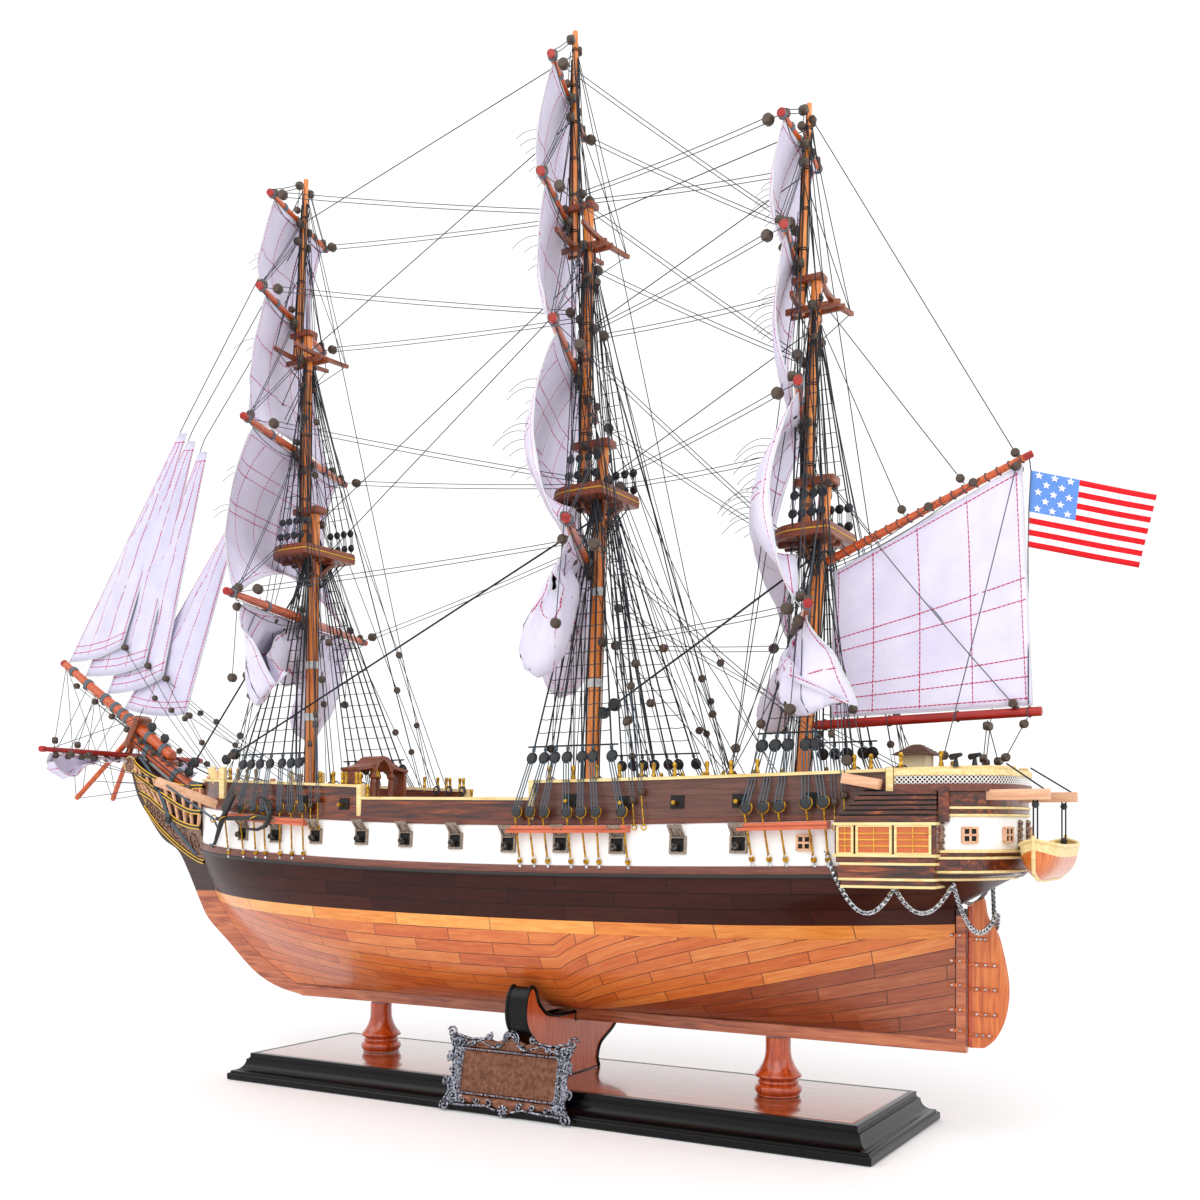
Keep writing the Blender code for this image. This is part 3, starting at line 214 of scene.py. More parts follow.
def make_paint(name, code, roughness=0.45, shade=0.06, coat=0.0, specular=0.5):
    """Brushed enamel: one colour, very slightly uneven in tone and in height."""
    material, tree, surface = new_finish(name, roughness, coat=coat, specular=specular)
    place = add_node(tree, "ShaderNodeTexCoord").outputs["Object"]
    cloud = add_node(tree, "ShaderNodeTexNoise", {
        "Vector": place, "Scale": 260.0, "Detail": 4.0, "Roughness": 0.6})
    fade = add_node(tree, "ShaderNodeMapRange", {
        "Value": cloud.outputs["Fac"], "To Min": 1.0 - shade, "To Max": 1.0 + shade})
    tint = add_node(tree, "ShaderNodeVectorMath", {
        0: linear(code)[:3], "Scale": fade.outputs["Result"]}, operation="SCALE")
    set_look(tree, surface, tint.outputs["Vector"], cloud.outputs["Fac"], 0.00004)
    return material


def make_metal(name, code, worn, roughness=0.35, wear=0.5, scale=500.0):
    """Cast or drawn metal with a darker tone in its low places."""
    material, tree, surface = new_finish(name, roughness, metallic=1.0)
    place = add_node(tree, "ShaderNodeTexCoord").outputs["Object"]
    pits = add_node(tree, "ShaderNodeTexNoise", {
        "Vector": place, "Scale": scale, "Detail": 4.0, "Roughness": 0.6})
    tone = add_node(tree, "ShaderNodeValToRGB", {"Fac": pits.outputs["Fac"]})
    set_ramp(tone, [(wear - 0.12, worn), (wear + 0.12, code)])
    set_look(tree, surface, tone.outputs["Color"], pits.outputs["Fac"], 0.00008)
    return material


# A full turn, for the sine nodes that draw threads
TURN = 6.283


def make_thread(name, code, dark, turns=1.1):
    """Twisted cord: dark and light in turn along it, `turns` times in a millimetre."""
    material, tree, surface = new_finish(name, 0.85, specular=0.25)
    run = add_node(tree, "ShaderNodeAttribute", attribute_name="run")
    waves = add_node(tree, "ShaderNodeMath", {
        0: run.outputs["Fac"], 1: TURN * turns / MM}, operation="MULTIPLY").outputs[0]
    wave = add_node(tree, "ShaderNodeMath", {0: waves}, operation="SINE").outputs[0]
    share = add_node(tree, "ShaderNodeMapRange", {"Value": wave, "From Min": -1.0})
    tone = add_node(tree, "ShaderNodeValToRGB", {"Fac": share.outputs["Result"]})
    set_ramp(tone, [(0.0, dark), (1.0, code)])
    set_look(tree, surface, tone.outputs["Color"])
    return material


def make_cloth(name, code, shadow, weave=0.45):
    """Plain-woven cotton. The thread spacing is drawn at half a millimetre so that it shows."""
    material, tree, surface = new_finish(name, 0.9, specular=0.2)
    surface.inputs["Sheen Weight"].default_value = 0.25
    uv = add_node(tree, "ShaderNodeUVMap", uv_map="cut")
    threads = add_node(tree, "ShaderNodeVectorMath", {
        0: uv.outputs["UV"], "Scale": TURN / (weave * MM)}, operation="SCALE").outputs[0]
    parts = add_node(tree, "ShaderNodeSeparateXYZ", {"Vector": threads})
    warp = add_node(tree, "ShaderNodeMath", {0: parts.outputs["X"]}, operation="SINE").outputs[0]
    weft = add_node(tree, "ShaderNodeMath", {0: parts.outputs["Y"]}, operation="SINE").outputs[0]
    woven = add_node(tree, "ShaderNodeMath", {0: warp, 1: weft}, operation="MULTIPLY").outputs[0]
    cloud = add_node(tree, "ShaderNodeTexNoise", {
        "Vector": uv.outputs["UV"], "Scale": 45.0, "Detail": 3.0, "Roughness": 0.55})
    # Cloudy patches of the shadow tone over the cloth: painted shade
    tone = add_node(tree, "ShaderNodeValToRGB", {"Fac": cloud.outputs["Fac"]})
    set_ramp(tone, [(0.15, shadow), (0.75, code)])
    fine = add_node(tree, "ShaderNodeMath", {0: woven, 1: 0.2}, operation="MULTIPLY").outputs[0]
    relief = add_node(tree, "ShaderNodeMath", {
        0: cloud.outputs["Fac"], 1: 4.0, 2: fine}, operation="MULTIPLY_ADD").outputs[0]
    set_look(tree, surface, tone.outputs["Color"], relief, 0.00022)
    return material


# Metres above the stand's underside at which the stem's dark stain begins
STAIN_HEIGHT = 0.1140


def make_stem_wood(name):
    """The keel's timber: reddish varnish below the waterline, dark stain above it."""
    material, tree, surface = new_finish(name, 0.32, coat=0.35)
    place = add_node(tree, "ShaderNodeTexCoord").outputs["Object"]
    drawn = add_node(tree, "ShaderNodeMapping", {"Vector": place, "Scale": (0.08, 1.0, 1.0)})
    grain = add_node(tree, "ShaderNodeTexNoise", {
        "Vector": drawn.outputs["Vector"], "Scale": 420.0, "Detail": 5.0, "Distortion": 0.9})
    red = add_node(tree, "ShaderNodeValToRGB", {"Fac": grain.outputs["Fac"]})
    set_ramp(red, [(0.32, "#8d4127"), (0.52, "#b8633b"), (0.70, "#c97b50")])
    brown = add_node(tree, "ShaderNodeValToRGB", {"Fac": grain.outputs["Fac"]})
    set_ramp(brown, [(0.32, "#24100b"), (0.70, "#44201a")])
    parts = add_node(tree, "ShaderNodeSeparateXYZ", {"Vector": place})
    above = add_node(tree, "ShaderNodeMath", {
        0: parts.outputs["Z"], 1: STAIN_HEIGHT}, operation="GREATER_THAN").outputs[0]
    colour = add_node(tree, "ShaderNodeMix", {
        "Factor": above, "A": red.outputs["Color"], "B": brown.outputs["Color"]},
        data_type="RGBA")
    set_look(tree, surface, colour_output(colour), grain.outputs["Fac"], 0.00006)
    return material


def make_relief(name, high, low, scale=900.0):
    """Cast scrollwork, antiqued: bright on its high places and almost black in its hollows."""
    material, tree, surface = new_finish(name, 0.45, metallic=0.35)
    place = add_node(tree, "ShaderNodeTexCoord").outputs["Object"]
    cells = add_node(tree, "ShaderNodeTexVoronoi", {"Vector": place, "Scale": scale})
    tone = add_node(tree, "ShaderNodeValToRGB", {"Fac": cells.outputs["Distance"]})
    set_ramp(tone, [(0.15, high), (0.62, low)])
    set_look(tree, surface, tone.outputs["Color"], cells.outputs["Distance"], -0.0006)
    return material


# Each finish by name: its maker, and what it is made with
FINISHES = {
    # Red-brown veneer under thick gloss varnish: a mirror with faint straight grain
    "veneered_top": (make_wood, (("#5e2410", "#8f4220", "#a35530"), 0.0012, "X", 0.16, 0.7)),
    # Black lacquer over a wooden moulding: sharp highlights along its edges
    "black_lacquer": (make_paint, ("#050507", 0.24, 0.02, 0.0, 0.22)),
    # Turned hardwood, stained orange-red, with glossy rings
    "turned_mahogany": (make_wood, (("#7a2408", "#b0400f", "#c9581e"), 0.0010, "Z", 0.2, 0.5)),
    # Sawn board, stained orange-brown, satin
    "cradle_board": (make_wood, (("#97390f", "#bb4f1c", "#cc6230"), 0.0012, "Z", 0.30, 0.3)),
    # Varnished planks below the waterline, orange-tan, each one a little different
    "bottom_planks": (make_planks, (
        ("#a8481a", "#c65f26", "#d57535", "#e2934c"), "#4a1f0c", 54.0, 0.3, 0.22)),
    # The first strake under the dark band, cut from a yellower wood
    "yellow_strake": (make_planks, (
        ("#c8661a", "#df8430", "#eb9b45", "#f2b05e"), "#3a1608", 66.0, 0.3, 0.22)),
    # Reddish-brown planks of the deadwood
    "deadwood_planks": (make_planks, (
        ("#74301a", "#8b4124", "#a05432", "#b3683e"), "#33140a", 62.0, 0.32, 0.2)),
    # Dark brown planks with a deep gloss
    "dark_planks": (make_planks, (
        ("#260d09", "#30120d", "#3a1812", "#431f16"), "#0d0504", 66.0, 0.42, 0.08, 0.55, 0.14)),
    "stem_timber": (make_stem_wood, ()),
    # Walnut strips, open-grained and satin
    "walnut_strip": (make_wood, (("#4a2015", "#6b3526", "#7c4534"), 0.0007, "X", 0.45, 0.15)),
    # Flat white enamel
    "white_band": (make_paint, ("#f3f1ef", 0.42, 0.02)),
    # Black paint in the narrow line under the strake
    "black_line": (make_paint, ("#17110f", 0.4, 0.05)),
    # Rosewood with black figure, glossy
    "rosewood": (make_wood, (
        ("#1a0a06", "#42190d", "#6b2d15", "#a5541f"), 0.0011, "X", 0.30, 0.4)),
    # Dull brown rosewood along the quarterdeck
    "plain_rosewood": (make_wood, (("#3b1c15", "#5b3327", "#6c4335"), 0.0009, "X", 0.4, 0.25)),
    # Cream boxwood strip
    "boxwood": (make_wood, (("#d3b26a", "#e8cf92", "#f0dca8"), 0.0009, "X", 0.45, 0.1)),
    # Pale tan beech
    "beech": (make_wood, (("#c98f68", "#dba884", "#e6b897"), 0.0009, "X", 0.45, 0.1)),
    # Orange-pink strip of the channels
    "channel_strip": (make_wood, (("#b04a26", "#c8603a", "#d4714a"), 0.0007, "X", 0.4, 0.2)),
    # Bare deck planks, pale brown
    "deck_planks": (make_planks, (
        ("#b98a58", "#c79a68", "#d2a878", "#d9b284"), "#5d3a20", 60.0, 0.5, 0.05)),
    # Spars of light wood under orange varnish
    "orange_spar": (make_wood, (
        ("#b04d10", "#d9741f", "#e68b38", "#eea052"), 0.0008, "Z", 0.28, 0.3)),
    # A redder varnish on the yards, bowsprit and jib-boom
    "orange_yard": (make_wood, (("#93300b", "#c24f16", "#d46826"), 0.0008, "Y", 0.28, 0.3)),
    # Red varnish on yard ends, boom and gaff end
    "red_varnish": (make_wood, (("#6a0903", "#9c1408", "#b3210e"), 0.0008, "X", 0.36, 0.05)),
    # Mahogany of the tops and crosstrees
    "top_mahogany": (make_wood, (("#5a2513", "#84401f", "#9d5530"), 0.0007, "Y", 0.4, 0.2)),
    # Yellow enamel line
    "yellow_line": (make_paint, ("#e3b023", 0.4, 0.05)),
    # Drawn brass
    "brass": (make_metal, ("#d8a83f", "#8a6420", 0.28)),
    # Gilt brass wire, a little dull
    "gilt_wire": (make_metal, ("#c9982f", "#8b5a14", 0.34)),
    # Nickel nails and chain
    "nickel": (make_metal, ("#d4d6da", "#8f9296", 0.22)),
    # Thin copper strap
    "copper": (make_metal, ("#c8714b", "#9a4f33", 0.34)),
    # Cast white metal, browned: the gun ports
    "browned_casting": (make_metal, ("#a39486", "#66574c", 0.5, 0.42, 900.0)),
    # Dark gun metal
    "gun_metal": (make_metal, ("#77716c", "#2e2b2a", 0.4, 0.5, 900.0)),
    # Antiqued white metal with copper showing through
    "antique_frame": (make_metal, ("#b9bbc8", "#15131a", 0.3, 0.52, 900.0)),
    "antique_panel": (make_metal, ("#8a5f4d", "#684638", 0.36, 0.5, 420.0)),
    # Black-stained boxwood: deadeyes and hearts
    "black_wood": (make_paint, ("#1b1d21", 0.35, 0.12)),
    # Dark brown blocks
    "block_wood": (make_paint, ("#453629", 0.42, 0.25)),
    # Painted iron of the anchors
    "black_iron": (make_paint, ("#1a1a1d", 0.5, 0.1)),
    "standing_cord": (make_thread, ("#3c4046", "#16181b")),
    "running_cord": (make_thread, ("#5b6067", "#2b2e32")),
    "lanyard_cord": (make_thread, ("#66757f", "#39454e")),
    "grey_binding": (make_thread, ("#7e8d96", "#4b565e")),
    "white_binding": (make_paint, ("#cfd2d2", 0.7, 0.05)),
    "magenta_thread": (make_thread, ("#cc2468", "#9c1c50", 0.4)),
    "reef_thread": (make_thread, ("#6d737b", "#3a3e44")),
    # White cotton with a lilac cast, and darker lilac patches of painted shade
    "sail_cotton": (make_cloth, ("#efebfb", "#ded7f2")),
    # The same cotton in the headsails, painted a little darker as shade
    "jib_cotton": (make_cloth, ("#e0dcf0", "#cdc8e4")),
    "carved_relief": (make_relief, ("#cda68e", "#6b4a3e")),
    # Head rails: black paint with yellow lines
    "black_rail": (make_paint, ("#0b0a10", 0.4, 0.06, 0.0, 0.25)),
    # Window panes: orange tinted
    "orange_pane": (make_paint, ("#c8642c", 0.3, 0.12, 0.4)),
    # Near black, painted shade: in the ports' openings, the muzzles' bores, the stern windows, behind
    # the gallery windows and under the gallery roof's steps
    "dark_void": (make_paint, ("#0c0a09", 0.8, 0.05)),
    # Thin yellow glazing bars, varnished
    "yellow_wood": (make_wood, (("#b9741a", "#dd9c2c", "#efb445"), 0.0009, "X", 0.35, 0.3)),
    # Orange varnished board of the rudder, with the grain upright
    "rudder_board": (make_wood, (("#a3400f", "#cf6a26", "#dd8440"), 0.0011, "Z", 0.3, 0.4)),
    # Cream enamel on the deck house
    "cream_enamel": (make_paint, ("#ecdcb4", 0.45, 0.03)),
    "roof_brown": (make_wood, (("#3a1f14", "#5a3423", "#6b4430"), 0.0007, "X", 0.55, 0.05)),
    "flag_red": (make_cloth, ("#e8131f", "#d40f1b")),
    "flag_white": (make_cloth, ("#f7f6fa", "#e9e8ee")),
    "flag_blue": (make_cloth, ("#6c9be6", "#5f8cd8")),
    "floor_sweep": (make_paint, ("#f4f4f5", 0.6, 0.0)),
}
MADE = {}


def finish(name):
    """The finish of that name, made the first time it is wanted."""
    if name not in MADE:
        maker, values = FINISHES[name]
        MADE[name] = maker(name, *values)
    return MADE[name]


# Pieces

def place_piece(name, mesh, body="ship"):
    """Puts a mesh in the scene, and attaches it to its body if it has one."""
    obj = bpy.data.objects.new(name, mesh)
    bpy.context.scene.collection.objects.link(obj)
    if body:
        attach(obj, body)
    return obj


def piece_from(name, bm, materials, body="ship", smooth=35.0, recalc=True):
    """Turns a bmesh in millimetres into a piece in metres, with its place in its mesh."""
    if recalc:
        bmesh.ops.recalc_face_normals(bm, faces=bm.faces)
    bmesh.ops.scale(bm, vec=(MM, MM, MM), verts=bm.verts)
    mesh = bpy.data.meshes.new(name)
    bm.to_mesh(mesh)
    bm.free()
    if isinstance(materials, str):
        materials = (materials,)
    for material in materials:
        mesh.materials.append(finish(material))
    if smooth:
        mesh.shade_smooth()
        mesh.set_sharp_from_angle(angle=math.radians(smooth))
    return place_piece(name, mesh, body)


def add_block(bm, size, centre, turn=None, index=0, bevel=0.0):
    """Adds a block to a bmesh; a bevel rounds its edges."""
    made = bmesh.ops.create_cube(bm, size=1.0)
    verts = made["verts"]
    bmesh.ops.scale(bm, vec=size, verts=verts)
    place = Matrix.Translation(Vector(centre))
    if turn is not None:
        place = place @ turn.to_4x4()
    bmesh.ops.transform(bm, matrix=place, verts=verts)
    faces = {face for vert in verts for face in vert.link_faces}
    for face in faces:
        face.material_index = index
    if bevel:
        edges = list({edge for vert in verts for edge in vert.link_edges})
        bmesh.ops.bevel(
            bm, geom=edges, offset=bevel, segments=2, profile=0.5, affect="EDGES",
            clamp_overlap=True)


def add_rod(bm, start, end, radii, sides=12, index=0):
    """Adds a straight rod between two points, with the radii of its ends."""
    start = Vector(start)
    end = Vector(end)
    axis = end - start
    turn = axis.to_track_quat("Z", "Y").to_matrix().to_4x4()
    place = Matrix.Translation((start + end) / 2) @ turn
    made = bmesh.ops.create_cone(
        bm, cap_ends=True, segments=sides, radius1=radii[0], radius2=radii[1],
        depth=axis.length, matrix=place)
    for face in {face for vert in made["verts"] for face in vert.link_faces}:
        face.material_index = index


def add_loft(bm, sections, closed=True, caps=True, indices=None, ring=False):
    """Joins rows of points; `indices` gives the material of each strip along a section."""
    rows = [[bm.verts.new(point) for point in section] for section in sections]
    count = len(rows[0])
    pairs = list(zip(rows, rows[1:]))
    if ring:
        pairs.append((rows[-1], rows[0]))
    strips = count if closed else count - 1
    for row, following in pairs:
        for i in range(strips):
            j = (i + 1) % count
            face = bm.faces.new((row[i], row[j], following[j], following[i]))
            if indices:
                face.material_index = indices[i % len(indices)]
    if caps and not ring and closed:
        for end in (rows[0], rows[-1]):
            face = bm.faces.new(end)
            if indices:
                face.material_index = indices[0]
    return rows


def add_cap(bm, row, index=0):
    """Fills a flat outline that may be hollow in places."""
    for corners in tessellate_polygon([[vert.co for vert in row]]):
        face = bm.faces.new([row[i] for i in corners])
        face.material_index = index


def level_ring(x, y, z, radius, count):
    """A level ring of points round (x, y)."""
    angles = [2 * math.pi * k / count for k in range(count)]
    return [(x + radius * math.cos(angle), y + radius * math.sin(angle), z) for angle in angles]


def level_square(x, y, z, half_x, half_y):
    """The four corners of a level rectangle round (x, y)."""
    return [(x - half_x, y - half_y, z), (x + half_x, y - half_y, z),
            (x + half_x, y + half_y, z), (x - half_x, y + half_y, z)]


def lathe(bm, profile, centre, segments=48):
    """A turned shape about the vertical through `centre`, from (radius, height) pairs."""
    rings = [level_ring(*centre, z, radius, segments) for radius, z in profile]
    add_loft(bm, rings, indices=[0])
    bmesh.ops.remove_doubles(bm, verts=bm.verts, dist=0.0005)


# Geometry Nodes: cords along lines, and fittings repeated at places

def open_tree(name, sockets):
    """A new tree that takes a geometry and these inputs, and the outputs of its input node."""
    tree = bpy.data.node_groups.new(name, "GeometryNodeTree")
    tree.interface.new_socket("Geometry", in_out="INPUT", socket_type="NodeSocketGeometry")
    for label, kind in sockets:
        tree.interface.new_socket(label, in_out="INPUT", socket_type="NodeSocket" + kind)
    tree.interface.new_socket("Geometry", in_out="OUTPUT", socket_type="NodeSocketGeometry")
    return tree, add_node(tree, "NodeGroupInput").outputs


def close_tree(tree, geometry, material):
    """Turns a tree's instances into mesh, gives it its material, and ends the tree."""
    real = add_node(tree, "GeometryNodeRealizeInstances", {"Geometry": geometry}).outputs[0]
    done = add_node(tree, "GeometryNodeSetMaterial", {"Geometry": real, "Material": material})
    add_node(tree, "NodeGroupOutput", {"Geometry": done.outputs[0]})
    return tree


def cord_tree():
    """Round cord along each line of the mesh; a point's `thick` scales the cord there."""
    tree, given = open_tree("cord along lines", (
        ("Radius", "Float"), ("Sides", "Int"), ("Material", "Material")))
    line = add_node(tree, "GeometryNodeMeshToCurve", {"Mesh": given["Geometry"]}).outputs[0]
    thick = add_node(
        tree, "GeometryNodeInputNamedAttribute", {"Name": "thick"}, data_type="FLOAT")
    run = add_node(tree, "GeometryNodeSplineParameter").outputs["Length"]
    marked = add_node(tree, "GeometryNodeStoreNamedAttribute", {
        "Geometry": line, "Name": "run", "Value": run}, data_type="FLOAT", domain="POINT")
    sized = add_node(tree, "GeometryNodeSetCurveRadius", {
        "Curve": marked.outputs[0], "Radius": thick.outputs["Attribute"]})
    ring = add_node(tree, "GeometryNodeCurvePrimitiveCircle", {
        "Resolution": given["Sides"], "Radius": given["Radius"]}, mode="RADIUS")
    tube = add_node(tree, "GeometryNodeCurveToMesh", {
        "Curve": sized.outputs[0], "Profile Curve": ring.outputs["Curve"], "Fill Caps": True})
    if "Scale" in tube.inputs:
        tree.links.new(thick.outputs["Attribute"], tube.inputs["Scale"])
    smooth = add_node(tree, "GeometryNodeSetShadeSmooth", {"Geometry": tube.outputs["Mesh"]})
    return close_tree(tree, smooth.outputs[0], given["Material"])


def fitting_tree():
    """A fitting at each point, its X along `ahead` and its Z along `upward`, scaled by `size`."""
    tree, given = open_tree("fitting at places", (
        ("Fitting", "Object"), ("Material", "Material")))
    pattern = add_node(tree, "GeometryNodeObjectInfo", {"Object": given["Fitting"]})
    sockets = {}
    for name, kind in (("ahead", "FLOAT_VECTOR"), ("upward", "FLOAT_VECTOR"), ("size", "FLOAT")):
        sockets[name] = add_node(
            tree, "GeometryNodeInputNamedAttribute", {"Name": name},
            data_type=kind).outputs["Attribute"]
    turned = add_node(tree, "FunctionNodeAxesToRotation", {
        "Primary Axis": sockets["upward"], "Secondary Axis": sockets["ahead"]},
        primary_axis="Z", secondary_axis="X")
    placed = add_node(tree, "GeometryNodeInstanceOnPoints", {
        "Points": given["Geometry"], "Instance": pattern.outputs["Geometry"],
        "Rotation": turned.outputs[0], "Scale": sockets["size"]})
    return close_tree(tree, placed.outputs[0], given["Material"])


def stitch_tree():
    """Short stitches along each line of the mesh, one at every `Spacing`, lying on the cloth."""
    tree, given = open_tree("stitches along lines", (
        ("Spacing", "Float"), ("Length", "Float"), ("Width", "Float"), ("Material", "Material")))
    line = add_node(tree, "GeometryNodeMeshToCurve", {"Mesh": given["Geometry"]}).outputs[0]
    spaced = add_node(tree, "GeometryNodeCurveToPoints", {
        "Curve": line, "Length": given["Spacing"]}, mode="LENGTH")
    size = add_node(tree, "ShaderNodeCombineXYZ", {
        "X": given["Length"], "Y": given["Width"], "Z": given["Width"]}).outputs[0]
    thread = add_node(tree, "GeometryNodeMeshCube", {"Size": size})
    turn = add_node(tree, "FunctionNodeAxesToRotation", {
        "Primary Axis": spaced.outputs["Tangent"], "Secondary Axis": spaced.outputs["Normal"]},
        primary_axis="X", secondary_axis="Z")
    placed = add_node(tree, "GeometryNodeInstanceOnPoints", {
        "Points": spaced.outputs["Points"], "Instance": thread.outputs["Mesh"],
        "Rotation": turn.outputs[0]})
    return close_tree(tree, placed.outputs[0], given["Material"])


TREE_MAKERS = {"cord": cord_tree, "fitting": fitting_tree, "stitch": stitch_tree}
TREES = {}


def grow(name, mesh, kind, values, body="ship"):
    """Runs one of the trees on a mesh of lines or points, and keeps the result as a piece."""
    if kind not in TREES:
        TREES[kind] = TREE_MAKERS[kind]()
    seed = bpy.data.objects.new(name + "_seed", mesh)
    bpy.context.scene.collection.objects.link(seed)
    modifier = seed.modifiers.new("build", "NODES")
    modifier.node_group = TREES[kind]
    for item in TREES[kind].interface.items_tree:
        if item.in_out == "INPUT" and item.name in values:
            modifier[item.identifier] = values[item.name]
    bpy.context.view_layer.update()
    evaluated = seed.evaluated_get(bpy.context.evaluated_depsgraph_get())
    made = bpy.data.meshes.new_from_object(evaluated)
    made.name = name
    seed.modifiers.remove(modifier)
    bpy.data.objects.remove(seed, do_unlink=True)
    if not made.polygons:
        raise RuntimeError(f"{name} came out empty")
    return place_piece(name, made, body)


def add_attribute(mesh, name, kind, values):
    """Gives each point of a mesh a number or a vector."""
    attribute = mesh.attributes.new(name, kind, "POINT")
    key = "vector" if kind == "FLOAT_VECTOR" else "value"
    attribute.data.foreach_set(key, np.array(values, np.float32).ravel())


def line_mesh(name, lines):
    """A mesh of edges along lines of points in millimetres."""
    verts = []
    edges = []
    for line in lines:
        start = len(verts)
        verts += [Vector(point) * MM for point in line]
        edges += [(start + i, start + i + 1) for i in range(len(line) - 1)]
    mesh = bpy.data.meshes.new(name + "_lines")
    mesh.from_pydata(verts, edges, [])
    return mesh


def cords(name, lines, radius, material, body="ship", sides=6):
    """Cords along lines of points in millimetres. A line is points, or (points, scale)."""
    lines = [line if isinstance(line, tuple) else (line, 1.0) for line in lines]
    mesh = line_mesh(name, [points for points, _ in lines])
    thick = [scale for points, scale in lines for _ in points]
    add_attribute(mesh, "thick", "FLOAT", thick)
    values = {"Radius": radius * MM, "Sides": sides, "Material": finish(material)}
    return grow(name, mesh, "cord", values, body)


def fittings(name, pattern, places, material, body="ship"):
    """Copies of a small bmesh in millimetres at (point, ahead, upward, size)."""
    shape = bpy.data.meshes.new(name + "_pattern")
    bmesh.ops.recalc_face_normals(pattern, faces=pattern.faces)
    bmesh.ops.scale(pattern, vec=(MM, MM, MM), verts=pattern.verts)
    pattern.to_mesh(shape)
    pattern.free()
    shape.shade_smooth()
    shape.set_sharp_from_angle(angle=math.radians(40.0))
    model = bpy.data.objects.new(name + "_pattern", shape)
    bpy.context.scene.collection.objects.link(model)
    points = bpy.data.meshes.new(name + "_places")
    points.from_pydata([Vector(place[0]) * MM for place in places], [], [])
    add_attribute(points, "ahead", "FLOAT_VECTOR", [tuple(place[1]) for place in places])
    add_attribute(points, "upward", "FLOAT_VECTOR", [tuple(place[2]) for place in places])
    add_attribute(points, "size", "FLOAT", [place[3] for place in places])
    made = grow(name, points, "fitting", {"Fitting": model, "Material": finish(material)}, body)
    bpy.data.objects.remove(model, do_unlink=True)
    return made


# Millimetres from one stitch to the next, along a stitch and across it
STITCH_SPACING = 2.4
STITCH_LENGTH = 2.0
STITCH_WIDTH = 0.56


def stitches(name, lines, body="ship"):
    """Sewing along lines of points in millimetres."""
    values = {
        "Spacing": STITCH_SPACING * MM, "Length": STITCH_LENGTH * MM, "Width": STITCH_WIDTH * MM,
        "Material": finish("magenta_thread")}
    return grow(name, line_mesh(name, lines), "stitch", values, body)


def sagged(start, end, sag=0.0, count=8):
    """A line between two points that hangs by `sag` at its middle."""
    start = Vector(start)
    end = Vector(end)
    line = []
    for k in range(count + 1):
        t = k / count
        line.append(start.lerp(end, t) - Vector((0, 0, 4 * sag * t * (1 - t))))
    return line


def ring_line(centre, radius, axis, count=16):
    """Points round an axis, the last one on the first."""
    axis = Vector(axis).normalized()
    side = axis.orthogonal().normalized()
    other = axis.cross(side)
    line = []
    for k in range(count + 1):
        angle = 2 * math.pi * k / count
        line.append(Vector(centre) + side * radius * math.cos(angle)
                    + other * radius * math.sin(angle))
    return line


def circle(centre, side, up, radius, count):
    """A ring of points round a centre, in the plane of two directions."""
    ring = []
    for k in range(count):
        angle = 2 * math.pi * k / count
        ring.append(centre + side * radius * math.cos(angle) + up * radius * math.sin(angle))
    return ring


def curl(start, sweep, size, shrink, steps):
    """A flat spiral that closes in: (share of its way, across, up) at each of its points."""
    line = []
    for k in range(steps + 1):
        t = k / steps
        angle = start + sweep * t
        radius = size * (1.0 - shrink * t)
        line.append((t, radius * math.cos(angle), radius * math.sin(angle)))
    return line


def spline_points(points, steps=6, ease=0.5):
    """A smooth line through points; `ease` is how strongly it follows their directions."""
    points = [Vector(point) for point in points]
    line = [points[0]]
    for k in range(len(points) - 1):
        before = points[max(k - 1, 0)]
        a, b = points[k], points[k + 1]
        after = points[min(k + 2, len(points) - 1)]
        for step in range(1, steps + 1):
            t = step / steps
            line.append(
                (2 * t ** 3 - 3 * t ** 2 + 1) * a + (t ** 3 - 2 * t ** 2 + t) * (b - before) * ease
                + (3 * t ** 2 - 2 * t ** 3) * b + (t ** 3 - t ** 2) * (after - a) * ease)
    return line


def inset(outline, amount):
    """A flat outline drawn in by some millimetres."""
    made = []
    for k, point in enumerate(outline):
        along = Vector(outline[(k + 1) % len(outline)]) - Vector(outline[k - 1])
        inward = Vector((-along.y, along.x))
        if inward.length:
            inward.normalize()
        made.append(Vector(point) + inward * amount)
    return made


# The ship's form, as the frame has it. A level is a height amidships: its line rises towards the
# ends with the sheer

HALF_BEAM = 57.0
POST_HALF = 2.5
RABBET_LEVEL = 54.0
WALE_LEVEL = 132.0
MIDSHIP_X = 10.0
POST_X = -232.0
STERN_X = -263.0
BOW_X = 284.0
TUCK_LEVEL = 116.0
BAND_LEVEL = 159.0
DECK_LEVEL = 160.8
FORECASTLE_BREAK = 104.0
QUARTERDECK_BREAK = -17.0
BULWARK_THICKNESS = 2.4
KEEL_BOTTOM = 47.0
RUDDER_AXIS_X = -239.4
GAP = 0.35


def clamp(value):
    return max(0.0, min(1.0, value))


def fullness(level):
    """How far up a level lies between the keel's rabbet and the wale, from 0 to 1."""
    return clamp((level - RABBET_LEVEL) / (WALE_LEVEL - RABBET_LEVEL))


def bow_end(level):
    return BOW_X - 84.0 * (1.0 - fullness(level)) ** 2.2


def stern_end(level):
    overhang = clamp((level - TUCK_LEVEL) / (WALE_LEVEL - TUCK_LEVEL))
    return POST_X + (STERN_X - POST_X) * overhang


def sheer(x):
    """How far the wale rises at a place along the hull."""
    if x > -20.0:
        return 6.8 * ((x + 20.0) / 240.0) ** 2
    return 3.0 * ((x + 20.0) / 220.0) ** 2


def height(x, level):
    """The height of a level's line at a place."""
    return level + sheer(x) * (level - RABBET_LEVEL) / (WALE_LEVEL - RABBET_LEVEL)


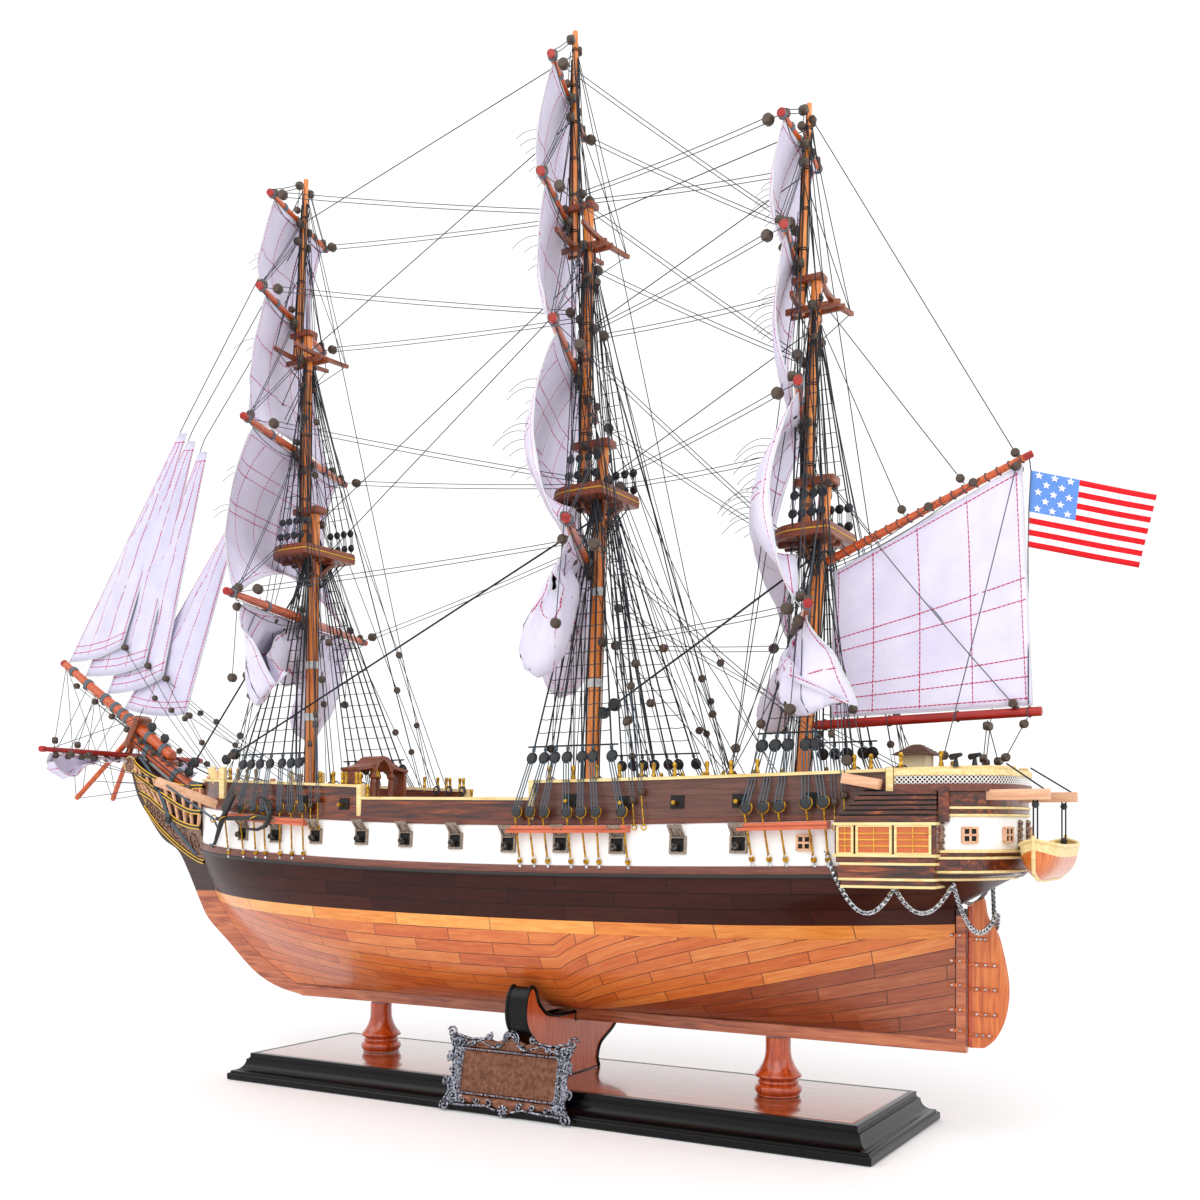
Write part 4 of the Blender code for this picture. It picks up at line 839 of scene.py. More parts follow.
def level_at(x, z):
    """The level whose line passes a place at a height."""
    share = sheer(x) / (WALE_LEVEL - RABBET_LEVEL)
    return (z + RABBET_LEVEL * share) / (1.0 + share)


def half_breadth(x, level):
    """Half the hull's breadth at a place along it, from its keel strip up to the rail."""
    low = fullness(level)
    if level <= WALE_LEVEL:
        beam = POST_HALF + (HALF_BEAM - POST_HALF) * (1.0 - (1.0 - low) ** 2.6) ** (1.0 / 1.9)
    else:
        beam = HALF_BEAM - 4.0 * ((level - WALE_LEVEL) / 50.0) ** 1.2
    if x >= MIDSHIP_X:
        reach = (x - MIDSHIP_X) / (bow_end(level) - MIDSHIP_X)
        power = 2.2 + 3.3 * low ** 1.5
        ease = 1.35 - 0.55 * low
    else:
        reach = (MIDSHIP_X - x) / (MIDSHIP_X - stern_end(level))
        power = 2.0 + 3.0 * low ** 2 + 11.0 * low ** 10
        ease = 1.5 - 1.1 * low ** 2
    narrowing = 1.0 - 0.11 * (max(MIDSHIP_X - x, 0.0) / 242.0) ** 2
    swell = (1.0 - clamp(reach) ** power) ** ease
    return POST_HALF + (beam * narrowing - POST_HALF) * swell


def rail_top(x):
    if x > FORECASTLE_BREAK:
        return 181.0 + 0.0459 * (x - FORECASTLE_BREAK)
    if x > QUARTERDECK_BREAK:
        return 173.8 - 0.0145 * (FORECASTLE_BREAK - x)
    return 181.3 + 3.3 * ((x - QUARTERDECK_BREAK) / 246.0) ** 2


def deck_top(x):
    return height(x, DECK_LEVEL)


def hull_side(x, z, side=1.0, out=0.0):
    """A point on the planking at a place along it and a height, and `out` beyond it."""
    return Vector((x, side * (half_breadth(x, level_at(x, z)) + out), z))


def hull_slope(x, z):
    """How far the side turns inwards along +X, as a direction along the planking."""
    level = level_at(x, z)
    change = half_breadth(x + 1.0, level) - half_breadth(x - 1.0, level)
    return Vector((2.0, change, 0.0)).normalized()


def outline_at(level, count):
    """The port half outline at one level, from bow to stern: point and outward direction."""
    bow = bow_end(level)
    stern = stern_end(level)
    places = []
    for k in range(count + 1):
        places.append(MIDSHIP_X + (bow - MIDSHIP_X) * math.cos(math.pi / 2 * k / count))
    for k in range(1, count + 1):
        places.append(MIDSHIP_X - (MIDSHIP_X - stern) * math.sin(math.pi / 2 * k / count))
    points = [Vector((x, half_breadth(x, level))) for x in places]
    rows = []
    for i, point in enumerate(points):
        before = points[max(i - 1, 0)]
        after = points[min(i + 1, len(points) - 1)]
        along = (after - before).normalized()
        outward = Vector((-along.y, along.x))
        if outward.y < 0.0:
            outward = -outward
        if i == 0:
            outward = Vector((1.0, 0.0))
        if i == len(points) - 1:
            outward = Vector((-1.0, 0.0))
        rows.append((point, outward))
    return rows


def belt(bm, profile, count=48, index=0, start=None, stop=None):
    """A moulding all round the hull. The profile lists (height at x, how far it stands out).

    With `start` and `stop` it runs only between two places, on both sides.
    """
    mean = sum(rise(0.0) for rise, _ in profile) / len(profile)
    rows = []
    for point, outward in outline_at(mean, count):
        if start is not None and not (stop <= point.x <= start):
            continue
        rows.append((point.x, outward))
    if start is not None:
        rows = [(start, Vector((0.0, 1.0)))] + rows + [(stop, Vector((0.0, 1.0)))]
    port = []
    for x, outward in rows:
        section = []
        for rise, out in profile:
            z = rise(x)
            y = half_breadth(x, level_at(x, z))
            section.append((x + outward.x * out, max(y + outward.y * out, 0.3), z))
        port.append(section)
    mirrored = [[(x, -y, z) for x, y, z in section] for section in port]
    if start is None:
        add_loft(bm, port + mirrored[::-1], indices=[index], ring=True)
    else:
        add_loft(bm, port, indices=[index])
        add_loft(bm, mirrored, indices=[index])


def at_level(level):
    """The height of a level's line, as a function of the place."""
    return lambda x: height(x, level)


# The bowsprit's foot and slope, and how the jib-boom lies on it: how far its axis is above the
# bowsprit's, and the distances of its heel and its length
BOWSPRIT_FOOT = Vector((271.0, 0.0, 165.1))
BOWSPRIT_SLOPE = math.radians(32.1)
JIB_OFFSET = 8.9
JIB_HEEL = 66.0
JIB_LENGTH = 139.5


def bowsprit_point(distance, offset=0.0, y=0.0):
    """A point along the bowsprit's axis, and `offset` above it square to the axis."""
    along = Vector((math.cos(BOWSPRIT_SLOPE), 0.0, math.sin(BOWSPRIT_SLOPE)))
    across = Vector((-math.sin(BOWSPRIT_SLOPE), 0.0, math.cos(BOWSPRIT_SLOPE)))
    return BOWSPRIT_FOOT + along * distance + across * offset + Vector((0.0, y, 0.0))


# Each mast stage: (x, z) at its foot and its head, and its radii; mast_foot gives the height of
# a foot that has none here. `top`: after and fore edge, half width and height. `cross`, the
# crosstrees: height and half width
MASTS = {
    "fore": {
        "lower": ((191.8, None), (188.0, 368.0), (3.9, 3.6)),
        "topmast": ((197.2, None), (193.5, 483.0), (3.3, 2.9)),
        "topgallant": ((203.0, 463.0), (195.7, 584.4), (2.7, 1.6)),
        "top": (173.8, 215.0, 24.4, 337.0), "cross": (463.0, 25.0)},
    "main": {
        "lower": ((-22.6, None), (-31.0, 379.0), (3.9, 3.6)),
        "topmast": ((-18.6, None), (-21.5, 515.0), (3.3, 2.9)),
        "topgallant": ((-11.6, 489.0), (-12.3, 617.3), (2.7, 1.6)),
        "top": (-42.7, -1.7, 22.5, 347.0), "cross": (489.0, 26.0)},
    "mizzen": {
        "lower": ((-150.2, None), (-164.8, 340.0), (3.8, 3.4)),
        "topmast": ((-153.6, None), (-159.6, 444.0), (3.1, 2.7)),
        "topgallant": ((-150.6, 426.0), (-155.3, 535.2), (2.5, 1.5)),
        "top": (-173.5, -137.5, 21.0, 310.0), "cross": (426.0, 21.0)},
}
TOP_THICKNESS = 4.6

# Mast, stage, height, half length, brace angle with the port end aft
YARDS = {
    "fore_course_yard": ("fore", "lower", 294.3, 108.0, 19.1),
    "fore_topsail_yard": ("fore", "topmast", 405.1, 80.0, 19.4),
    "fore_topgallant_yard": ("fore", "topgallant", 493.5, 58.0, 22.5),
    "fore_royal_yard": ("fore", "topgallant", 557.9, 42.0, 17.8),
    "main_course_yard": ("main", "lower", 308.3, 115.0, 25.8),
    "main_topsail_yard": ("main", "topmast", 418.8, 86.0, 23.2),
    "main_topgallant_yard": ("main", "topgallant", 508.3, 62.0, 19.0),
    "main_royal_yard": ("main", "topgallant", 580.3, 45.0, 19.5),
    "crossjack_yard": ("mizzen", "lower", 261.2, 80.0, 23.7),
    "mizzen_topsail_yard": ("mizzen", "topmast", 371.0, 62.0, 20.6),
    "mizzen_topgallant_yard": ("mizzen", "topgallant", 454.9, 44.0, 15.0),
    "mizzen_royal_yard": ("mizzen", "topgallant", 516.6, 32.0, 3.6),
}


# The spritsail yard hangs under the bowsprit, with its port end a little aft
SPRITSAIL_MIDDLE = Vector((369.2, 0.0, 210.0))
SPRITSAIL_HALF = 84.0
SPRITSAIL_BRACE = math.radians(10.0)
SPRITSAIL_ALONG = Vector((-math.sin(SPRITSAIL_BRACE), math.cos(SPRITSAIL_BRACE), 0.0))
SPRITSAIL_AHEAD = Vector((math.cos(SPRITSAIL_BRACE), math.sin(SPRITSAIL_BRACE), 0.0))


def on_spritsail_yard(share):
    """A point on the spritsail yard: `share` from -1 at starboard to 1 at port."""
    return SPRITSAIL_MIDDLE + SPRITSAIL_ALONG * SPRITSAIL_HALF * share


def martingale(side):
    """The head and the tip of one martingale stick, below the bowsprit."""
    return Vector((365.0, side * 2.5, 221.0)), Vector((405.0, side * 16.0, 178.6))


def mast_foot(mast, stage):
    """The height of one stage's foot."""
    (x, z), _, _ = MASTS[mast][stage]
    if stage == "lower":
        return deck_top(x) + 2 * GAP
    if stage == "topmast":
        return MASTS[mast]["top"][3] + TOP_THICKNESS / 2 + GAP
    return z


def mast_at(mast, stage, z):
    """The axis position and the radius of one stage at a height."""
    (x_foot, _), (x_head, z_head), (r_foot, r_head) = MASTS[mast][stage]
    z_foot = mast_foot(mast, stage)
    share = (z - z_foot) / (z_head - z_foot)
    return x_foot + (x_head - x_foot) * share, r_foot + (r_head - r_foot) * share


def yard_radius(half_length):
    return 0.8 + 0.021 * half_length


def yard_line(name):
    """A yard's middle, its direction towards port, and the direction square to it."""
    mast, stage, z, half_length, brace = YARDS[name]
    angle = math.radians(brace)
    x_mast, r_mast = mast_at(mast, stage, z)
    reach = (r_mast + yard_radius(half_length) + 2 * GAP) / math.cos(angle)
    middle = Vector((x_mast + reach, 0.0, z))
    along = Vector((-math.sin(angle), math.cos(angle), 0.0))
    ahead = Vector((math.cos(angle), math.sin(angle), 0.0))
    return middle, along, ahead


def on_yard(name, share, up=0.0, out=0.0):
    """A point on a yard: `share` from -1 at starboard to 1 at port."""
    middle, along, ahead = yard_line(name)
    return middle + along * YARDS[name][3] * share + Vector((0, 0, up)) + ahead * out


# Sizes and colours a user may change

class FrigateStand(bpy.types.PropertyGroup):
    """Sizes of the stand."""

    border: bpy.props.FloatProperty(
        name="Lacquer Border", description="Width of the black border round the veneered top",
        default=3.4, min=0.5, max=10.0)
    panel: bpy.props.FloatProperty(
        name="Plate Border", description="Width of the nameplate's cast border",
        default=6.6, min=3.0, max=12.0)


class FrigateHull(bpy.types.PropertyGroup):
    """Sizes of the hull's planking and mouldings."""

    strake: bpy.props.FloatProperty(
        name="Strake", description="Width of one plank on the hull, in millimetres",
        default=PLANK_WIDTH, min=3.0, max=12.0)
    stations: bpy.props.IntProperty(
        name="Stations", description="Cross sections along half of the hull",
        default=56, min=20, max=120)
    cap: bpy.props.FloatProperty(
        name="Rail Cap", description="Thickness of the cream rail on the bulwark",
        default=1.7, min=0.5, max=4.0)


class FrigateRigging(bpy.types.PropertyGroup):
    """Thickness of the cords, in millimetres across."""

    shroud: bpy.props.FloatProperty(
        name="Shroud", description="Thickness of a lower shroud", default=1.0, min=0.3, max=2.5)
    ratline: bpy.props.FloatProperty(
        name="Ratline", description="Thickness of a ratline", default=0.5, min=0.2, max=1.2)
    rope: bpy.props.FloatProperty(
        name="Rope", description="Thickness of a running rope", default=0.75, min=0.2, max=1.5)
    block: bpy.props.FloatProperty(
        name="Block", description="Width of a block", default=6.2, min=2.0, max=9.0)


class FrigateSails(bpy.types.PropertyGroup):
    """The sails."""

    thickness: bpy.props.FloatProperty(
        name="Cloth", description="Thickness of the sailcloth, in millimetres",
        default=0.4, min=0.1, max=1.0)
    seam: bpy.props.FloatProperty(
        name="Seam Spacing", description="Distance between two sewn seams, in millimetres",
        default=37.0, min=10.0, max=80.0)


class FrigateStage(bpy.types.PropertyGroup):
    """Floor and light."""

    floor: bpy.props.FloatProperty(
        name="Floor", description="Half the width of the floor", default=6.0, min=1.0, max=20.0,
        unit="LENGTH")
    glow: bpy.props.FloatVectorProperty(
        name="Light Colour", description="Colour of the soft room light", subtype="COLOR",
        default=(1.0, 1.0, 1.0), min=0.0, max=1.0)
    power: bpy.props.FloatProperty(
        name="Light", description="Strength of the large soft light",
        default=9.0, min=0.0, max=200.0)


# Stand

BASE_HALF_X = 208.0
BASE_HALF_Y = 57.5
BASE_TOP = 16.35
KEEL_SEAT = 46.65


class FRIGATE_OT_base(bpy.types.Operator):
    """Make the moulded plinth with its veneered top."""

    bl_idname = "frigate.base"
    bl_label = "Plinth"

    def execute(self, context):
        border = context.scene.frigate_stand.border
        # (height, how far back from the foot's edge)
        profile = [(0.0, 0.5), (0.5, 0.0), (3.5, 0.0), (4.1, 0.6), (4.3, 1.5), (5.3, 1.7)]
        for k in range(9):
            angle = math.pi / 2 * k / 8
            profile.append((5.5 + 6.6 * (1.0 - math.cos(angle)), 2.0 + 6.3 * math.sin(angle)))
        profile += [(12.4, 8.4), (12.5, 9.4), (13.1, 9.5), (13.3, 10.0), (15.5, 10.0)]
        profile += [(15.9, 10.4), (15.95, 10.0 + border - 0.3), (15.7, 10.0 + border)]
        # The groove round the veneer, and the veneer's edge
        profile += [(15.9, 10.3 + border), (16.0, 11.0 + border)]
        bm = bmesh.new()
        add_loft(bm, [level_square(0.0, 0.0, z, BASE_HALF_X - back, BASE_HALF_Y - back)
                      for z, back in profile])
        for face in bm.faces:
            if all(vert.co.z > 15.68 for vert in face.verts):
                inside = min(BASE_HALF_X - abs(vert.co.x) for vert in face.verts)
                face.material_index = 1 if inside > 9.9 + border else 0
        piece = piece_from("plinth", bm, ("black_lacquer", "veneered_top"), smooth=28.0)
        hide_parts("base")
        return {"FINISHED"}


# (radius, height) from the keel down to the base
PEDESTAL_PROFILE = (
    (0.0, KEEL_SEAT), (6.6, KEEL_SEAT), (6.7, 46.2), (6.65, 42.0), (6.8, 38.5), (7.2, 36.2), (7.8, 34.3),
    (8.6, 32.4), (9.6, 30.7), (10.7, 29.2), (11.8, 27.9), (12.4, 27.2), (12.5, 26.8),
    (12.2, 26.2), (11.0, 25.8), (10.4, 25.4), (10.2, 24.9), (10.5, 24.4), (10.9, 23.9),
    (10.9, 23.2), (10.5, 22.7), (10.4, 22.4), (11.3, 22.1), (12.1, 21.4), (12.5, 20.4),
    (12.5, 19.3), (12.1, 18.2), (11.4, 17.5), (11.2, 17.0), (11.4, 16.5), (11.3, BASE_TOP),
    (0.0, BASE_TOP),
)


class FRIGATE_OT_pedestals(bpy.types.Operator):
    """Turn the two pedestals that hold the keel."""

    bl_idname = "frigate.pedestals"
    bl_label = "Pedestals"

    def execute(self, context):
        for node, x in (("pedestal_fore", 132.0), ("pedestal_aft", -138.0)):
            bm = bmesh.new()
            lathe(bm, PEDESTAL_PROFILE, (x, 0.0), segments=56)
            piece = piece_from(f"turned_{node}", bm, "turned_mahogany", smooth=50.0)
            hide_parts(node)
        return {"FINISHED"}


def cradle_outline():
    """The cradle's outline in (Y, Z), its curved stretches rounded off."""
    corners = [
        (24.0, BASE_TOP), (22.0, 22.0), (26.0, 30.0), (40.0, 37.0), (52.0, 47.0), (55.0, 56.0),
        (53.0, 66.0), (48.5, 70.5), (44.5, 68.0), (41.5, 61.0), (33.0, 54.0), (20.0, 51.5)]
    half = [(p.x, p.y) for p in spline_points(corners, 4, ease=0.42)]
    half += [(2.85, 51.5), (2.85, KEEL_SEAT)]
    return half + [(-y, z) for y, z in reversed(half)]


class FRIGATE_OT_cradle(bpy.types.Operator):
    """Saw the cradle board, with its black edge and its scrolled foot."""

    bl_idname = "frigate.cradle"
    bl_label = "Cradle"

    def execute(self, context):
        outline = cradle_outline()
        bm = bmesh.new()
        rings = []
        for x, shrink in ((-2.0, 0.5), (-1.4, 0.0), (-14.6, 0.0), (-14.0, 0.5)):
            rings.append([(x, place.x, place.y) for place in inset(outline, shrink)])
        rows = add_loft(bm, rings, caps=False)
        for row in (rows[0], rows[-1]):
            add_cap(bm, row, 1)
        piece = piece_from("cradle_board", bm, ("black_lacquer", "cradle_board"), smooth=40.0)
        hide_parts("cradle")
        # A black bead that follows the edge of each face
        rims = []
        for x in (-1.9, -14.1):
            for side in (1, -1):
                half = [(x, side * y, z) for y, z in outline[: len(outline) // 2 - 1]]
                rims.append(half)
        cords("cradle_rim", rims, 1.0, "black_lacquer", sides=8)
        return {"FINISHED"}


def nameplate_matrix():
    """From the plate's own frame (X along it, Y out of its face, Z up it) to its place."""
    lean = math.radians(12.0)
    up = Vector((0.0, -math.sin(lean), math.cos(lean)))
    out = Vector((0.0, math.cos(lean), math.sin(lean)))
    foot = Vector((-3.0, BASE_HALF_Y, 4.0)) + out * GAP - up * 3.4 / up.z
    centre = foot + up * 22.0 + out * 1.1
    return Matrix.Translation(centre) @ Matrix.Rotation(lean, 4, "X")


class FRIGATE_OT_nameplate(bpy.types.Operator):
    """Cast the blank nameplate: a frame with rope edges, corner scrolls and a bare panel."""

    bl_idname = "frigate.nameplate"
    bl_label = "Nameplate"

    def execute(self, context):
        border = context.scene.frigate_stand.panel
        place = nameplate_matrix()
        turn = place.to_3x3()
        # The casting's edge swells at its corners, at the shell and the rosette, and at its sides:
        # (across, up, how far, how wide)
        swells = (
            (38.0, 18.0, 5.0, 4.2), (14.5, 19.0, 2.2, 2.6), (0.0, 19.0, 4.6, 5.0),
            (39.0, 7.0, 2.4, 3.4), (39.0, -7.0, 2.4, 3.4), (14.5, -19.0, 1.0, 3.0))
        count = 160
        edge = []
        for k in range(count):
            angle = 2.0 * math.pi * (k + 0.5) / count
            across, up = math.cos(angle), math.sin(angle)
            reach = min(37.5 / max(abs(across), 1e-6), 17.5 / max(abs(up), 1e-6))
            point = Vector((across * reach, up * reach))
            rise = 0.0
            for u, v, swell, wide in swells:
                spot = Vector((u, v)) if v * up >= 0.0 or u > 38.5 else Vector((u, -v))
                gap = Vector((abs(point.x), point.y)) - spot
                rise = max(rise, swell * math.exp(-(gap.length / wide) ** 2))
            edge.append((point, Vector((across, up * 1.6)).normalized(), rise))
        # (share of the swelling, inset, height of the face), from the back round to the panel
        profile = ((0.9, 0.9, -1.1), (1.0, 0.0, -0.6), (1.0, 0.0, 0.3), (0.95, 0.8, 0.9),
                   (0.3, 2.2, 1.0), (0.0, 3.4, 0.3), (0.0, border - 2.4, 0.3),
                   (0.0, border - 1.6, 1.3), (0.0, border - 0.6, 1.3), (0.0, border, 0.2),
                   (0.0, border + 3.0, 0.25))
        rings = []
        for share, inward, out in profile:
            ring = []
            for point, outward, rise in edge:
                u = math.copysign(max(abs(point.x) - inward, 0.0), point.x)
                v = math.copysign(max(abs(point.y) - inward, 0.0), point.y)
                ring.append((u + outward.x * rise * share, out, v + outward.y * rise * share))
            rings.append(ring)
        bm = bmesh.new()
        add_loft(bm, rings)
        for face in bm.faces:
            inside = all(abs(vert.co.x) < 37.9 - border and vert.co.y > 0.0 for vert in face.verts)
            face.material_index = 1 if inside else 0
        bmesh.ops.transform(bm, matrix=place, verts=bm.verts)
        piece = piece_from("plate_casting", bm, ("antique_frame", "antique_panel"), smooth=30.0)
        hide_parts("nameplate")
        # A rope edge round the panel
        ropes = []
        u = 37.5 - border + 1.1
        v = 17.5 - border + 1.1
        for start, end in (((-u, v), (u, v)), ((u, v), (u, -v)), ((u, -v), (-u, -v)),
                           ((-u, -v), (-u, v))):
            a, b = Vector(start), Vector(end)
            number = int((b - a).length / 1.3)
            direction = (b - a).normalized()
            slant = Vector((direction.x, 0.0, direction.y))
            across = Vector((-direction.y, 0.0, direction.x))
            for k in range(number + 1):
                p = a.lerp(b, k / number)
                ropes.append((place @ Vector((p.x, 1.45, p.y)),
                              turn @ (slant + across * 0.9).normalized(),
                              turn @ Vector((0, 1, 0)), 1.0))
        bead = bmesh.new()
        bmesh.ops.create_icosphere(bead, subdivisions=1, radius=1.0)
        bmesh.ops.scale(bead, vec=(0.85, 0.45, 0.45), verts=bead.verts)
        fittings("plate_ropes", bead, ropes, "antique_frame")
        # Leafy scrolls: (across, up, size, turns, which way it starts)
        curls = []
        for sx in (-1, 1):
            for across, up, size, turns, start in (
                    (39.6, 20.0, 3.6, 1.5, 0.4), (39.4, -20.0, 3.4, 1.5, -0.6),
                    (35.6, 14.6, 2.4, 1.2, 2.2), (39.6, 6.6, 2.8, 1.3, 1.2),
                    (39.6, -6.6, 2.8, 1.3, -1.2), (37.2, 0.0, 1.7, 1.1, 3.1),
                    (14.5, 19.8, 2.4, 1.3, 1.8), (24.5, 15.0, 2.1, 1.2, -0.8),
                    (8.0, 15.6, 2.0, 1.2, 2.6), (30.5, 16.0, 1.7, 1.1, 0.8),
                    (10.0, -16.4, 2.2, 1.2, 0.6), (18.5, -15.4, 2.0, 1.2, 2.9),
                    (27.5, -16.6, 2.1, 1.2, -0.5), (35.4, -14.4, 2.2, 1.2, -2.4)):
                line = [place @ Vector((sx * (across + u), 1.1 + 0.7 * t, up + v))
                        for t, u, v in curl(start, 2.0 * math.pi * turns, size, 0.88, 14)]
                curls.append((line, 0.75 + 0.12 * size))
            # Leaves that run between the scrolls
            for points in (((36.0, 19.5), (26.0, 17.6), (17.0, 18.6), (12.5, 21.0)),
                           ((36.0, -19.0), (24.0, -18.6), (12.0, -17.6), (5.0, -19.6)),
                           ((40.5, 17.0), (37.6, 11.6), (40.4, 4.0)),
                           ((40.5, -17.0), (37.6, -11.6), (40.4, -4.0)),
                           ((32.0, 13.8), (20.0, 17.0), (10.0, 13.6), (4.0, 16.4))):
                line = [place @ Vector((sx * a, 1.1, b)) for a, b in points]
                curls.append((line, 1.1))
        # The shell above the panel, and the rosette below it
        for reach in (2.2, 3.6, 5.0):
            line = []
            for k in range(15):
                angle = math.pi * (k / 14.0 * 1.2 - 0.1)
                line.append(place @ Vector((
                    reach * math.cos(angle), 1.9 - 0.15 * reach, 19.0 + reach * math.sin(angle))))
            curls.append((line, 1.0))
        for k in range(9):
            angle = 2 * math.pi * k / 9
            line = [place @ Vector((reach * math.cos(angle), 1.7 - 0.15 * reach,
                                    -19.4 + reach * math.sin(angle))) for reach in (0.4, 1.8, 3.2)]
            curls.append((line, 1.3))
        cords("plate_scrolls", curls, 0.6, "antique_frame", sides=6)
        return {"FINISHED"}


# Hull

def deadwood_level(x):
    """The upper edge of the deadwood planks, which rise towards the sternpost."""
    if x > -30.0:
        return 54.8
    return 54.8 + 42.0 * ((-30.0 - x) / 202.0) ** 1.1


def station_x(k, count, level):
    """The k-th cross section's place at one level, from the stern to the bow."""
    if k < count:
        share = math.sin(math.pi / 2 * (count - k) / count)
        return MIDSHIP_X - (MIDSHIP_X - stern_end(level)) * share
    share = math.sin(math.pi / 2 * (k - count) / count)
    return MIDSHIP_X + (bow_end(level) - MIDSHIP_X) * share


class FRIGATE_OT_planking(bpy.types.Operator):
    """Plank the hull below the strake: deadwood, bottom, yellow strake and dark band."""

    bl_idname = "frigate.planking"
    bl_label = "Hull Planking"

    def execute(self, context):
        hull = context.scene.frigate_hull
        count = hull.stations
        sections = []
        marks = []
        for k in range(2 * count + 1):
            edge = 54.8
            for _ in range(4):
                edge = deadwood_level(station_x(k, count, edge))
            levels = [54.0 + (edge - 54.0) * i / 3 for i in range(4)]
            levels += [edge + (101.0 - edge) * i / 22 for i in range(1, 23)]
            levels += [104.5, 108.0] + [108.0 + 23.6 * i / 8 for i in range(1, 9)]
            port = []
            for level in levels:
                x = station_x(k, count, level)
                port.append(Vector((x, half_breadth(x, level), height(x, level))))
            girth = [0.0]
            for a, b in zip(port, port[1:]):
                girth.append(girth[-1] + (b.yz - a.yz).length)
            base = girth[3]
            rows = []
            for i, level in enumerate(levels):
                if level <= 101.0 or i <= 3:
                    rows.append((girth[i] - base) / hull.strake)
                else:
                    rows.append((level - 108.0) / 7.87)
            sections.append(port)
            marks.append(rows)
        bm = bmesh.new()
        layer = bm.loops.layers.uv.new("strakes")
        width = len(sections[0])
        # Which finish each strip between two levels has
        kinds = [0] * 3 + [1] * 22 + [2] * 2 + [3] * 8
        for side in (1.0, -1.0):
            grid = [[bm.verts.new((p.x, side * p.y, p.z)) for p in row] for row in sections]
            for k in range(len(grid) - 1):
                for i in range(width - 1):
                    corners = [(k, i), (k + 1, i), (k + 1, i + 1), (k, i + 1)]
                    if side < 0:
                        corners.reverse()
                    face = bm.faces.new([grid[a][b] for a, b in corners])
                    face.material_index = kinds[i]
                    for loop, (a, b) in zip(face.loops, corners):
                        mark = marks[a][b]
                        if kinds[i] == 2:
                            mark = 31.02 + 0.96 * (sections[a][b].z - sections[a][25].z) / 7.2
                            mark = min(max(mark, 31.02), 31.98)
                        loop[layer].uv = (sections[a][b].x + 700.0 * (side < 0), mark + 60.0)
            if side > 0:
                port_grid = grid
        # Close the keel strip, the deck side and both ends
        for k in range(len(grid) - 1):
            for i in (0, width - 1):
                face = bm.faces.new((
                    port_grid[k][i], port_grid[k + 1][i], grid[k + 1][i], grid[k][i]))
                face.material_index = kinds[0] if i == 0 else 3
        for k in (0, len(grid) - 1):
            for i in range(width - 1):
                face = bm.faces.new((
                    port_grid[k][i], port_grid[k][i + 1], grid[k][i + 1], grid[k][i]))
                face.material_index = kinds[i]
        piece = piece_from(
            "planking", bm, ("deadwood_planks", "bottom_planks", "yellow_strake", "dark_planks"),
            smooth=60.0)
        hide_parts("hull_bottom")
        return {"FINISHED"}


class FRIGATE_OT_gun_band(bpy.types.Operator):
    """Make the white band with its strake and black line, the channels and the mouldings."""

    bl_idname = "frigate.gun_band"
    bl_label = "Gun Band"

    def execute(self, context):
        bm = bmesh.new()
        levels = (131.85, 145.0, 158.9)
        sections = []
        number = context.scene.frigate_hull.stations
        for k in range(2 * number + 1):
            port = []
            for level in levels:
                x = station_x(k, number, level)
                port.append((x, half_breadth(x, level), height(x, level)))
            sections.append(port + [(x, -y, z) for x, y, z in reversed(port)])
        rows = add_loft(bm, sections, caps=False)
        for end in (rows[0], rows[-1]):
            for i in range(2):
                bm.faces.new((end[i], end[i + 1], end[-2 - i], end[-1 - i]))
        band = piece_from("gun_belt", bm, "white_band", smooth=40.0)
        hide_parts("gun_band")
        # Strake under the white band, black line below it, brown strake above it
        bm = bmesh.new()
        for low, high, out, index in ((131.4, 133.2, 1.3, 1), (133.1, 137.3, 0.9, 0)):
            belt(bm, ((at_level(low), -0.6), (at_level(low), out - 0.25),
                      (at_level(low + 0.3), out), (at_level(high - 0.3), out),
                      (at_level(high), out - 0.25), (at_level(high), -0.6)), index=index)
        belt(bm, ((at_level(158.7), -0.2), (at_level(158.7), 0.55), (at_level(159.0), 0.8),
                  (at_level(161.2), 0.8), (at_level(161.5), 0.5), (at_level(161.5), 0.1)))
        piece_from("side_strakes", bm, ("walnut_strip", "black_line"), smooth=40.0)
        # Channels: three thin boards each, with the middle one set back
        bm = bmesh.new()
        for start, stop in ((214.0, 142.0), (-5.0, -79.0), (-140.0, -186.0)):
            for side, _ in SIDES:
                for low, high, out in ((154.5, 155.9, 5.5), (155.9, 156.7, 5.0),
                                       (156.7, 158.2, 5.6)):
                    sections = []
                    for k in range(13):
                        x = start + (stop - start) * k / 12
                        y = half_breadth(x, 157.0)
                        sections.append([
                            (x, side * (y - 0.8), height(x, low)),
                            (x, side * (y + out), height(x, low)),
                            (x, side * (y + out), height(x, high)),
                            (x, side * (y - 0.8), height(x, high))])
                    add_loft(bm, sections)
        piece_from("channel_boards", bm, "channel_strip", smooth=30.0)
        return {"FINISHED"}


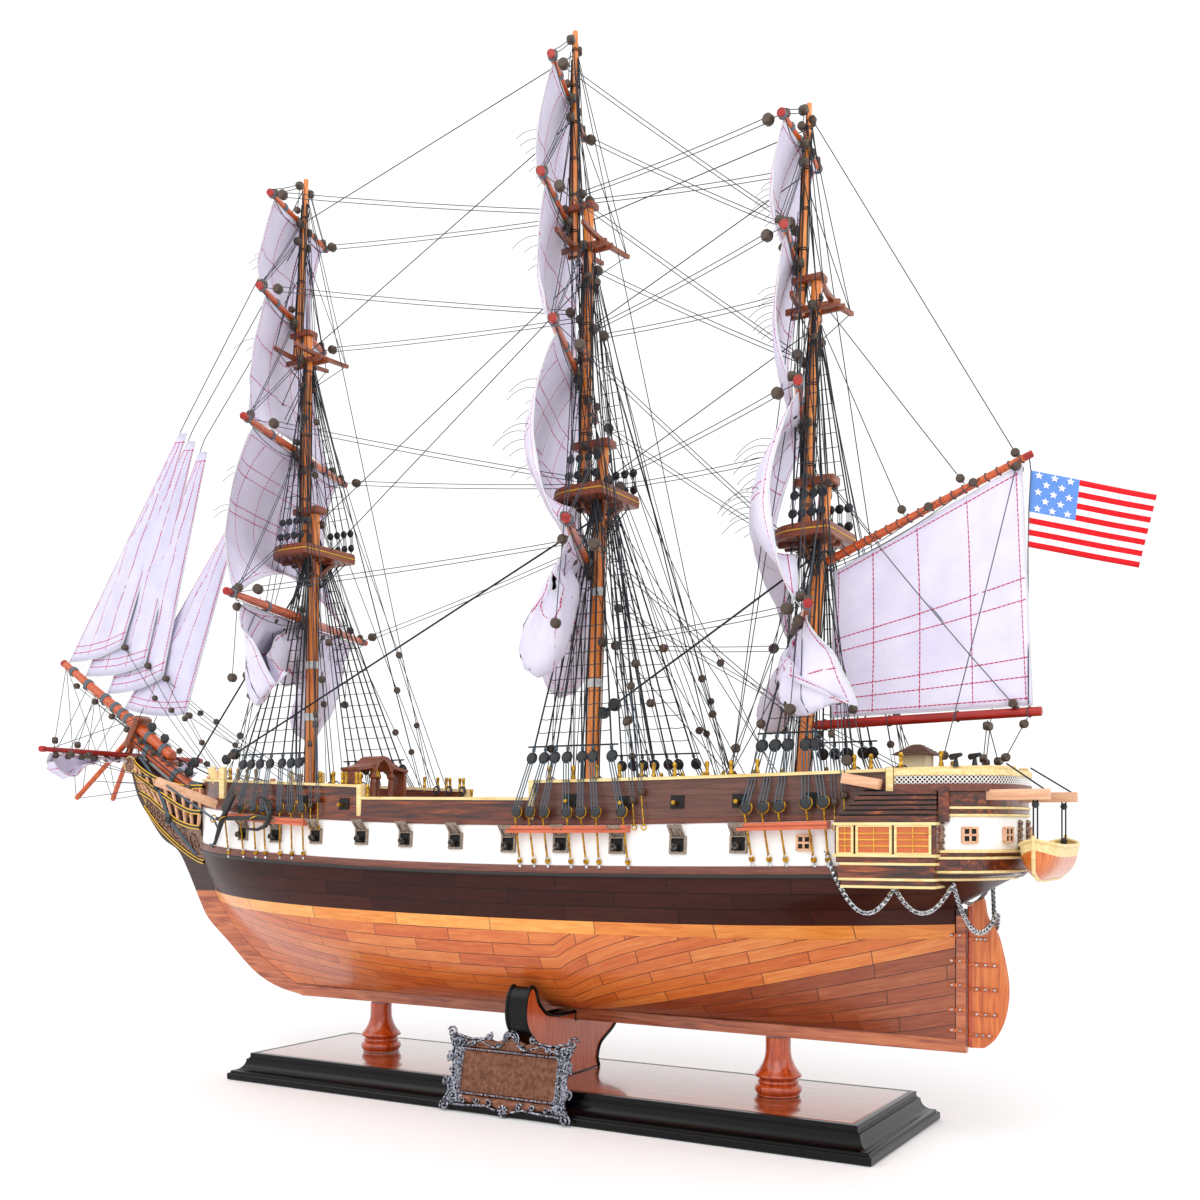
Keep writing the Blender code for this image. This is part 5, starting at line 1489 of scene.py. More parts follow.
class FRIGATE_OT_bulwark(bpy.types.Operator):
    """Make the bulwark, its cream rails and the posts where they step."""

    bl_idname = "frigate.bulwark"
    bl_label = "Bulwark"

    def execute(self, context):
        cap = context.scene.frigate_hull.cap
        bm = bmesh.new()
        port = outline_at(BAND_LEVEL + GAP, 70)
        for place in (FORECASTLE_BREAK, QUARTERDECK_BREAK):
            for x in (place + 0.2, place - 0.2):
                port.append((
                    Vector((x, half_breadth(x, BAND_LEVEL))), Vector((0.0, 1.0))))
        port.sort(key=lambda row: -row[0].x)
        half = []
        for point, outward in port:
            foot = height(point.x, BAND_LEVEL + GAP)
            top = rail_top(point.x)
            top_half = half_breadth(point.x, level_at(point.x, top))
            lean = min(point.y - top_half, point.y * 0.1)
            inner = point - outward * BULWARK_THICKNESS
            inner.y = max(inner.y, 0.6)
            inner_lean = min(lean, inner.y * 0.1)
            half.append([
                (point.x, point.y, foot), (point.x, point.y - lean, top),
                (inner.x, inner.y - inner_lean, top), (inner.x, inner.y, foot)])
        whole = half + [[(x, -y, z) for x, y, z in section] for section in reversed(half)]
        rows = [[bm.verts.new(p) for p in section] for section in whole]
        for k, row in enumerate(rows):
            following = rows[(k + 1) % len(rows)]
            for i in range(4):
                j = (i + 1) % 4
                face = bm.faces.new((row[i], row[j], following[j], following[i]))
                x = face.calc_center_median().x
                face.material_index = 1 if x < QUARTERDECK_BREAK else 0
                if i >= 1:
                    face.material_index = 2
        wall = piece_from("bulwark_wall", bm, ("rosewood", "plain_rosewood", "walnut_strip"))
        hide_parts("bulwark")
        # Cream rail caps on the three heights of rail
        bm = bmesh.new()
        for start, stop in ((283.0, 104.0), (103.9, -16.9), (-17.0, -262.6)):
            for side, _ in SIDES:
                sections = []
                for k in range(61):
                    share = k / 60
                    if start > 200.0:
                        share = 1.0 - math.cos(math.pi / 2 * share)
                    if stop < -200.0:
                        share = math.sin(math.pi / 2 * share)
                    x = start + (stop - start) * share
                    top = rail_top(min(max(x, stop + 0.2), start - 0.2))
                    y = half_breadth(x, level_at(x, top))
                    slope = hull_slope(min(max(x, -262.0), 282.0), top)
                    normal = Vector((-slope.y, slope.x))
                    outer = Vector((x, y)) + normal * 1.0
                    inner = Vector((x, y)) - normal * (BULWARK_THICKNESS + 1.0)
                    inner.y = max(inner.y, 0.2)
                    outer.y = max(outer.y, 0.25)
                    sections.append([
                        (outer.x, side * outer.y, top + 0.1),
                        (outer.x, side * outer.y, top + cap - 0.3),
                        (outer.x - normal.x * 0.4, side * (outer.y - normal.y * 0.4), top + cap),
                        (inner.x, side * inner.y, top + cap),
                        (inner.x, side * inner.y, top + 0.1)])
                add_loft(bm, sections)
        for place in (103.4, -17.6):
            for side, _ in SIDES:
                y = half_breadth(place, 176.0)
                high = rail_top(place + (1.0 if place > 0 else -1.0)) + cap
                add_block(bm, (3.4, 4.6, high - 158.5), (place, side * (y - 1.0),
                          (high + 158.5) / 2 + 0.2), bevel=0.3)
        piece_from("rail_caps", bm, "boxwood", smooth=40.0)
        return {"FINISHED"}


# (x, z) of the middle of each port: the gun ports in the white band, and the small ones above
GUN_PORTS = (
    (200.8, 154.0), (169.5, 152.8), (135.3, 152.3), (99.6, 151.9), (66.9, 150.8), (31.5, 149.9),
    (-4.2, 148.4), (-37.6, 148.6), (-71.7, 148.3), (-106.5, 148.5), (-139.5, 149.2),
)
UPPER_PORTS = (
    (148.0, 173.2), (114.8, 171.4), (-42.0, 171.6), (-74.7, 170.4), (-105.2, 170.3),
    (-139.0, 170.6), (-176.1, 170.8),
)


def side_frame(x, z, side, out=0.0):
    """A frame on the hull's side: X along the planking towards the bow, Y outwards, Z up."""
    ahead = hull_slope(x, z)
    low = hull_side(x, z - 4.0)
    high = hull_side(x, z + 4.0)
    up = (high - low).normalized()
    ahead = Vector((ahead.x, side * ahead.y, 0.0))
    up = Vector((up.x, side * up.y, up.z))
    outward = up.cross(ahead).normalized()
    if outward.y * side < 0.0:
        outward = -outward
    turn = Matrix((ahead, outward, up)).transposed()
    place = hull_side(x, z, side) + outward * out
    return Matrix.Translation(place) @ turn.to_4x4()


def add_framed(bm, place, size, centre, index=0, bevel=0.0, spin=None):
    """A block placed in a frame on the ship's side."""
    turn = place.to_3x3()
    if spin is not None:
        turn = turn @ spin
    add_block(bm, size, place @ Vector(centre), turn=turn, index=index, bevel=bevel)


class FRIGATE_OT_ports(bpy.types.Operator):
    """Make the gun ports with raised lids and muzzles, and the small ports above them."""

    bl_idname = "frigate.ports"
    bl_label = "Gun Ports"

    def execute(self, context):
        frames = bmesh.new()
        voids = bmesh.new()
        guns = bmesh.new()
        small = bmesh.new()
        for x, z in GUN_PORTS:
            for side, _ in SIDES:
                place = side_frame(x, z, side)
                for u, v, w, h in ((0, 4.0, 9.4, 1.3), (0, -4.0, 9.4, 1.3),
                                   (4.1, 0, 1.2, 8.0), (-4.1, 0, 1.2, 8.0)):
                    add_framed(frames, place, (w, 1.7, h), (u, 0.55, v), bevel=0.25)
                # A near-black sheet in the port's opening: painted shade
                add_framed(voids, place, (7.2, 0.5, 7.0), (0, 0.12, 0))
                # The lid stands up and out, held by its hinges, and leans towards the stern
                turn = place.to_3x3() @ Matrix.Rotation(math.radians(-42.0), 3, "X")
                middle = place @ Vector((0.0, 3.6, 7.0))
                add_block(frames, (8.0, 1.0, 7.4), middle, turn=turn, bevel=0.25)
                for u in (-2.4, 2.4):
                    hinge = place @ Vector((u, 1.6, 4.6))
                    tip = place @ Vector((u, 4.9, 8.2))
                    lift = (turn @ Vector((0, 1, 0))) * 0.62
                    add_rod(frames, hinge + lift, tip + lift, (0.45, 0.35), sides=6)
                muzzle = place @ Vector((0.0, -0.2, -1.2))
                out = place.to_3x3() @ Vector((0.0, 1.0, 0.02))
                add_rod(guns, muzzle, muzzle + out * 4.6, (1.55, 1.35), sides=14)
                add_rod(guns, muzzle + out * 4.2, muzzle + out * 5.2, (1.5, 1.9), sides=14)
                add_rod(guns, muzzle + out * 5.2, muzzle + out * 6.0, (1.9, 1.55), sides=14)
                # A dark disc in the muzzle's mouth: painted shade in the bore
                add_rod(voids, muzzle + out * 5.9, muzzle + out * 6.04, (0.85, 0.85), sides=10)
        for x, z in UPPER_PORTS:
            for side, _ in SIDES:
                place = side_frame(x, z, side)
                # A near-black sheet in the small port's opening: painted shade
                add_framed(voids, place, (7.4, 0.9, 6.8), (0, 0.15, 0))
                if x < -170.0:
                    continue
                muzzle = place @ Vector((0.0, -0.2, -0.8))
                out = place.to_3x3() @ Vector((0.0, 1.0, 0.0))
                add_rod(small, muzzle, muzzle + out * 5.0, (1.0, 0.8), sides=10)
                add_rod(small, muzzle + out * 4.6, muzzle + out * 5.6, (1.3, 1.1), sides=10)
        piece_from("port_frames", frames, "browned_casting", smooth=30.0)
        piece_from("port_openings", voids, "dark_void", smooth=None)
        piece_from("gun_muzzles", guns, "gun_metal", smooth=40.0)
        piece_from("small_guns", small, "brass", smooth=40.0)
        return {"FINISHED"}


# Masts and spars

def add_top(bm, x_aft, x_fore, half, z, inlay):
    """A platform with a straight after edge, a rounded front and slanted after corners."""
    straight = x_aft + (x_fore - x_aft) * 0.45
    outline = [(x_aft, -half * 0.95), (x_aft + 1.2, -half), (straight, -half)]
    for k in range(1, 12):
        angle = math.pi * (k / 12.0 - 0.5)
        outline.append((straight + (x_fore - straight) * math.cos(angle), half * math.sin(angle)))
    outline += [(straight, half), (x_aft + 1.2, half), (x_aft, half * 0.95)]
    centre = Vector(((x_aft + x_fore) / 2, 0.0))
    rings = []
    for shrink, dz in ((0.93, -4.4), (0.985, -4.4), (1.0, -3.8), (1.0, 0.9), (0.99, 1.2),
                       (0.99, 2.0), (0.97, 2.3)):
        rings.append([
            (centre.x + (x - centre.x) * shrink, y * shrink, z + dz) for x, y in outline])
    add_loft(bm, rings)
    line = [(Vector((x, y, z - 1.2)) - Vector((centre.x, 0, z - 1.2))) * 1.004
            + Vector((centre.x, 0, z - 1.2)) for x, y in outline]
    inlay.append((line + [line[0]], 1.0))


# Heights of the turns of cord round each lower mast, and the distance between two threads on the
# masts above
BINDING_HEIGHTS = {"fore": (228.0, 262.0), "main": (238.0, 290.0), "mizzen": (226.0, 246.0)}
THREAD_STEP = 21.0


class FRIGATE_OT_masts(bpy.types.Operator):
    """Turn the three masts, with their tops, caps, crosstrees and rope bindings."""

    bl_idname = "frigate.masts"
    bl_label = "Masts"

    def execute(self, context):
        inlay = []
        bindings = []
        threads = []
        for mast, data in MASTS.items():
            for node, stages in (("lower_mast", ("lower",)), ("topmast", ("topmast", "topgallant"))):
                bm = bmesh.new()
                for stage in stages:
                    (x0, _), (x1, z1), (r0, r1) = data[stage]
                    z0 = mast_foot(mast, stage)
                    rings = []
                    for k in range(15):
                        t = k / 14.0
                        radius = r0 + (r1 - r0) * t
                        if stage == "lower" and t > 0.86:
                            radius *= 0.96
                        rings.append(level_ring(
                            x0 + (x1 - x0) * t, 0.0, z0 + (z1 - z0) * t, radius, 20))
                    # The head is closed by a smaller ring, level with the last
                    x = rings[-1][0][0] - r1
                    rings.append([(x + (px - x) * 0.6, py * 0.6, z) for px, py, z in rings[-1]])
                    add_loft(bm, rings)
                piece = piece_from(f"{mast}_{node}_spar", bm, "orange_spar", smooth=40.0)
                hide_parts(f"{mast}_{node}")
            bm = bmesh.new()
            x_aft, x_fore, half, z = data["top"]
            add_top(bm, x_aft, x_fore, half, z, inlay)
            middle = (x_aft + x_fore) / 2
            for y in (-4.6, 4.6):
                add_block(bm, ((x_fore - x_aft) * 0.86, 2.4, 4.2), (middle, y, z - 4.3), bevel=0.4)
            for offset in (-9.0, 6.0):
                add_block(bm, (2.6, half * 1.7, 2.4), (middle + offset, 0, z - 3.3), bevel=0.4)
            # Knees under the platform, down to the mast. The mizzen has none aft, where the gaff
            # swings
            for angle in (0.0, 1.1, -1.1) if mast == "mizzen" else (0.0, 1.1, -1.1, 2.3, -2.3):
                x_mast, radius = mast_at(mast, "lower", z - 14.0)
                out = Vector((math.cos(angle), math.sin(angle), 0.0))
                reach = 11.0 if abs(angle) < 0.5 else 13.0
                start = Vector((x_mast, 0.0, z - 15.0)) + out * radius * 0.8
                add_rod(bm, start, Vector((x_mast, 0, z - 5.0)) + out * reach, (1.2, 1.6), sides=6)
            # The cap round the head of the lower mast and the topmast
            cap_z = data["lower"][1][1] - 3.0
            x0 = mast_at(mast, "lower", cap_z)[0] - 6.0
            x1 = mast_at(mast, "topmast", cap_z)[0] + 6.0
            add_block(bm, (x1 - x0, 11.0, 4.4), ((x0 + x1) / 2, 0.0, cap_z), bevel=0.6)
            # Crosstrees
            cross_z, cross_half = data["cross"]
            x_low = mast_at(mast, "topmast", cross_z)[0]
            x_up = mast_at(mast, "topgallant", cross_z)[0]
            middle = (x_low + x_up) / 2
            for y in (-3.6, 3.6):
                add_block(bm, (30.0, 1.9, 3.4), (middle - 4.0, y, cross_z + 1.0), bevel=0.4)
            for offset in (-14.0, 3.5):
                sections = []
                for k in range(11):
                    share = k / 5.0 - 1.0
                    sweep = middle + offset - 2.6 * share * share
                    y = cross_half * share
                    thin = 1.5 - 0.5 * abs(share)
                    sections.append([
                        (sweep - thin, y, cross_z + 2.3), (sweep + thin, y, cross_z + 2.3),
                        (sweep + thin, y, cross_z + 4.6), (sweep - thin, y, cross_z + 4.6)])
                add_loft(bm, sections)
            # The upper cap
            cap_z = data["topmast"][1][1] - 1.0
            x0 = mast_at(mast, "topmast", cap_z)[0]
            x1 = mast_at(mast, "topgallant", cap_z)[0]
            add_block(bm, (x1 - x0 + 9.0, 8.4, 3.4), ((x0 + x1) / 2, 0, cap_z), bevel=0.5)
            piece_from(f"{mast}_tops", bm, "top_mahogany", smooth=30.0)
            for z_low in BINDING_HEIGHTS[mast]:
                for turn in range(5):
                    z_ring = z_low + turn * 0.95
                    x, radius = mast_at(mast, "lower", z_ring)
                    bindings.append(ring_line(Vector((x, 0, z_ring)), radius + 0.35, (0, 0, 1)))
            # Two turns of thin thread at even distances up the upper masts
            for stage in ("topmast", "topgallant"):
                z_ring = mast_foot(mast, stage) + 12.0
                while z_ring < data[stage][1][1] - 8.0:
                    for turn in (0.0, 1.1):
                        x, radius = mast_at(mast, stage, z_ring + turn)
                        threads.append(ring_line(
                            Vector((x, 0, z_ring + turn)), radius + 0.2, (0, 0, 1)))
                    z_ring += THREAD_STEP
        cords("top_inlay", inlay, 0.34, "yellow_line", sides=5)
        cords("mast_threads", threads, 0.3, "standing_cord", sides=4)
        cords("mast_bindings", bindings, 0.55, "white_binding", sides=6)
        return {"FINISHED"}


# From this share of a yard's half length on, its arm is thicker and red
YARD_ARM = 0.952
YARD_END_RADIUS = 1.8


def yard_size(share, radius, end_radius):
    """A yard's radius at a share of its half length, thickest at its middle."""
    return end_radius + (radius - end_radius) * (1.0 - abs(share) ** 1.7)


def add_yard(bm, middle, along, half, radius, end_radius, red):
    """A spar with a red end on each arm, or red all over."""
    rings = []
    side = Vector((along.y, -along.x, 0.0)).normalized()
    up = side.cross(along).normalized()
    shares = [-1.0, -0.999, -0.955, -0.95, -0.8, -0.55, -0.3, -0.1, 0.1, 0.3, 0.55, 0.8, 0.95,
              0.955, 0.999, 1.0]
    sizes = []
    for share in shares:
        size = yard_size(share, radius, end_radius)
        if abs(share) > YARD_ARM:
            size = end_radius * 1.28
        if abs(share) > 0.9995:
            size *= 0.7
        sizes.append(size)
    for share, size in zip(shares, sizes):
        rings.append(circle(middle + along * half * share, side, up, size, 16))
    add_loft(bm, rings)
    for face in bm.faces:
        share = abs((face.calc_center_median() - middle).dot(along)) / half
        face.material_index = 1 if share > YARD_ARM or red else 0


class FRIGATE_OT_yards(bpy.types.Operator):
    """Shape the yards, with their footropes and the cords wound round them."""

    bl_idname = "frigate.yards"
    bl_label = "Yards"

    def execute(self, context):
        wraps = []
        footropes = []
        for name, (_, _, _, half, _) in YARDS.items():
            middle, along, ahead = yard_line(name)
            radius = yard_radius(half)
            bm = bmesh.new()
            add_yard(bm, middle, along, half, radius, YARD_END_RADIUS, False)
            piece = piece_from(f"{name}_spar", bm, ("orange_yard", "red_varnish"), smooth=40.0)
            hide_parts(name)
            for share in (-0.93, -0.52, -0.08, 0.08, 0.52, 0.93):
                size = yard_size(share, radius, YARD_END_RADIUS) + 0.35
                for turn in range(3):
                    centre = middle + along * (half * share + (turn - 1) * 0.85)
                    wraps.append(ring_line(centre, size, along, count=12))
            for side in (-1, 1):
                points = []
                for k in range(13):
                    share = 0.06 + 0.86 * k / 12
                    drop = 6.5 * math.sin(math.pi * (k / 12.0)) ** 0.6 + radius
                    points.append(middle + along * half * share * side
                                  - ahead * 1.6 - Vector((0, 0, drop)))
                footropes.append(points)
        cords("yard_strops", wraps, 0.45, "grey_binding", sides=5)
        cords("footropes", footropes, 0.28, "running_cord", sides=5)
        # The spritsail yard, set under the bowsprit, and its sling
        bm = bmesh.new()
        add_yard(bm, SPRITSAIL_MIDDLE, SPRITSAIL_ALONG, SPRITSAIL_HALF, 2.0, 1.6, True)
        piece = piece_from("spritsail_spar", bm, ("orange_yard", "red_varnish"), smooth=40.0)
        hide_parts("spritsail_yard")
        over = [Vector((366.6, y, 217.0 - abs(y) * 1.2)) for y in (-1.8, 0.0, 1.8)]
        sling = [SPRITSAIL_MIDDLE + Vector((0, -2.3, 0)), *over,
                 SPRITSAIL_MIDDLE + Vector((0, 2.3, 0))]
        cords("spritsail_sling", [sling], 0.6, "standing_cord")
        return {"FINISHED"}


class FRIGATE_OT_bowsprit(bpy.types.Operator):
    """Shape the bowsprit, its cap, the jib-boom and the two martingale sticks."""

    bl_idname = "frigate.bowsprit"
    bl_label = "Bowsprit"

    def execute(self, context):
        bm = bmesh.new()
        # (distance from the foot, radius)
        steps = ((0.0, 5.0), (30.0, 4.95), (60.0, 4.8), (90.0, 4.5), (108.0, 4.2), (110.0, 4.1))
        for (d0, r0), (d1, r1) in zip(steps, steps[1:]):
            add_rod(bm, bowsprit_point(d0), bowsprit_point(d1 + 0.05), (r0, r1), sides=24)
        piece = piece_from("bowsprit_spar", bm, "orange_yard", smooth=40.0)
        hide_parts("bowsprit")
        bm = bmesh.new()
        turn = Matrix.Rotation(-BOWSPRIT_SLOPE, 3, "Y")
        add_block(bm, (5.4, 12.4, 25.0), bowsprit_point(106.5, 5.4), turn=turn, bevel=0.9)
        for distance in (64.0, 71.0, 96.0):
            add_block(bm, (3.0, 9.6, 4.4), bowsprit_point(distance, 4.6), turn=turn, bevel=0.6)
        piece_from("bowsprit_cap", bm, "top_mahogany", smooth=30.0)
        bm = bmesh.new()
        spread = ((0.0, 3.5), (1.2, 4.15), (30.0, 4.2), (60.0, 3.9), (100.0, 3.3), (136.5, 2.7),
                  (137.5, 2.9), (JIB_LENGTH - 0.3, 2.8), (JIB_LENGTH, 2.4))
        for (d0, r0), (d1, r1) in zip(spread, spread[1:]):
            start = bowsprit_point(JIB_HEEL + d0, JIB_OFFSET)
            end = bowsprit_point(JIB_HEEL + d1, JIB_OFFSET)
            add_rod(bm, start, end, (r0, r1), sides=20, index=1 if d0 > 136.0 else 0)
        piece = piece_from("jib_boom_spar", bm, ("orange_yard", "red_varnish"), smooth=40.0)
        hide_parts("jib_boom")
        bm = bmesh.new()
        for side, _ in SIDES:
            head, tip = martingale(side)
            add_rod(bm, head, head.lerp(tip, 0.93), (1.8, 1.8), sides=12)
            add_rod(bm, head.lerp(tip, 0.93), tip, (2.0, 1.7), sides=12)
        piece_from("martingale_sticks", bm, "orange_yard", smooth=40.0)
        # Turns of cord round both
        bands = []
        axis = bowsprit_point(1.0) - bowsprit_point(0.0)
        for distance in (8.0, 26.0, 52.0, 60.0, 69.0, 82.0, 104.0, 124.0):
            radius = 4.2 - 1.5 * distance / JIB_LENGTH
            for turn_number in range(4):
                centre = bowsprit_point(JIB_HEEL + distance + turn_number * 0.9, JIB_OFFSET)
                bands.append(ring_line(centre, radius + 0.4, axis))
        for distance in (34.0, 52.0, 86.0):
            for turn_number in range(5):
                centre = bowsprit_point(distance + turn_number * 0.9)
                bands.append(ring_line(centre, 5.3, axis))
        cords("boom_bindings", bands, 0.5, "grey_binding", sides=6)
        return {"FINISHED"}


# Foot, tip and the radii there
BOOM = (Vector((-166.0, 0.0, 210.7)), Vector((-272.7, 0.0, 212.8)), (2.5, 2.3))
GAFF = (Vector((-164.7, 0.0, 294.9)), Vector((-268.5, 0.0, 336.3)), (2.3, 1.8))


class FRIGATE_OT_spanker_spars(bpy.types.Operator):
    """Shape the boom and the gaff, with the cords that bind the sail."""

    bl_idname = "frigate.spanker_spars"
    bl_label = "Boom and Gaff"

    def execute(self, context):
        for node, (foot, tip, radii), finishes in (
                ("boom", BOOM, ("red_varnish", "red_varnish")),
                ("gaff", GAFF, ("orange_yard", "red_varnish"))):
            # The spar starts where the frame has the fore end of its jaws
            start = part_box(node)[1][0] / MM
            axis = (tip - foot).normalized()
            heel = foot + axis * ((start - foot.x) / axis.x)
            side = Vector((0.0, 1.0, 0.0))
            up = axis.cross(side)
            bm = bmesh.new()
            rings = []
            length = (tip - heel).length
            for share in (0.0, 0.02, 0.25, 0.5, 0.75, 0.955, 0.96, 0.998, 1.0):
                radius = radii[0] + (radii[1] - radii[0]) * share
                radius *= 0.8 if share in (0.0, 1.0) else 1.0
                rings.append(circle(heel + axis * length * share, side, up, radius, 18))
            add_loft(bm, rings)
            for face in bm.faces:
                share = (face.calc_center_median() - heel).dot(axis) / length
                face.material_index = 1 if share > 0.958 else 0
            piece = piece_from(f"{node}_spar", bm, finishes, "spanker_gear", smooth=40.0)
            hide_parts(node)
            # The gaff is laced to the sail all along, the boom tied only near its ends
            count = 18 if node == "gaff" else 4
            turns = []
            for k in range(count):
                share = 0.05 + 0.9 * k / (count - 1)
                centre = heel + axis * length * share
                radius = radii[0] + (radii[1] - radii[0]) * share + 0.35
                turns.append(ring_line(centre, radius, axis + Vector((0, 0.25, 0)), count=12))
            cords(f"{node}_robands", turns, 0.28, "running_cord", "spanker_gear", sides=5)
        return {"FINISHED"}


# Sails

def add_grid(bm, rows):
    """Vertices at rows of points, with the faces between them."""
    grid = [[bm.verts.new(point) for point in row] for row in rows]
    for row, following in zip(grid, grid[1:]):
        for j in range(len(row) - 1):
            bm.faces.new((row[j], row[j + 1], following[j + 1], following[j]))
    return grid


def area_of(bm):
    """The area of a bmesh's faces, in square metres."""
    return sum(face.calc_area() for face in bm.faces) * MM * MM


def thicken(piece, thickness):
    """Gives a smooth sheet its thickness, half to each side, in millimetres."""
    solid = piece.modifiers.new("cloth", "SOLIDIFY")
    solid.thickness = thickness * MM
    solid.offset = 0.0


def set_cut(bm, grid, sizes):
    """Gives a grid of vertices a UV map in metres on the flat cloth."""
    layer = bm.loops.layers.uv.new("cut")
    places = {}
    for i, row in enumerate(grid):
        for j, vert in enumerate(row):
            places[vert] = (sizes[0] * j / (len(row) - 1), sizes[1] * i / (len(grid) - 1))
    for face in bm.faces:
        for loop in face.loops:
            loop[layer].uv = places[loop.vert]


def rippled(rows, amount, fold, seed, fixed=(True, True), taut_sides=False):
    """Pushes the cloth in and out in soft folds that run down it, and keeps its held edges.

    `fold` is the distance between two folds in millimetres.
    """
    made = []
    last = len(rows) - 1
    for i, row in enumerate(rows):
        line = []
        t = i / last
        hold = 1.0
        if fixed[0]:
            hold *= min(1.0, 4.0 * t)
        if fixed[1]:
            hold *= min(1.0, 4.0 * (1.0 - t))
        for j, point in enumerate(row):
            right = row[min(j + 1, len(row) - 1)] - row[max(j - 1, 0)]
            down = rows[min(i + 1, last)][j] - rows[max(i - 1, 0)][j]
            normal = right.cross(down).normalized()
            u = (point - row[0]).length / fold
            v = (point - rows[0][j]).length / (fold * 3.2)
            push = noise.noise(Vector((u, v, seed))) * 1.3
            push += 0.45 * noise.noise(Vector((2.3 * u, 2.1 * v, seed + 9.0)))
            if taut_sides:
                push *= min(1.0, 5.0 * min(j, len(row) - 1 - j) / len(row))
            line.append(point + normal * push * amount * (0.25 + 0.75 * hold))
        made.append(line)
    return made


def between(rows, t, u):
    """A point on a grid of rows: `t` from the first row to the last, `u` along the row."""
    a = t * (len(rows) - 1)
    b = u * (len(rows[0]) - 1)
    i = min(int(a), len(rows) - 2)
    j = min(int(b), len(rows[0]) - 2)
    fa, fb = a - i, b - j
    upper = rows[i][j].lerp(rows[i][j + 1], fb)
    lower = rows[i + 1][j].lerp(rows[i + 1][j + 1], fb)
    return upper.lerp(lower, fa)


def grid_line(rows, start, end, count=24):
    """A line across a grid between two (t, u) places."""
    line = []
    for k in range(count + 1):
        share = k / count
        t = start[0] + (end[0] - start[0]) * share
        u = start[1] + (end[1] - start[1]) * share
        line.append(between(rows, t, u))
    return line


def border_lines(rows, edge):
    """The four lines along a grid's edges, drawn in by a share of its size."""
    near, far = edge, 1 - edge
    ends = (((near, near), (near, far)), ((far, near), (far, far)),
            ((near, near), (far, near)), ((near, far), (far, far)))
    return [grid_line(rows, start, end) for start, end in ends]


def sew(name, rows, node, body, seams=(), edge=0.03, cloth="sail_cotton"):
    """Makes a sail from rows of points, with stitched seams and edges."""
    bm = bmesh.new()
    grid = add_grid(bm, rows)
    area = area_of(bm)
    width = max(sum((a - b).length for a, b in zip(row, row[1:])) for row in rows) * MM
    length = max(
        sum((rows[i + 1][j] - rows[i][j]).length for i in range(len(rows) - 1))
        for j in range(len(rows[0]))) * MM
    set_cut(bm, grid, (width, length))
    piece = piece_from(name, bm, cloth, body, smooth=None, recalc=False)
    piece.data.shade_smooth()
    thicken(piece, bpy.context.scene.frigate_sails.thickness)
    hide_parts(node)
    lines = [grid_line(rows, start, end) for start, end in seams] + border_lines(rows, edge)
    sewn = stitches(f"{name}_stitches", lines, body)
    hem = cords(f"{name}_boltrope", border_lines(rows, 0), 0.34, "white_binding", body, sides=5)
    return piece


def square_rows(head, foot, belly, arch, head_clear, foot_clear, widths, size=(26, 26)):
    """Rows of a square sail between two yards, from its head to its foot."""
    head_middle, head_along, head_ahead = yard_line(head)
    foot_middle, foot_along, foot_ahead = yard_line(foot)
    top = head_middle + head_ahead * head_clear[0] + Vector((0, 0, head_clear[1]))
    bottom = foot_middle + foot_ahead * foot_clear[0] + Vector((0, 0, foot_clear[1]))
    rows = []
    for i in range(size[0] + 1):
        share = i / size[0]
        middle = top.lerp(bottom, share)
        along = head_along.lerp(foot_along, share).normalized()
        ahead = head_ahead.lerp(foot_ahead, share).normalized()
        half = widths[0] + (widths[1] - widths[0]) * share
        row = []
        for j in range(size[1] + 1):
            across = 2.0 * j / size[1] - 1.0
            # The leeches are cut hollow, so the middle of each side draws in
            hollow = 1.0 - 0.05 * math.sin(math.pi * share) * abs(across)
            push = belly * math.sin(math.pi * share) ** 0.7 * (1.0 - 0.45 * across ** 4)
            lift = arch * share ** 3 * (1.0 - across ** 2)
            row.append(middle + along * half * across * hollow + ahead * push
                       + Vector((0, 0, lift)))
        rows.append(row)
    return rows


def hang_clear(name):
    """How far a sail's head hangs ahead of its yard's axis and above it."""
    return (0.0, -yard_radius(YARDS[name][3]) - GAP - 0.4)


def pass_clear(name, above):
    """How far a sail's foot passes ahead of the next yard's axis and above it."""
    return (yard_radius(YARDS[name][3]) + GAP + 0.8, above)


def square_seams(width, height_rows, spacing):
    """Vertical seams at about one spacing, and the level rows given."""
    number = max(2, round(width / spacing))
    seams = [((0.03, k / number), (0.97, k / number)) for k in range(1, number)]
    seams += [((t, 0.03), (t, 0.97)) for t in height_rows]
    return seams


# Each mast's course yard, and how far the foot of its topsail is cut up in an arch
COURSE_YARDS = {"fore": "fore_course_yard", "main": "main_course_yard", "mizzen": "crossjack_yard"}
TOPSAIL_ARCHES = {"fore": 26.0, "main": 26.0, "mizzen": 36.0}
# A sail's half width as a share of a yard's half length: where the sail hangs from the yard, and
# where a foot passes it or a course is gathered up to it
HEAD_SHARE = 0.84
FOOT_SHARE = 0.80


def reef_threads(rows, levels, ahead, length, seed):
    """Loose threads from a sail's fore side, each falling in its own curl."""
    lines = []
    for level in levels:
        for k in range(9):
            u = 0.08 + 0.84 * k / 8
            start = between(rows, level, u)
            turn = math.sin(12.9898 * (k + 1) + 78.233 * (level + seed)) * 43758.5453
            luck = turn - math.floor(turn)
            reach = length * (0.55 + 0.6 * luck)
            aside = Vector((-ahead.y, ahead.x, 0.0)) * (luck - 0.5) * 8.0
            line = []
            for step in range(8):
                t = step / 7.0
                fall = reach * (0.3 * luck * t - (0.15 + 0.6 * luck) * t * t)
                line.append(start + ahead * reach * (t - 0.1 * t * t)
                            + aside * t * t + Vector((0, 0, fall)))
            lines.append(line)
    return lines


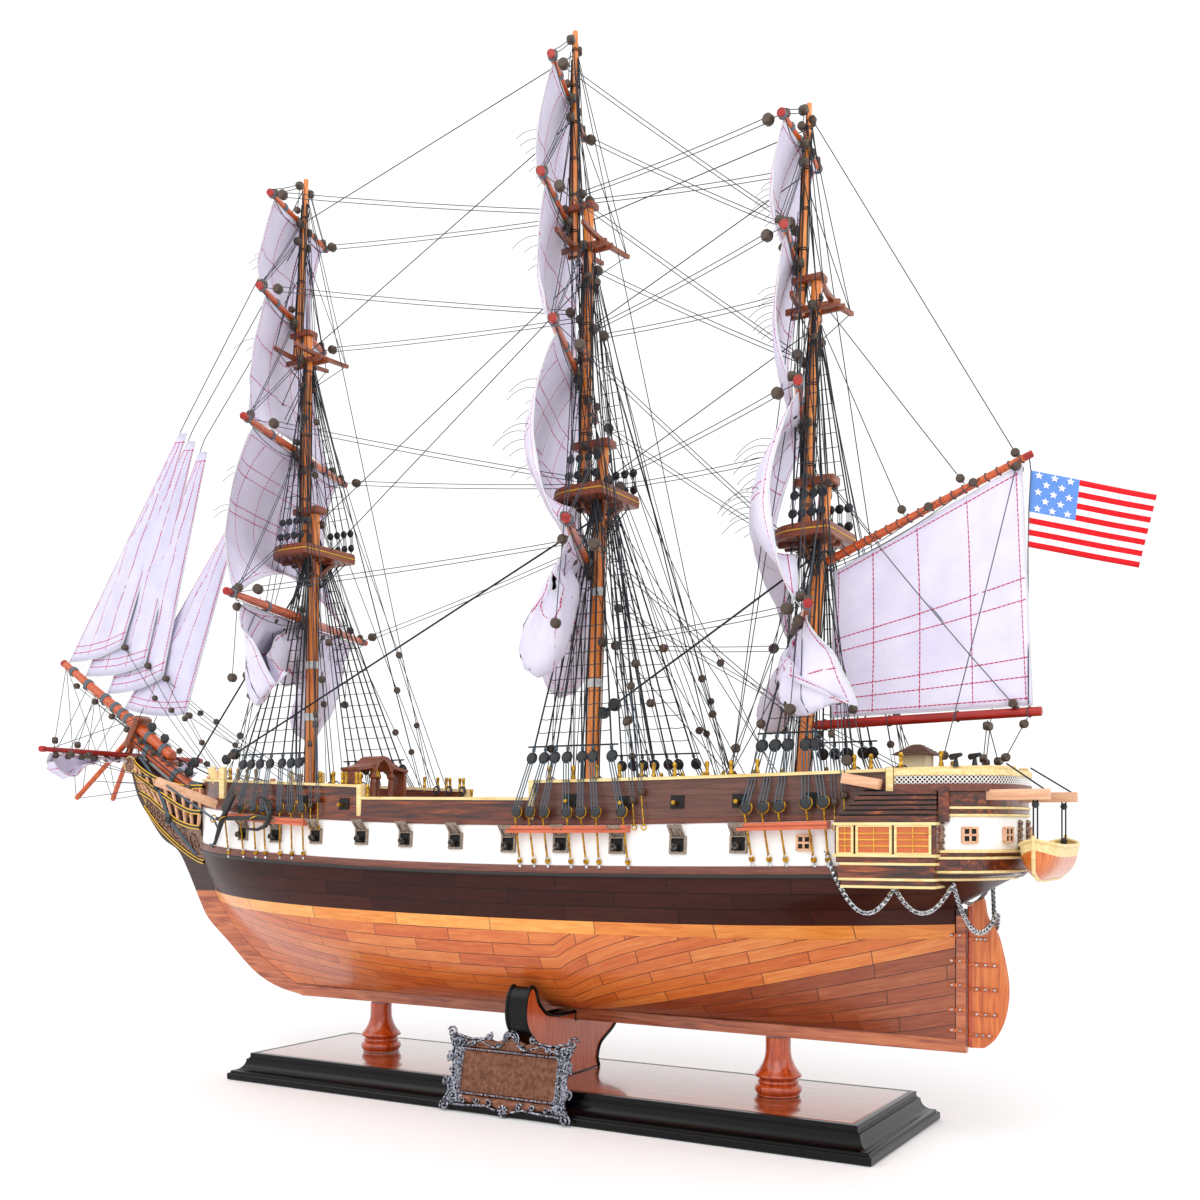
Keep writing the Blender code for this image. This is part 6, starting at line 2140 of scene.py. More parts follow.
class FRIGATE_OT_square_sails(bpy.types.Operator):
    """Sew the topsails, topgallant sails and royals."""

    bl_idname = "frigate.square_sails"
    bl_label = "Square Sails"

    def execute(self, context):
        spacing = context.scene.frigate_sails.seam
        threads = []
        for number, (mast, foot) in enumerate(COURSE_YARDS.items()):
            head = f"{mast}_topsail_yard"
            widths = (YARDS[head][3] * HEAD_SHARE, YARDS[foot][3] * FOOT_SHARE)
            rows = square_rows(
                head, foot, 24.0, TOPSAIL_ARCHES[mast], hang_clear(head), pass_clear(foot, 2.0),
                widths)
            rows = rippled(rows, 1.7, 16.0, number + 1.0)
            sew(f"{mast}_topsail_cloth", rows, f"{mast}_topsail", "ship",
                seams=square_seams(2 * widths[1], (0.16, 0.22, 0.40, 0.46), spacing))
            ahead = yard_line(head)[2]
            threads += reef_threads(rows, (0.19, 0.43), ahead, 17.0, number)
        for number, mast in enumerate(MASTS):
            royal, topgallant, topsail = (
                f"{mast}_{sail}_yard" for sail in ("royal", "topgallant", "topsail"))
            crossing = YARDS[topgallant][3] * HEAD_SHARE
            rows = square_rows(
                royal, topgallant, 9.0, 4.0, hang_clear(royal), pass_clear(topgallant, 1.0),
                (YARDS[royal][3] * 0.86, crossing), size=(18, 20))
            rows = rippled(rows, 1.3, 13.0, number + 11.0)
            sew(f"{mast}_royal_cloth", rows, f"{mast}_upper_sails", "ship",
                seams=square_seams(2 * crossing, (0.5,), spacing))
            threads += reef_threads(rows, (0.5,), yard_line(royal)[2], 13.0, number + 5)
            rows = square_rows(
                topgallant, topsail, 10.0, 5.0, hang_clear(topgallant), pass_clear(topsail, 3.0),
                (crossing * 0.98, YARDS[topsail][3] * FOOT_SHARE), size=(22, 22))
            rows = rippled(rows, 1.5, 15.0, number + 21.0)
            sew(f"{mast}_topgallant_cloth", rows, f"{mast}_upper_sails", "ship",
                seams=square_seams(2 * crossing, (0.3, 0.62), spacing))
            threads += reef_threads(rows, (0.3,), yard_line(topgallant)[2], 15.0, number + 9)
        cords("reef_threads", threads, 0.17, "reef_thread", sides=4)
        return {"FINISHED"}


# How a clewed-up course hangs, as (ahead of the yard, below it), from its head round to its foot
COURSE_LOOP = (
    (0.0, -3.0), (5.0, -9.0), (12.0, -20.0), (21.0, -33.0), (29.0, -46.0), (33.0, -58.0),
    (30.0, -68.0), (22.0, -73.0), (13.0, -70.0), (6.0, -60.0), (3.0, -46.0), (3.6, -32.0),
    (8.0, -22.0), (11.0, -16.0),
)
COURSE_SCALES = {"fore": 1.05, "main": 1.0, "mizzen": 0.72}
# The port end of two courses: where along the yard it begins, then its corners below the
# yardarm, at the clew, and where its foot runs in again
FREE_CLEWS = {
    "fore": (0.15, (158.0, 97.0, 285.0), (141.0, 84.0, 239.5), (143.0, 72.0, 249.0)),
    "mizzen": (0.42, (-186.0, 66.0, 257.0), (-204.5, 66.0, 214.0), (-166.0, 58.0, 230.0)),
}


def free_clew(mast, point, across, t):
    """Draws the port end of a gathered course out to its clew, which hangs free."""
    start, *corners = FREE_CLEWS[mast]
    arm, clew, foot = (Vector(corner) for corner in corners)
    share = clamp((across - start) / (1.0 - start)) ** 1.2 * clamp(5.0 * t)
    hem = arm.lerp(clew, 2.0 * t) if t < 0.5 else clew.lerp(foot, 2.0 * t - 1.0)
    return point.lerp(hem, share)


class FRIGATE_OT_courses(bpy.types.Operator):
    """Hang the three courses, hauled up to their yards in lobes."""

    bl_idname = "frigate.courses"
    bl_label = "Courses"

    def execute(self, context):
        for number, (mast, yard) in enumerate(COURSE_YARDS.items()):
            scale = COURSE_SCALES[mast]
            middle, along, ahead = yard_line(yard)
            half = YARDS[yard][3] * FOOT_SHARE
            loop = []
            for a, b in zip(COURSE_LOOP, COURSE_LOOP[1:]):
                loop += [Vector(a), Vector(a).lerp(Vector(b), 0.5)]
            loop.append(Vector(COURSE_LOOP[-1]))
            rows = []
            for i, point in enumerate(loop):
                t = i / (len(loop) - 1)
                row = []
                for j in range(49):
                    across = 2.0 * j / 48 - 1.0
                    # Two deep lobes by the yardarms, and a shallow one at the mast
                    lobe = 0.50 + 0.5 * math.exp(-((abs(across) - 0.72) / 0.2) ** 2)
                    lobe += 0.10 * math.cos(across * 21.0) * t
                    gather = 1.0 - 0.16 * math.sin(math.pi * t) ** 2
                    # Towards the yardarms the cloth is bunched together, so that the lobe closes
                    bunch = 0.72 * clamp((abs(across) - 0.80) / 0.20) ** 1.6 * clamp(4.0 * t)
                    push = (point.x + (15.0 - point.x) * bunch) * lobe * scale
                    drop = (point.y + (-44.0 - point.y) * bunch) * (lobe if i else 1.0) * scale
                    sway = 2.5 * math.sin(across * 17.0 + 5.0 * t) * math.sin(math.pi * t)
                    place = middle + along * (half * across * gather + sway) + ahead * push
                    place.z += drop
                    row.append(free_clew(mast, place, across, t) if mast in FREE_CLEWS else place)
                rows.append(row)
            clear = yard_radius(YARDS[yard][3]) + 0.6
            rows = [[point - Vector((0, 0, clear - 3.0 * scale)) for point in row]
                    for row in rows]
            rows = rippled(rows, 2.4, 12.0, number + 31.0, fixed=(True, False))
            sew(f"{mast}_course_cloth", rows, f"{mast}_course", "ship",
                seams=square_seams(2 * half, (0.30, 0.62), 34.0))
            # The brails that hold the lobes up
            brails = []
            for share in (-0.74, -0.3, 0.3, 0.74):
                column = 0.5 + share / 2
                points = [between(rows, t, column) + ahead * 0.8
                          for t in (0.02, 0.15, 0.3, 0.42, 0.5, 0.6)]
                brails.append([middle + along * half * share + Vector((0, 0, clear))] + points)
            cords(f"{mast}_course_brails", brails, 0.3, "running_cord", sides=5)
        return {"FINISHED"}


# Head (x, z), the tack's distance from the jib-boom's heel, and clew (x, z)
HEADSAILS = {
    "flying_jib": ((308.8, 443.6), 134.0, (364.2, 287.8)),
    "outer_jib": ((301.1, 437.1), 112.0, (340.0, 273.1)),
    "inner_jib": ((289.8, 428.2), 84.0, (321.7, 262.9)),
    "staysail": ((260.2, 372.2), 62.0, (298.6, 236.0)),
}


def headsail_corners(name):
    """The head, the tack and the clew of one headsail."""
    (head_x, head_z), distance, (clew_x, clew_z) = HEADSAILS[name]
    radius = 4.2 - (distance / JIB_LENGTH) * 1.4
    tack = bowsprit_point(JIB_HEEL + distance, JIB_OFFSET + radius + 2 * GAP)
    return Vector((head_x, 0.0, head_z)), tack, Vector((clew_x, 9.0, clew_z))


class FRIGATE_OT_headsails(bpy.types.Operator):
    """Sew the three jibs and the staysail."""

    bl_idname = "frigate.headsails"
    bl_label = "Headsails"

    def execute(self, context):
        for number, name in enumerate(HEADSAILS):
            head, tack, clew = headsail_corners(name)
            rows = []
            for i in range(27):
                share = 0.95 * (1.0 - i / 26.0)
                luff = tack.lerp(head, share)
                leech = clew.lerp(head - Vector((4.5, 0.0, 1.5)), share)
                row = []
                for j in range(11):
                    across = j / 10.0
                    point = leech.lerp(luff, across)
                    belly = 3.6 * math.sin(math.pi * across) * math.sin(math.pi * share) ** 0.7
                    roach = 3.0 * math.sin(math.pi * across) * (1.0 - share) ** 3
                    row.append(point + Vector((0.0, belly, -roach)))
                rows.append(row)
            rows = rippled(rows, 2.3, 11.0, number + 41.0, taut_sides=True)
            width = (rows[-1][0] - rows[-1][-1]).length
            count = max(2, round(width / 26.0))
            seams = [((0.05, k / count), (0.97, k / count)) for k in range(1, count)]
            seams.append(((0.93, 0.02), (0.93, 0.98)))
            # The headsails take the darker cotton: painted shade
            sew(f"{name}_cloth", rows, name, "ship", seams=seams, edge=0.04,
                cloth="jib_cotton")
        return {"FINISHED"}


class FRIGATE_OT_spanker(bpy.types.Operator):
    """Sew the spanker, which is laced to the boom and the gaff."""

    bl_idname = "frigate.spanker"
    bl_label = "Spanker"

    def execute(self, context):
        throat = Vector((-168.9, 0.0, 289.4))
        peak = Vector((-263.4, 0.0, 331.8))
        clew = Vector((-268.5, 0.0, 215.9))
        tack = Vector((-166.8, 0.0, 214.3))
        rows = []
        for i in range(31):
            share = i / 30.0
            row = []
            for j in range(31):
                along = j / 30.0
                point = throat.lerp(tack, share).lerp(peak.lerp(clew, share), along)
                belly = 3.0 * math.sin(math.pi * share) * math.sin(math.pi * along)
                row.append(point + Vector((0.0, -belly, 0.0)))
            rows.append(row)
        rows = rippled(rows, 0.9, 17.0, 51.0)
        seams = [((0.03, u), (0.97, u)) for u in (0.22, 0.46, 0.72)]
        # Two double rows across
        for level in (0.47, 0.56, 0.80, 0.88):
            seams.append(((level, 0.02), (level, 0.98)))
        sew("spanker_cloth", rows, "spanker", "spanker_gear",
            seams=seams)
        return {"FINISHED"}


class FRIGATE_OT_spritsail(bpy.types.Operator):
    """Furl the spritsail in soft bunts under its yard."""

    bl_idname = "frigate.spritsail"
    bl_label = "Spritsail"

    def execute(self, context):
        rows = []
        for i in range(19):
            t = i / 18.0
            row = []
            for j in range(61):
                place = 2.0 * j / 60 - 1.0
                depth = 1.2 + 14.0 * math.exp(-((abs(place) - 0.78) / 0.2) ** 2)
                depth += 2.2 * (0.5 + 0.5 * math.cos(place * 26.0))
                swing = math.sin(math.pi * t)
                drop = 2.5 + depth * math.sin(math.pi * min(t * 1.25, 1.0) * 0.62)
                push = (2.0 + depth * 0.45) * swing - 3.0 * t
                row.append(SPRITSAIL_MIDDLE + SPRITSAIL_ALONG * SPRITSAIL_HALF * 0.9 * place
                           + SPRITSAIL_AHEAD * push - Vector((0, 0, drop)))
            rows.append(row)
        rows = rippled(rows, 1.5, 9.0, 61.0, fixed=(True, False))
        sew("spritsail_cloth", rows, "spritsail", "ship",
            seams=[((0.5, 0.03), (0.5, 0.97))])
        return {"FINISHED"}


# (x, z): upper hoist, upper fly, lower fly and lower hoist
FLAG_CORNERS = ((-267.6, 328.2), (-323.4, 309.1), (-315.7, 276.6), (-266.2, 291.7))


class FRIGATE_OT_flag(bpy.types.Operator):
    """Sew the flag with its stripes, canton and stars, and hang it from the gaff's end."""

    bl_idname = "frigate.flag"
    bl_label = "Flag"

    def execute(self, context):
        a, b, c, d = (Vector((x, 0.0, z)) for x, z in FLAG_CORNERS)

        def on_flag(t, u, out=0.0):
            point = a.lerp(d, t).lerp(b.lerp(c, t), u)
            wave = 0.7 * math.sin(u * 7.0 + 0.8 * t) * u
            return point + Vector((0.0, out + wave, 0.0))

        bm = bmesh.new()
        grid = add_grid(
            bm, [[on_flag(i / 26.0, j / 25.0) for j in range(26)] for i in range(27)])
        # Two rows of faces to a stripe. The canton is seven stripes deep
        for number, face in enumerate(bm.faces):
            i, j = divmod(number, 25)
            face.material_index = 2 if i < 14 and j < 10 else (i // 2) % 2
        set_cut(bm, grid, (0.059, 0.036))
        area = area_of(bm)
        piece = piece_from("flag_cloth", bm, ("flag_red", "flag_white", "flag_blue"),
                           "spanker_gear", smooth=None, recalc=False)
        piece.data.shade_smooth()
        thicken(piece, 0.35)
        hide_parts("flag")
        bm = bmesh.new()
        spots = []
        for row, count in enumerate((3, 2, 3, 2, 3)):
            for k in range(count):
                spots.append((0.05 + 0.108 * row, 0.07 + 0.13 * (k + (0.5 if count == 2 else 0))))
        for t, u in spots:
            for out in (0.32, -0.32):
                points = []
                for k in range(10):
                    angle = math.pi / 2 + 2 * math.pi * k / 10
                    reach = 1.0 if k % 2 == 0 else 0.42
                    points.append(bm.verts.new(on_flag(
                        t - 0.052 * reach * math.sin(angle), u + 0.036 * reach * math.cos(angle),
                        out)))
                centre = bm.verts.new(on_flag(t, u, out))
                for k in range(10):
                    ring = (points[k], points[(k + 1) % 10], centre)
                    bm.faces.new(ring if out > 0 else ring[::-1])
        bm.loops.layers.uv.new("cut")
        stars = piece_from("flag_stars", bm, "flag_white", "spanker_gear", smooth=None,
                           recalc=False)
        thicken(stars, 0.12)
        top = Vector((-266.9, 0.0, 333.6))
        lines = [[top, a], [a, a.lerp(d, 0.5) + Vector((0.3, 0, 0)), d],
                 [d, Vector((-266.4, 0.0, 250.0)), Vector((-266.6, 1.0, 216.0))]]
        halyard = cords("flag_halyard", lines, 0.3, "running_cord", "spanker_gear", sides=5)
        return {"FINISHED"}


# Rigging

# Places of the port side's deadeyes along each channel, in millimetres from midships
LOWER_EYES = {
    "fore": ((216.7, 50.0, 169.8), (200.1, 53.4, 169.4), (187.1, 55.2, 169.3),
             (177.7, 56.1, 169.3), (163.4, 57.2, 169.2), (153.9, 57.6, 169.0),
             (144.7, 58.0, 168.9)),
    "main": ((-11.2, 58.7, 165.7), (-19.6, 58.6, 165.6), (-28.5, 58.5, 165.5),
             (-42.8, 58.5, 165.4), (-51.4, 58.4, 165.4), (-60.4, 58.4, 165.4),
             (-75.8, 58.2, 165.5)),
    "mizzen": ((-144.4, 56.3, 166.9), (-153.2, 56.0, 167.3), (-161.4, 55.7, 167.7),
               (-175.0, 55.1, 169.0), (-183.4, 54.7, 169.4)),
}
# Upper deadeyes: the x of each, and their y and z
UPPER_EYES = {
    "fore": ((202.1, 195.2, 187.5, 179.0, 169.0, 161.5, 154.9), 49.7, 197.0),
    "main": ((-15.2, -23.0, -30.0, -37.6, -47.0, -53.7, -65.3), 50.0, 195.0),
    "mizzen": ((-146.9, -153.9, -160.7, -170.1, -175.2), 42.5, 198.0),
}
# Chainplates' feet: the x of each, and their height
PLATE_FEET = {
    "fore": ((215.6, 199.2, 186.8, 177.7, 164.5, 154.2, 144.6), 141.0),
    "main": ((-12.4, -21.4, -30.2, -44.7, -53.9, -61.6, -78.7), 138.6),
    "mizzen": ((-147.0, -156.0, -164.4, -178.6, -185.6), 141.0),
}
# The x of the feet of the topmast's and the topgallant mast's backstay
BACKSTAY_FEET = {"fore": (138.0, 132.0), "main": (-82.5, -88.0), "mizzen": (-189.0, -194.0)}


# Millimetres between two ratlines
RATLINE_STEP = 7.4


def nail_pattern(radius, shoulder, rise):
    """A nail's round head."""
    bm = bmesh.new()
    lathe(bm, ((0.0, rise), (0.6, shoulder), (radius, 0.0), (0.0, 0.0)), (0.0, 0.0), segments=10)
    return bm


def eye_pattern(radius=3.1, thickness=3.4, sides=16):
    """A grooved round block of wood, the shape of a deadeye or a block."""
    bm = bmesh.new()
    half = thickness / 2
    profile = ((0.0, -half), (radius * 0.72, -half), (radius * 0.97, -half * 0.55),
               (radius * 0.93, 0.0), (radius * 0.97, half * 0.55), (radius * 0.72, half),
               (0.0, half))
    lathe(bm, profile, (0.0, 0.0), segments=sides)
    return bm


def block_place(point, along, size=1.0):
    along = Vector(along).normalized()
    side = along.cross(Vector((0, 0, 1)))
    if side.length < 0.05:
        side = Vector((0, 1, 0))
    return (point, along, side.normalized(), size)


def shroud_head(mast, side, number):
    z = MASTS[mast]["top"][3] + 7.0 + number * 0.9
    x, radius = mast_at(mast, "lower", z)
    return Vector((x, side * (radius + 0.2), z))


def at_height(a, b, z):
    return a.lerp(b, (z - a.z) / (b.z - a.z))


class FRIGATE_OT_shrouds(bpy.types.Operator):
    """Set up the lower shrouds with deadeyes, lanyards, chainplates and ratlines."""

    bl_idname = "frigate.shrouds"
    bl_label = "Lower Shrouds"

    def execute(self, context):
        sizes = context.scene.frigate_rigging
        eyes = []
        loops = []
        lanyards = []
        shrouds = []
        steps = []
        plates = []
        nails = []
        poles = []
        for mast, lower in LOWER_EYES.items():
            places, y_upper, z_upper = UPPER_EYES[mast]
            feet, z_foot = PLATE_FEET[mast]
            for side, _ in SIDES:
                ropes = []
                for number, (x, y, z) in enumerate(lower):
                    low = Vector((x, side * y, z))
                    high = Vector((places[number], side * y_upper, z_upper))
                    head = shroud_head(mast, side, number)
                    out = Vector((0.0, side, 0.22)).normalized()
                    rope = (high - low).normalized()
                    eyes.append((low, rope, out, 1.0))
                    eyes.append((high, rope, out, 0.94))
                    loops.append(ring_line(low, 3.15, out, count=14))
                    for shift in (-1.7, 0.0, 1.7):
                        lanyards.append([
                            low + Vector((shift, side * 1.2, 1.5)),
                            high + Vector((shift * 0.9, side * 1.0, -1.5))])
                    for turn in range(3):
                        lanyards.append(ring_line(
                            high + (head - high).normalized() * (4.2 + turn * 0.7), 0.75,
                            head - high, count=8))
                    shrouds.append(ring_line(high, 3.0, out, count=14))
                    shrouds.append([high + (head - high).normalized() * 3.0, head])
                    ropes.append((high, head))
                    foot = hull_side(feet[number], z_foot, side, 1.2)
                    plates.append([low - rope * 3.2, foot])
                    for drop in (0.0, 4.4):
                        spot = foot + (foot - low).normalized() * (drop - 2.4)
                        nails.append((spot + Vector((0, side * 0.2, 0)), (1, 0, 0),
                                      (0, side, 0), 1.0))
                    plates.append(ring_line(
                        foot + (low - foot).normalized() * 1.0, 1.1, (0, side, 0), count=10))
                # A pole lashed across just above the deadeyes, and then the ratlines
                pole = [a + (b - a).normalized() * 6.5 for a, b in ropes]
                poles.append([pole[0] + Vector((4, 0, 0)), *pole[1:-1],
                              pole[-1] - Vector((4, 0, 0))])
                z = z_upper + 14.0
                top = MASTS[mast]["top"][3] - 12.0
                while z < top:
                    count = len(ropes) if z < top - 55.0 else len(ropes) - 1
                    row = [at_height(a, b, z) for a, b in ropes[:count]]
                    line = []
                    for a, b in zip(row, row[1:]):
                        line += [a, a.lerp(b, 0.5) - Vector((0, 0, 0.45))]
                    steps.append([*line, row[-1]])
                    z += RATLINE_STEP
        fittings("deadeyes", eye_pattern(), eyes, "black_wood")
        cords("deadeye_strops", loops, 0.42, "gilt_wire", sides=6)
        cords("lanyards", lanyards, 0.36, "lanyard_cord", sides=5)
        cords("lower_shrouds", shrouds, sizes.shroud / 2, "standing_cord", sides=6)
        cords("sheer_poles", poles, 0.5, "standing_cord", sides=5)
        cords("lower_ratlines", steps, sizes.ratline / 2, "running_cord", sides=4)
        cords("chainplates", plates, 0.55, "gilt_wire", sides=8)
        fittings("chainplate_nails", nail_pattern(0.95, 0.4, 0.55), nails, "nickel")
        return {"FINISHED"}


class FRIGATE_OT_upper_shrouds(bpy.types.Operator):
    """Set up the futtock, topmast and topgallant shrouds and the backstays."""

    bl_idname = "frigate.upper_shrouds"
    bl_label = "Upper Shrouds and Backstays"

    def execute(self, context):
        sizes = context.scene.frigate_rigging
        eyes = []
        ropes = []
        thin = []
        steps = []
        lanyards = []
        tackles = []
        hooks = []
        for mast, data in MASTS.items():
            x_aft, x_fore, half, z_top = data["top"]
            cross_z, cross_half = data["cross"]
            straight = x_aft + (x_fore - x_aft) * 0.45
            for side, _ in SIDES:
                lines = []
                for number in range(4):
                    x = straight + 3.0 - number * (straight + 3.0 - x_aft - 4.0) / 3.0
                    low = Vector((x, side * (half - 0.6), z_top + 7.0))
                    high = low + Vector((-0.5, -side * 1.3, 9.5))
                    x_mast, radius = mast_at(mast, "topmast", cross_z - 3.0)
                    head = Vector((x_mast, side * radius, cross_z - 3.0 + number))
                    out = Vector((0.0, side, 0.1)).normalized()
                    for point in (low, high):
                        eyes.append((point, (0, 0, 1), out, 0.72))
                        ropes.append(ring_line(point, 2.2, out, count=10))
                    for shift in (-1.1, 0.0, 1.1):
                        lanyards.append([low + Vector((shift, side * 0.8, 1.0)),
                                         high + Vector((shift, side * 0.7, -1.0))])
                    ropes.append([high + (head - high).normalized() * 2.2, head])
                    lines.append((high, head))
                    # Futtock shroud, from the rim down and in to the lower mast
                    x_low, r_low = mast_at(mast, "lower", z_top - 22.0)
                    ropes.append([
                        low - Vector((0, 0, 2.4)), Vector((x, side * (half - 0.4), z_top)),
                        Vector((x_low + (x - x_low) * 0.18, side * (r_low + 0.5), z_top - 22.0))])
                z = z_top + 26.0
                while z < cross_z - 14.0:
                    row = [at_height(a, b, z) for a, b in lines]
                    steps.append(row)
                    z += RATLINE_STEP
                # Topgallant shrouds over the crosstrees
                low_x = mast_at(mast, "topmast", cross_z)[0]
                up_x = mast_at(mast, "topgallant", cross_z)[0]
                middle = (low_x + up_x) / 2
                z_end = data["topgallant"][1][1]
                for offset, share in ((-14.0, 0.62), (-14.0, 0.92), (3.5, 0.60), (3.5, 0.66)):
                    z_head = cross_z + (z_end - cross_z) * share
                    x_head, radius = mast_at(mast, "topgallant", z_head)
                    arm = Vector((middle + offset - 2.2, side * (cross_half - 0.8), cross_z + 3.6))
                    x_down, r_down = mast_at(mast, "topmast", cross_z - 16.0)
                    thin.append([
                        Vector((x_head, side * radius, z_head)), arm,
                        Vector((x_down, side * (r_down + 0.6), cross_z - 16.0))])
                # Backstays down to the channels, each with its own tackle
                for number, x_foot in enumerate(BACKSTAY_FEET[mast]):
                    foot = hull_side(x_foot, 160.0, side, 3.0)
                    if number == 0:
                        x_head, radius = mast_at(mast, "topmast", cross_z - 1.0)
                        head = Vector((x_head - 1.0, side * radius, cross_z - 1.0))
                    else:
                        z_head = data["topgallant"][1][1] - 12.0
                        x_head, radius = mast_at(mast, "topgallant", z_head)
                        head = Vector((x_head, side * radius, z_head))
                    ropes_here = ropes if number == 0 else thin
                    upper = foot.lerp(head, 0.16)
                    lower = foot.lerp(head, 0.035)
                    ropes_here.append([upper, head])
                    for shift in (-0.9, 0.9):
                        lanyards.append([lower + Vector((shift, 0, 0)),
                                         upper + Vector((shift, 0, 0))])
                    direction = head - foot
                    tackles += [block_place(upper, direction, 0.8),
                                block_place(lower, direction, 0.8)]
                    hooks.append([lower, foot - Vector((0, 0, 2.0))])
                    hooks.append(ring_line(foot - Vector((0, 0, 2.5)), 1.4, (0, side, 0), 10))
        fittings("top_deadeyes", eye_pattern(sides=12), eyes, "black_wood")
        cords("upper_shroud_ropes", ropes, sizes.shroud * 0.4, "standing_cord", sides=5)
        cords("topgallant_shrouds", thin, 0.28, "standing_cord", sides=5)
        cords("upper_ratlines", steps, sizes.ratline * 0.44, "running_cord", sides=4)
        cords("upper_lanyards", lanyards, 0.26, "lanyard_cord", sides=4)
        fittings("backstay_tackles", eye_pattern(2.7, 3.6, 10), tackles, "block_wood")
        cords("backstay_hooks", hooks, 0.4, "brass", sides=6)
        return {"FINISHED"}


class FRIGATE_OT_stays(bpy.types.Operator):
    """Set up the stays that run forward from the masts, with their hearts."""

    bl_idname = "frigate.stays"
    bl_label = "Stays"

    def execute(self, context):
        def front(mast, stage, z):
            x, radius = mast_at(mast, stage, z)
            return Vector((x + radius + 0.6, 0.0, z))

        ends = {"fore_stay": ("fore", 326.0, Vector((306.6, 0.0, 195.4))),
                "main_stay": ("main", 334.0, Vector((262.0, 8.0, 203.0))),
                "mizzen_stay": ("mizzen", 298.0, Vector((-29.8, 0.0, 222.0)))}
        hearts = []
        for name, (mast, z, end) in ends.items():
            start = front(mast, "lower", z)
            direction = (start - end).normalized()
            lines = [[start, end + direction * 9.0],
                     ring_line(start - Vector((4.0, 0, 0)), 4.6, direction.cross((0, 1, 0)), 14)]
            for offset in (-1.5, 1.5):
                lines.append([end + direction * 9.0 + Vector((0, offset, 0)),
                              end + Vector((0, offset * 0.9, 0))])
            hearts += [(end + direction * 10.0, direction, (0, 1, 0), 1.15),
                       (end + direction * 1.5, direction, (0, 1, 0), 1.05)]
            piece = cords(f"{name}_rope", lines, 0.6, "standing_cord", sides=7)
            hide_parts(name)
        for x, z in ((330.0, 221.0), (343.0, 229.6)):
            hearts.append((Vector((x, 0.0, z)), (0.85, 0, 0.53), (0, 1, 0), 1.0))
        fittings("stay_hearts", eye_pattern(3.4, 3.6, 14), hearts, "black_wood")
        lines = [
            [front("fore", "topmast", 452.0), bowsprit_point(108.0, 14.0, 3.0)],
            [front("fore", "topmast", 448.0), bowsprit_point(100.0, 6.0, -4.0)],
            [front("main", "topmast", 478.0), front("fore", "lower", 352.0)],
            [front("main", "topmast", 470.0), front("fore", "lower", 330.0) - Vector((8, 0, 0))],
            [front("main", "topgallant", 566.0), front("fore", "topmast", 468.0)],
            [front("main", "topgallant", 604.0), front("fore", "topgallant", 556.0)],
            [front("mizzen", "topmast", 416.0), front("main", "lower", 352.0)],
            [front("mizzen", "topgallant", 498.0), front("main", "topmast", 442.0)],
            [front("mizzen", "topgallant", 522.0), front("main", "topmast", 505.0)],
        ]
        for name, z in (("flying_jib", 578.0), ("outer_jib", 548.0), ("inner_jib", 520.0),
                        ("staysail", 470.0)):
            head, tack, _ = headsail_corners(name)
            stage = "topgallant" if z > 490.0 else "topmast"
            lines.append([tack - Vector((0, 0, 3.0)), tack, head, front("fore", stage, z)])
        cords("upper_stays", lines, 0.3, "standing_cord", sides=5)
        return {"FINISHED"}


# Yard, where its brace leads (mast, stage, height), and the length of its pendant. A brace
# without a mast leads to the rail
BRACES = (
    ("fore_course_yard", "main", "lower", 322.0, 26.0),
    ("fore_topsail_yard", "main", "lower", 354.0, 30.0),
    ("fore_topgallant_yard", "main", "topmast", 452.0, 20.0),
    ("fore_royal_yard", "main", "topgallant", 512.0, 14.0),
    ("main_course_yard", None, None, 187.0, 30.0),
    ("main_topsail_yard", "mizzen", "lower", 296.0, 30.0),
    ("main_topgallant_yard", "mizzen", "topmast", 400.0, 20.0),
    ("main_royal_yard", "mizzen", "topgallant", 470.0, 14.0),
    ("crossjack_yard", "main", "lower", 262.0, 22.0),
    ("mizzen_topsail_yard", "main", "lower", 352.0, 22.0),
    ("mizzen_topgallant_yard", "main", "topmast", 440.0, 18.0),
    ("mizzen_royal_yard", "main", "topgallant", 520.0, 14.0),
)
# Yard, and the height on its own mast where its lifts lead
LIFTS = (
    ("fore_course_yard", "lower", 360.0), ("fore_topsail_yard", "topmast", 466.0),
    ("fore_topgallant_yard", "topgallant", 545.0), ("fore_royal_yard", "topgallant", 580.0),
    ("main_course_yard", "lower", 372.0), ("main_topsail_yard", "topmast", 492.0),
    ("main_topgallant_yard", "topgallant", 568.0), ("main_royal_yard", "topgallant", 612.0),
    ("crossjack_yard", "lower", 334.0), ("mizzen_topsail_yard", "topmast", 430.0),
    ("mizzen_topgallant_yard", "topgallant", 506.0), ("mizzen_royal_yard", "topgallant", 531.0),
)
# Upper yard, and the yard below it
CLEWS = (
    ("fore_topsail_yard", "fore_course_yard"), ("fore_topgallant_yard", "fore_topsail_yard"),
    ("fore_royal_yard", "fore_topgallant_yard"), ("main_topsail_yard", "main_course_yard"),
    ("main_topgallant_yard", "main_topsail_yard"), ("main_royal_yard", "main_topgallant_yard"),
    ("mizzen_topsail_yard", "crossjack_yard"), ("mizzen_topgallant_yard", "mizzen_topsail_yard"),
    ("mizzen_royal_yard", "mizzen_topgallant_yard"),
)
# The x of the pins on the rail that each mast's ropes lead to
PIN_PLACES = {
    "fore": (231.0, 222.0, 213.0, 137.0, 126.0, 116.0),
    "main": (-27.0, -83.0, -90.0, -102.0, -120.0),
    "mizzen": (-133.0, -147.0, -196.0, -204.0),
}


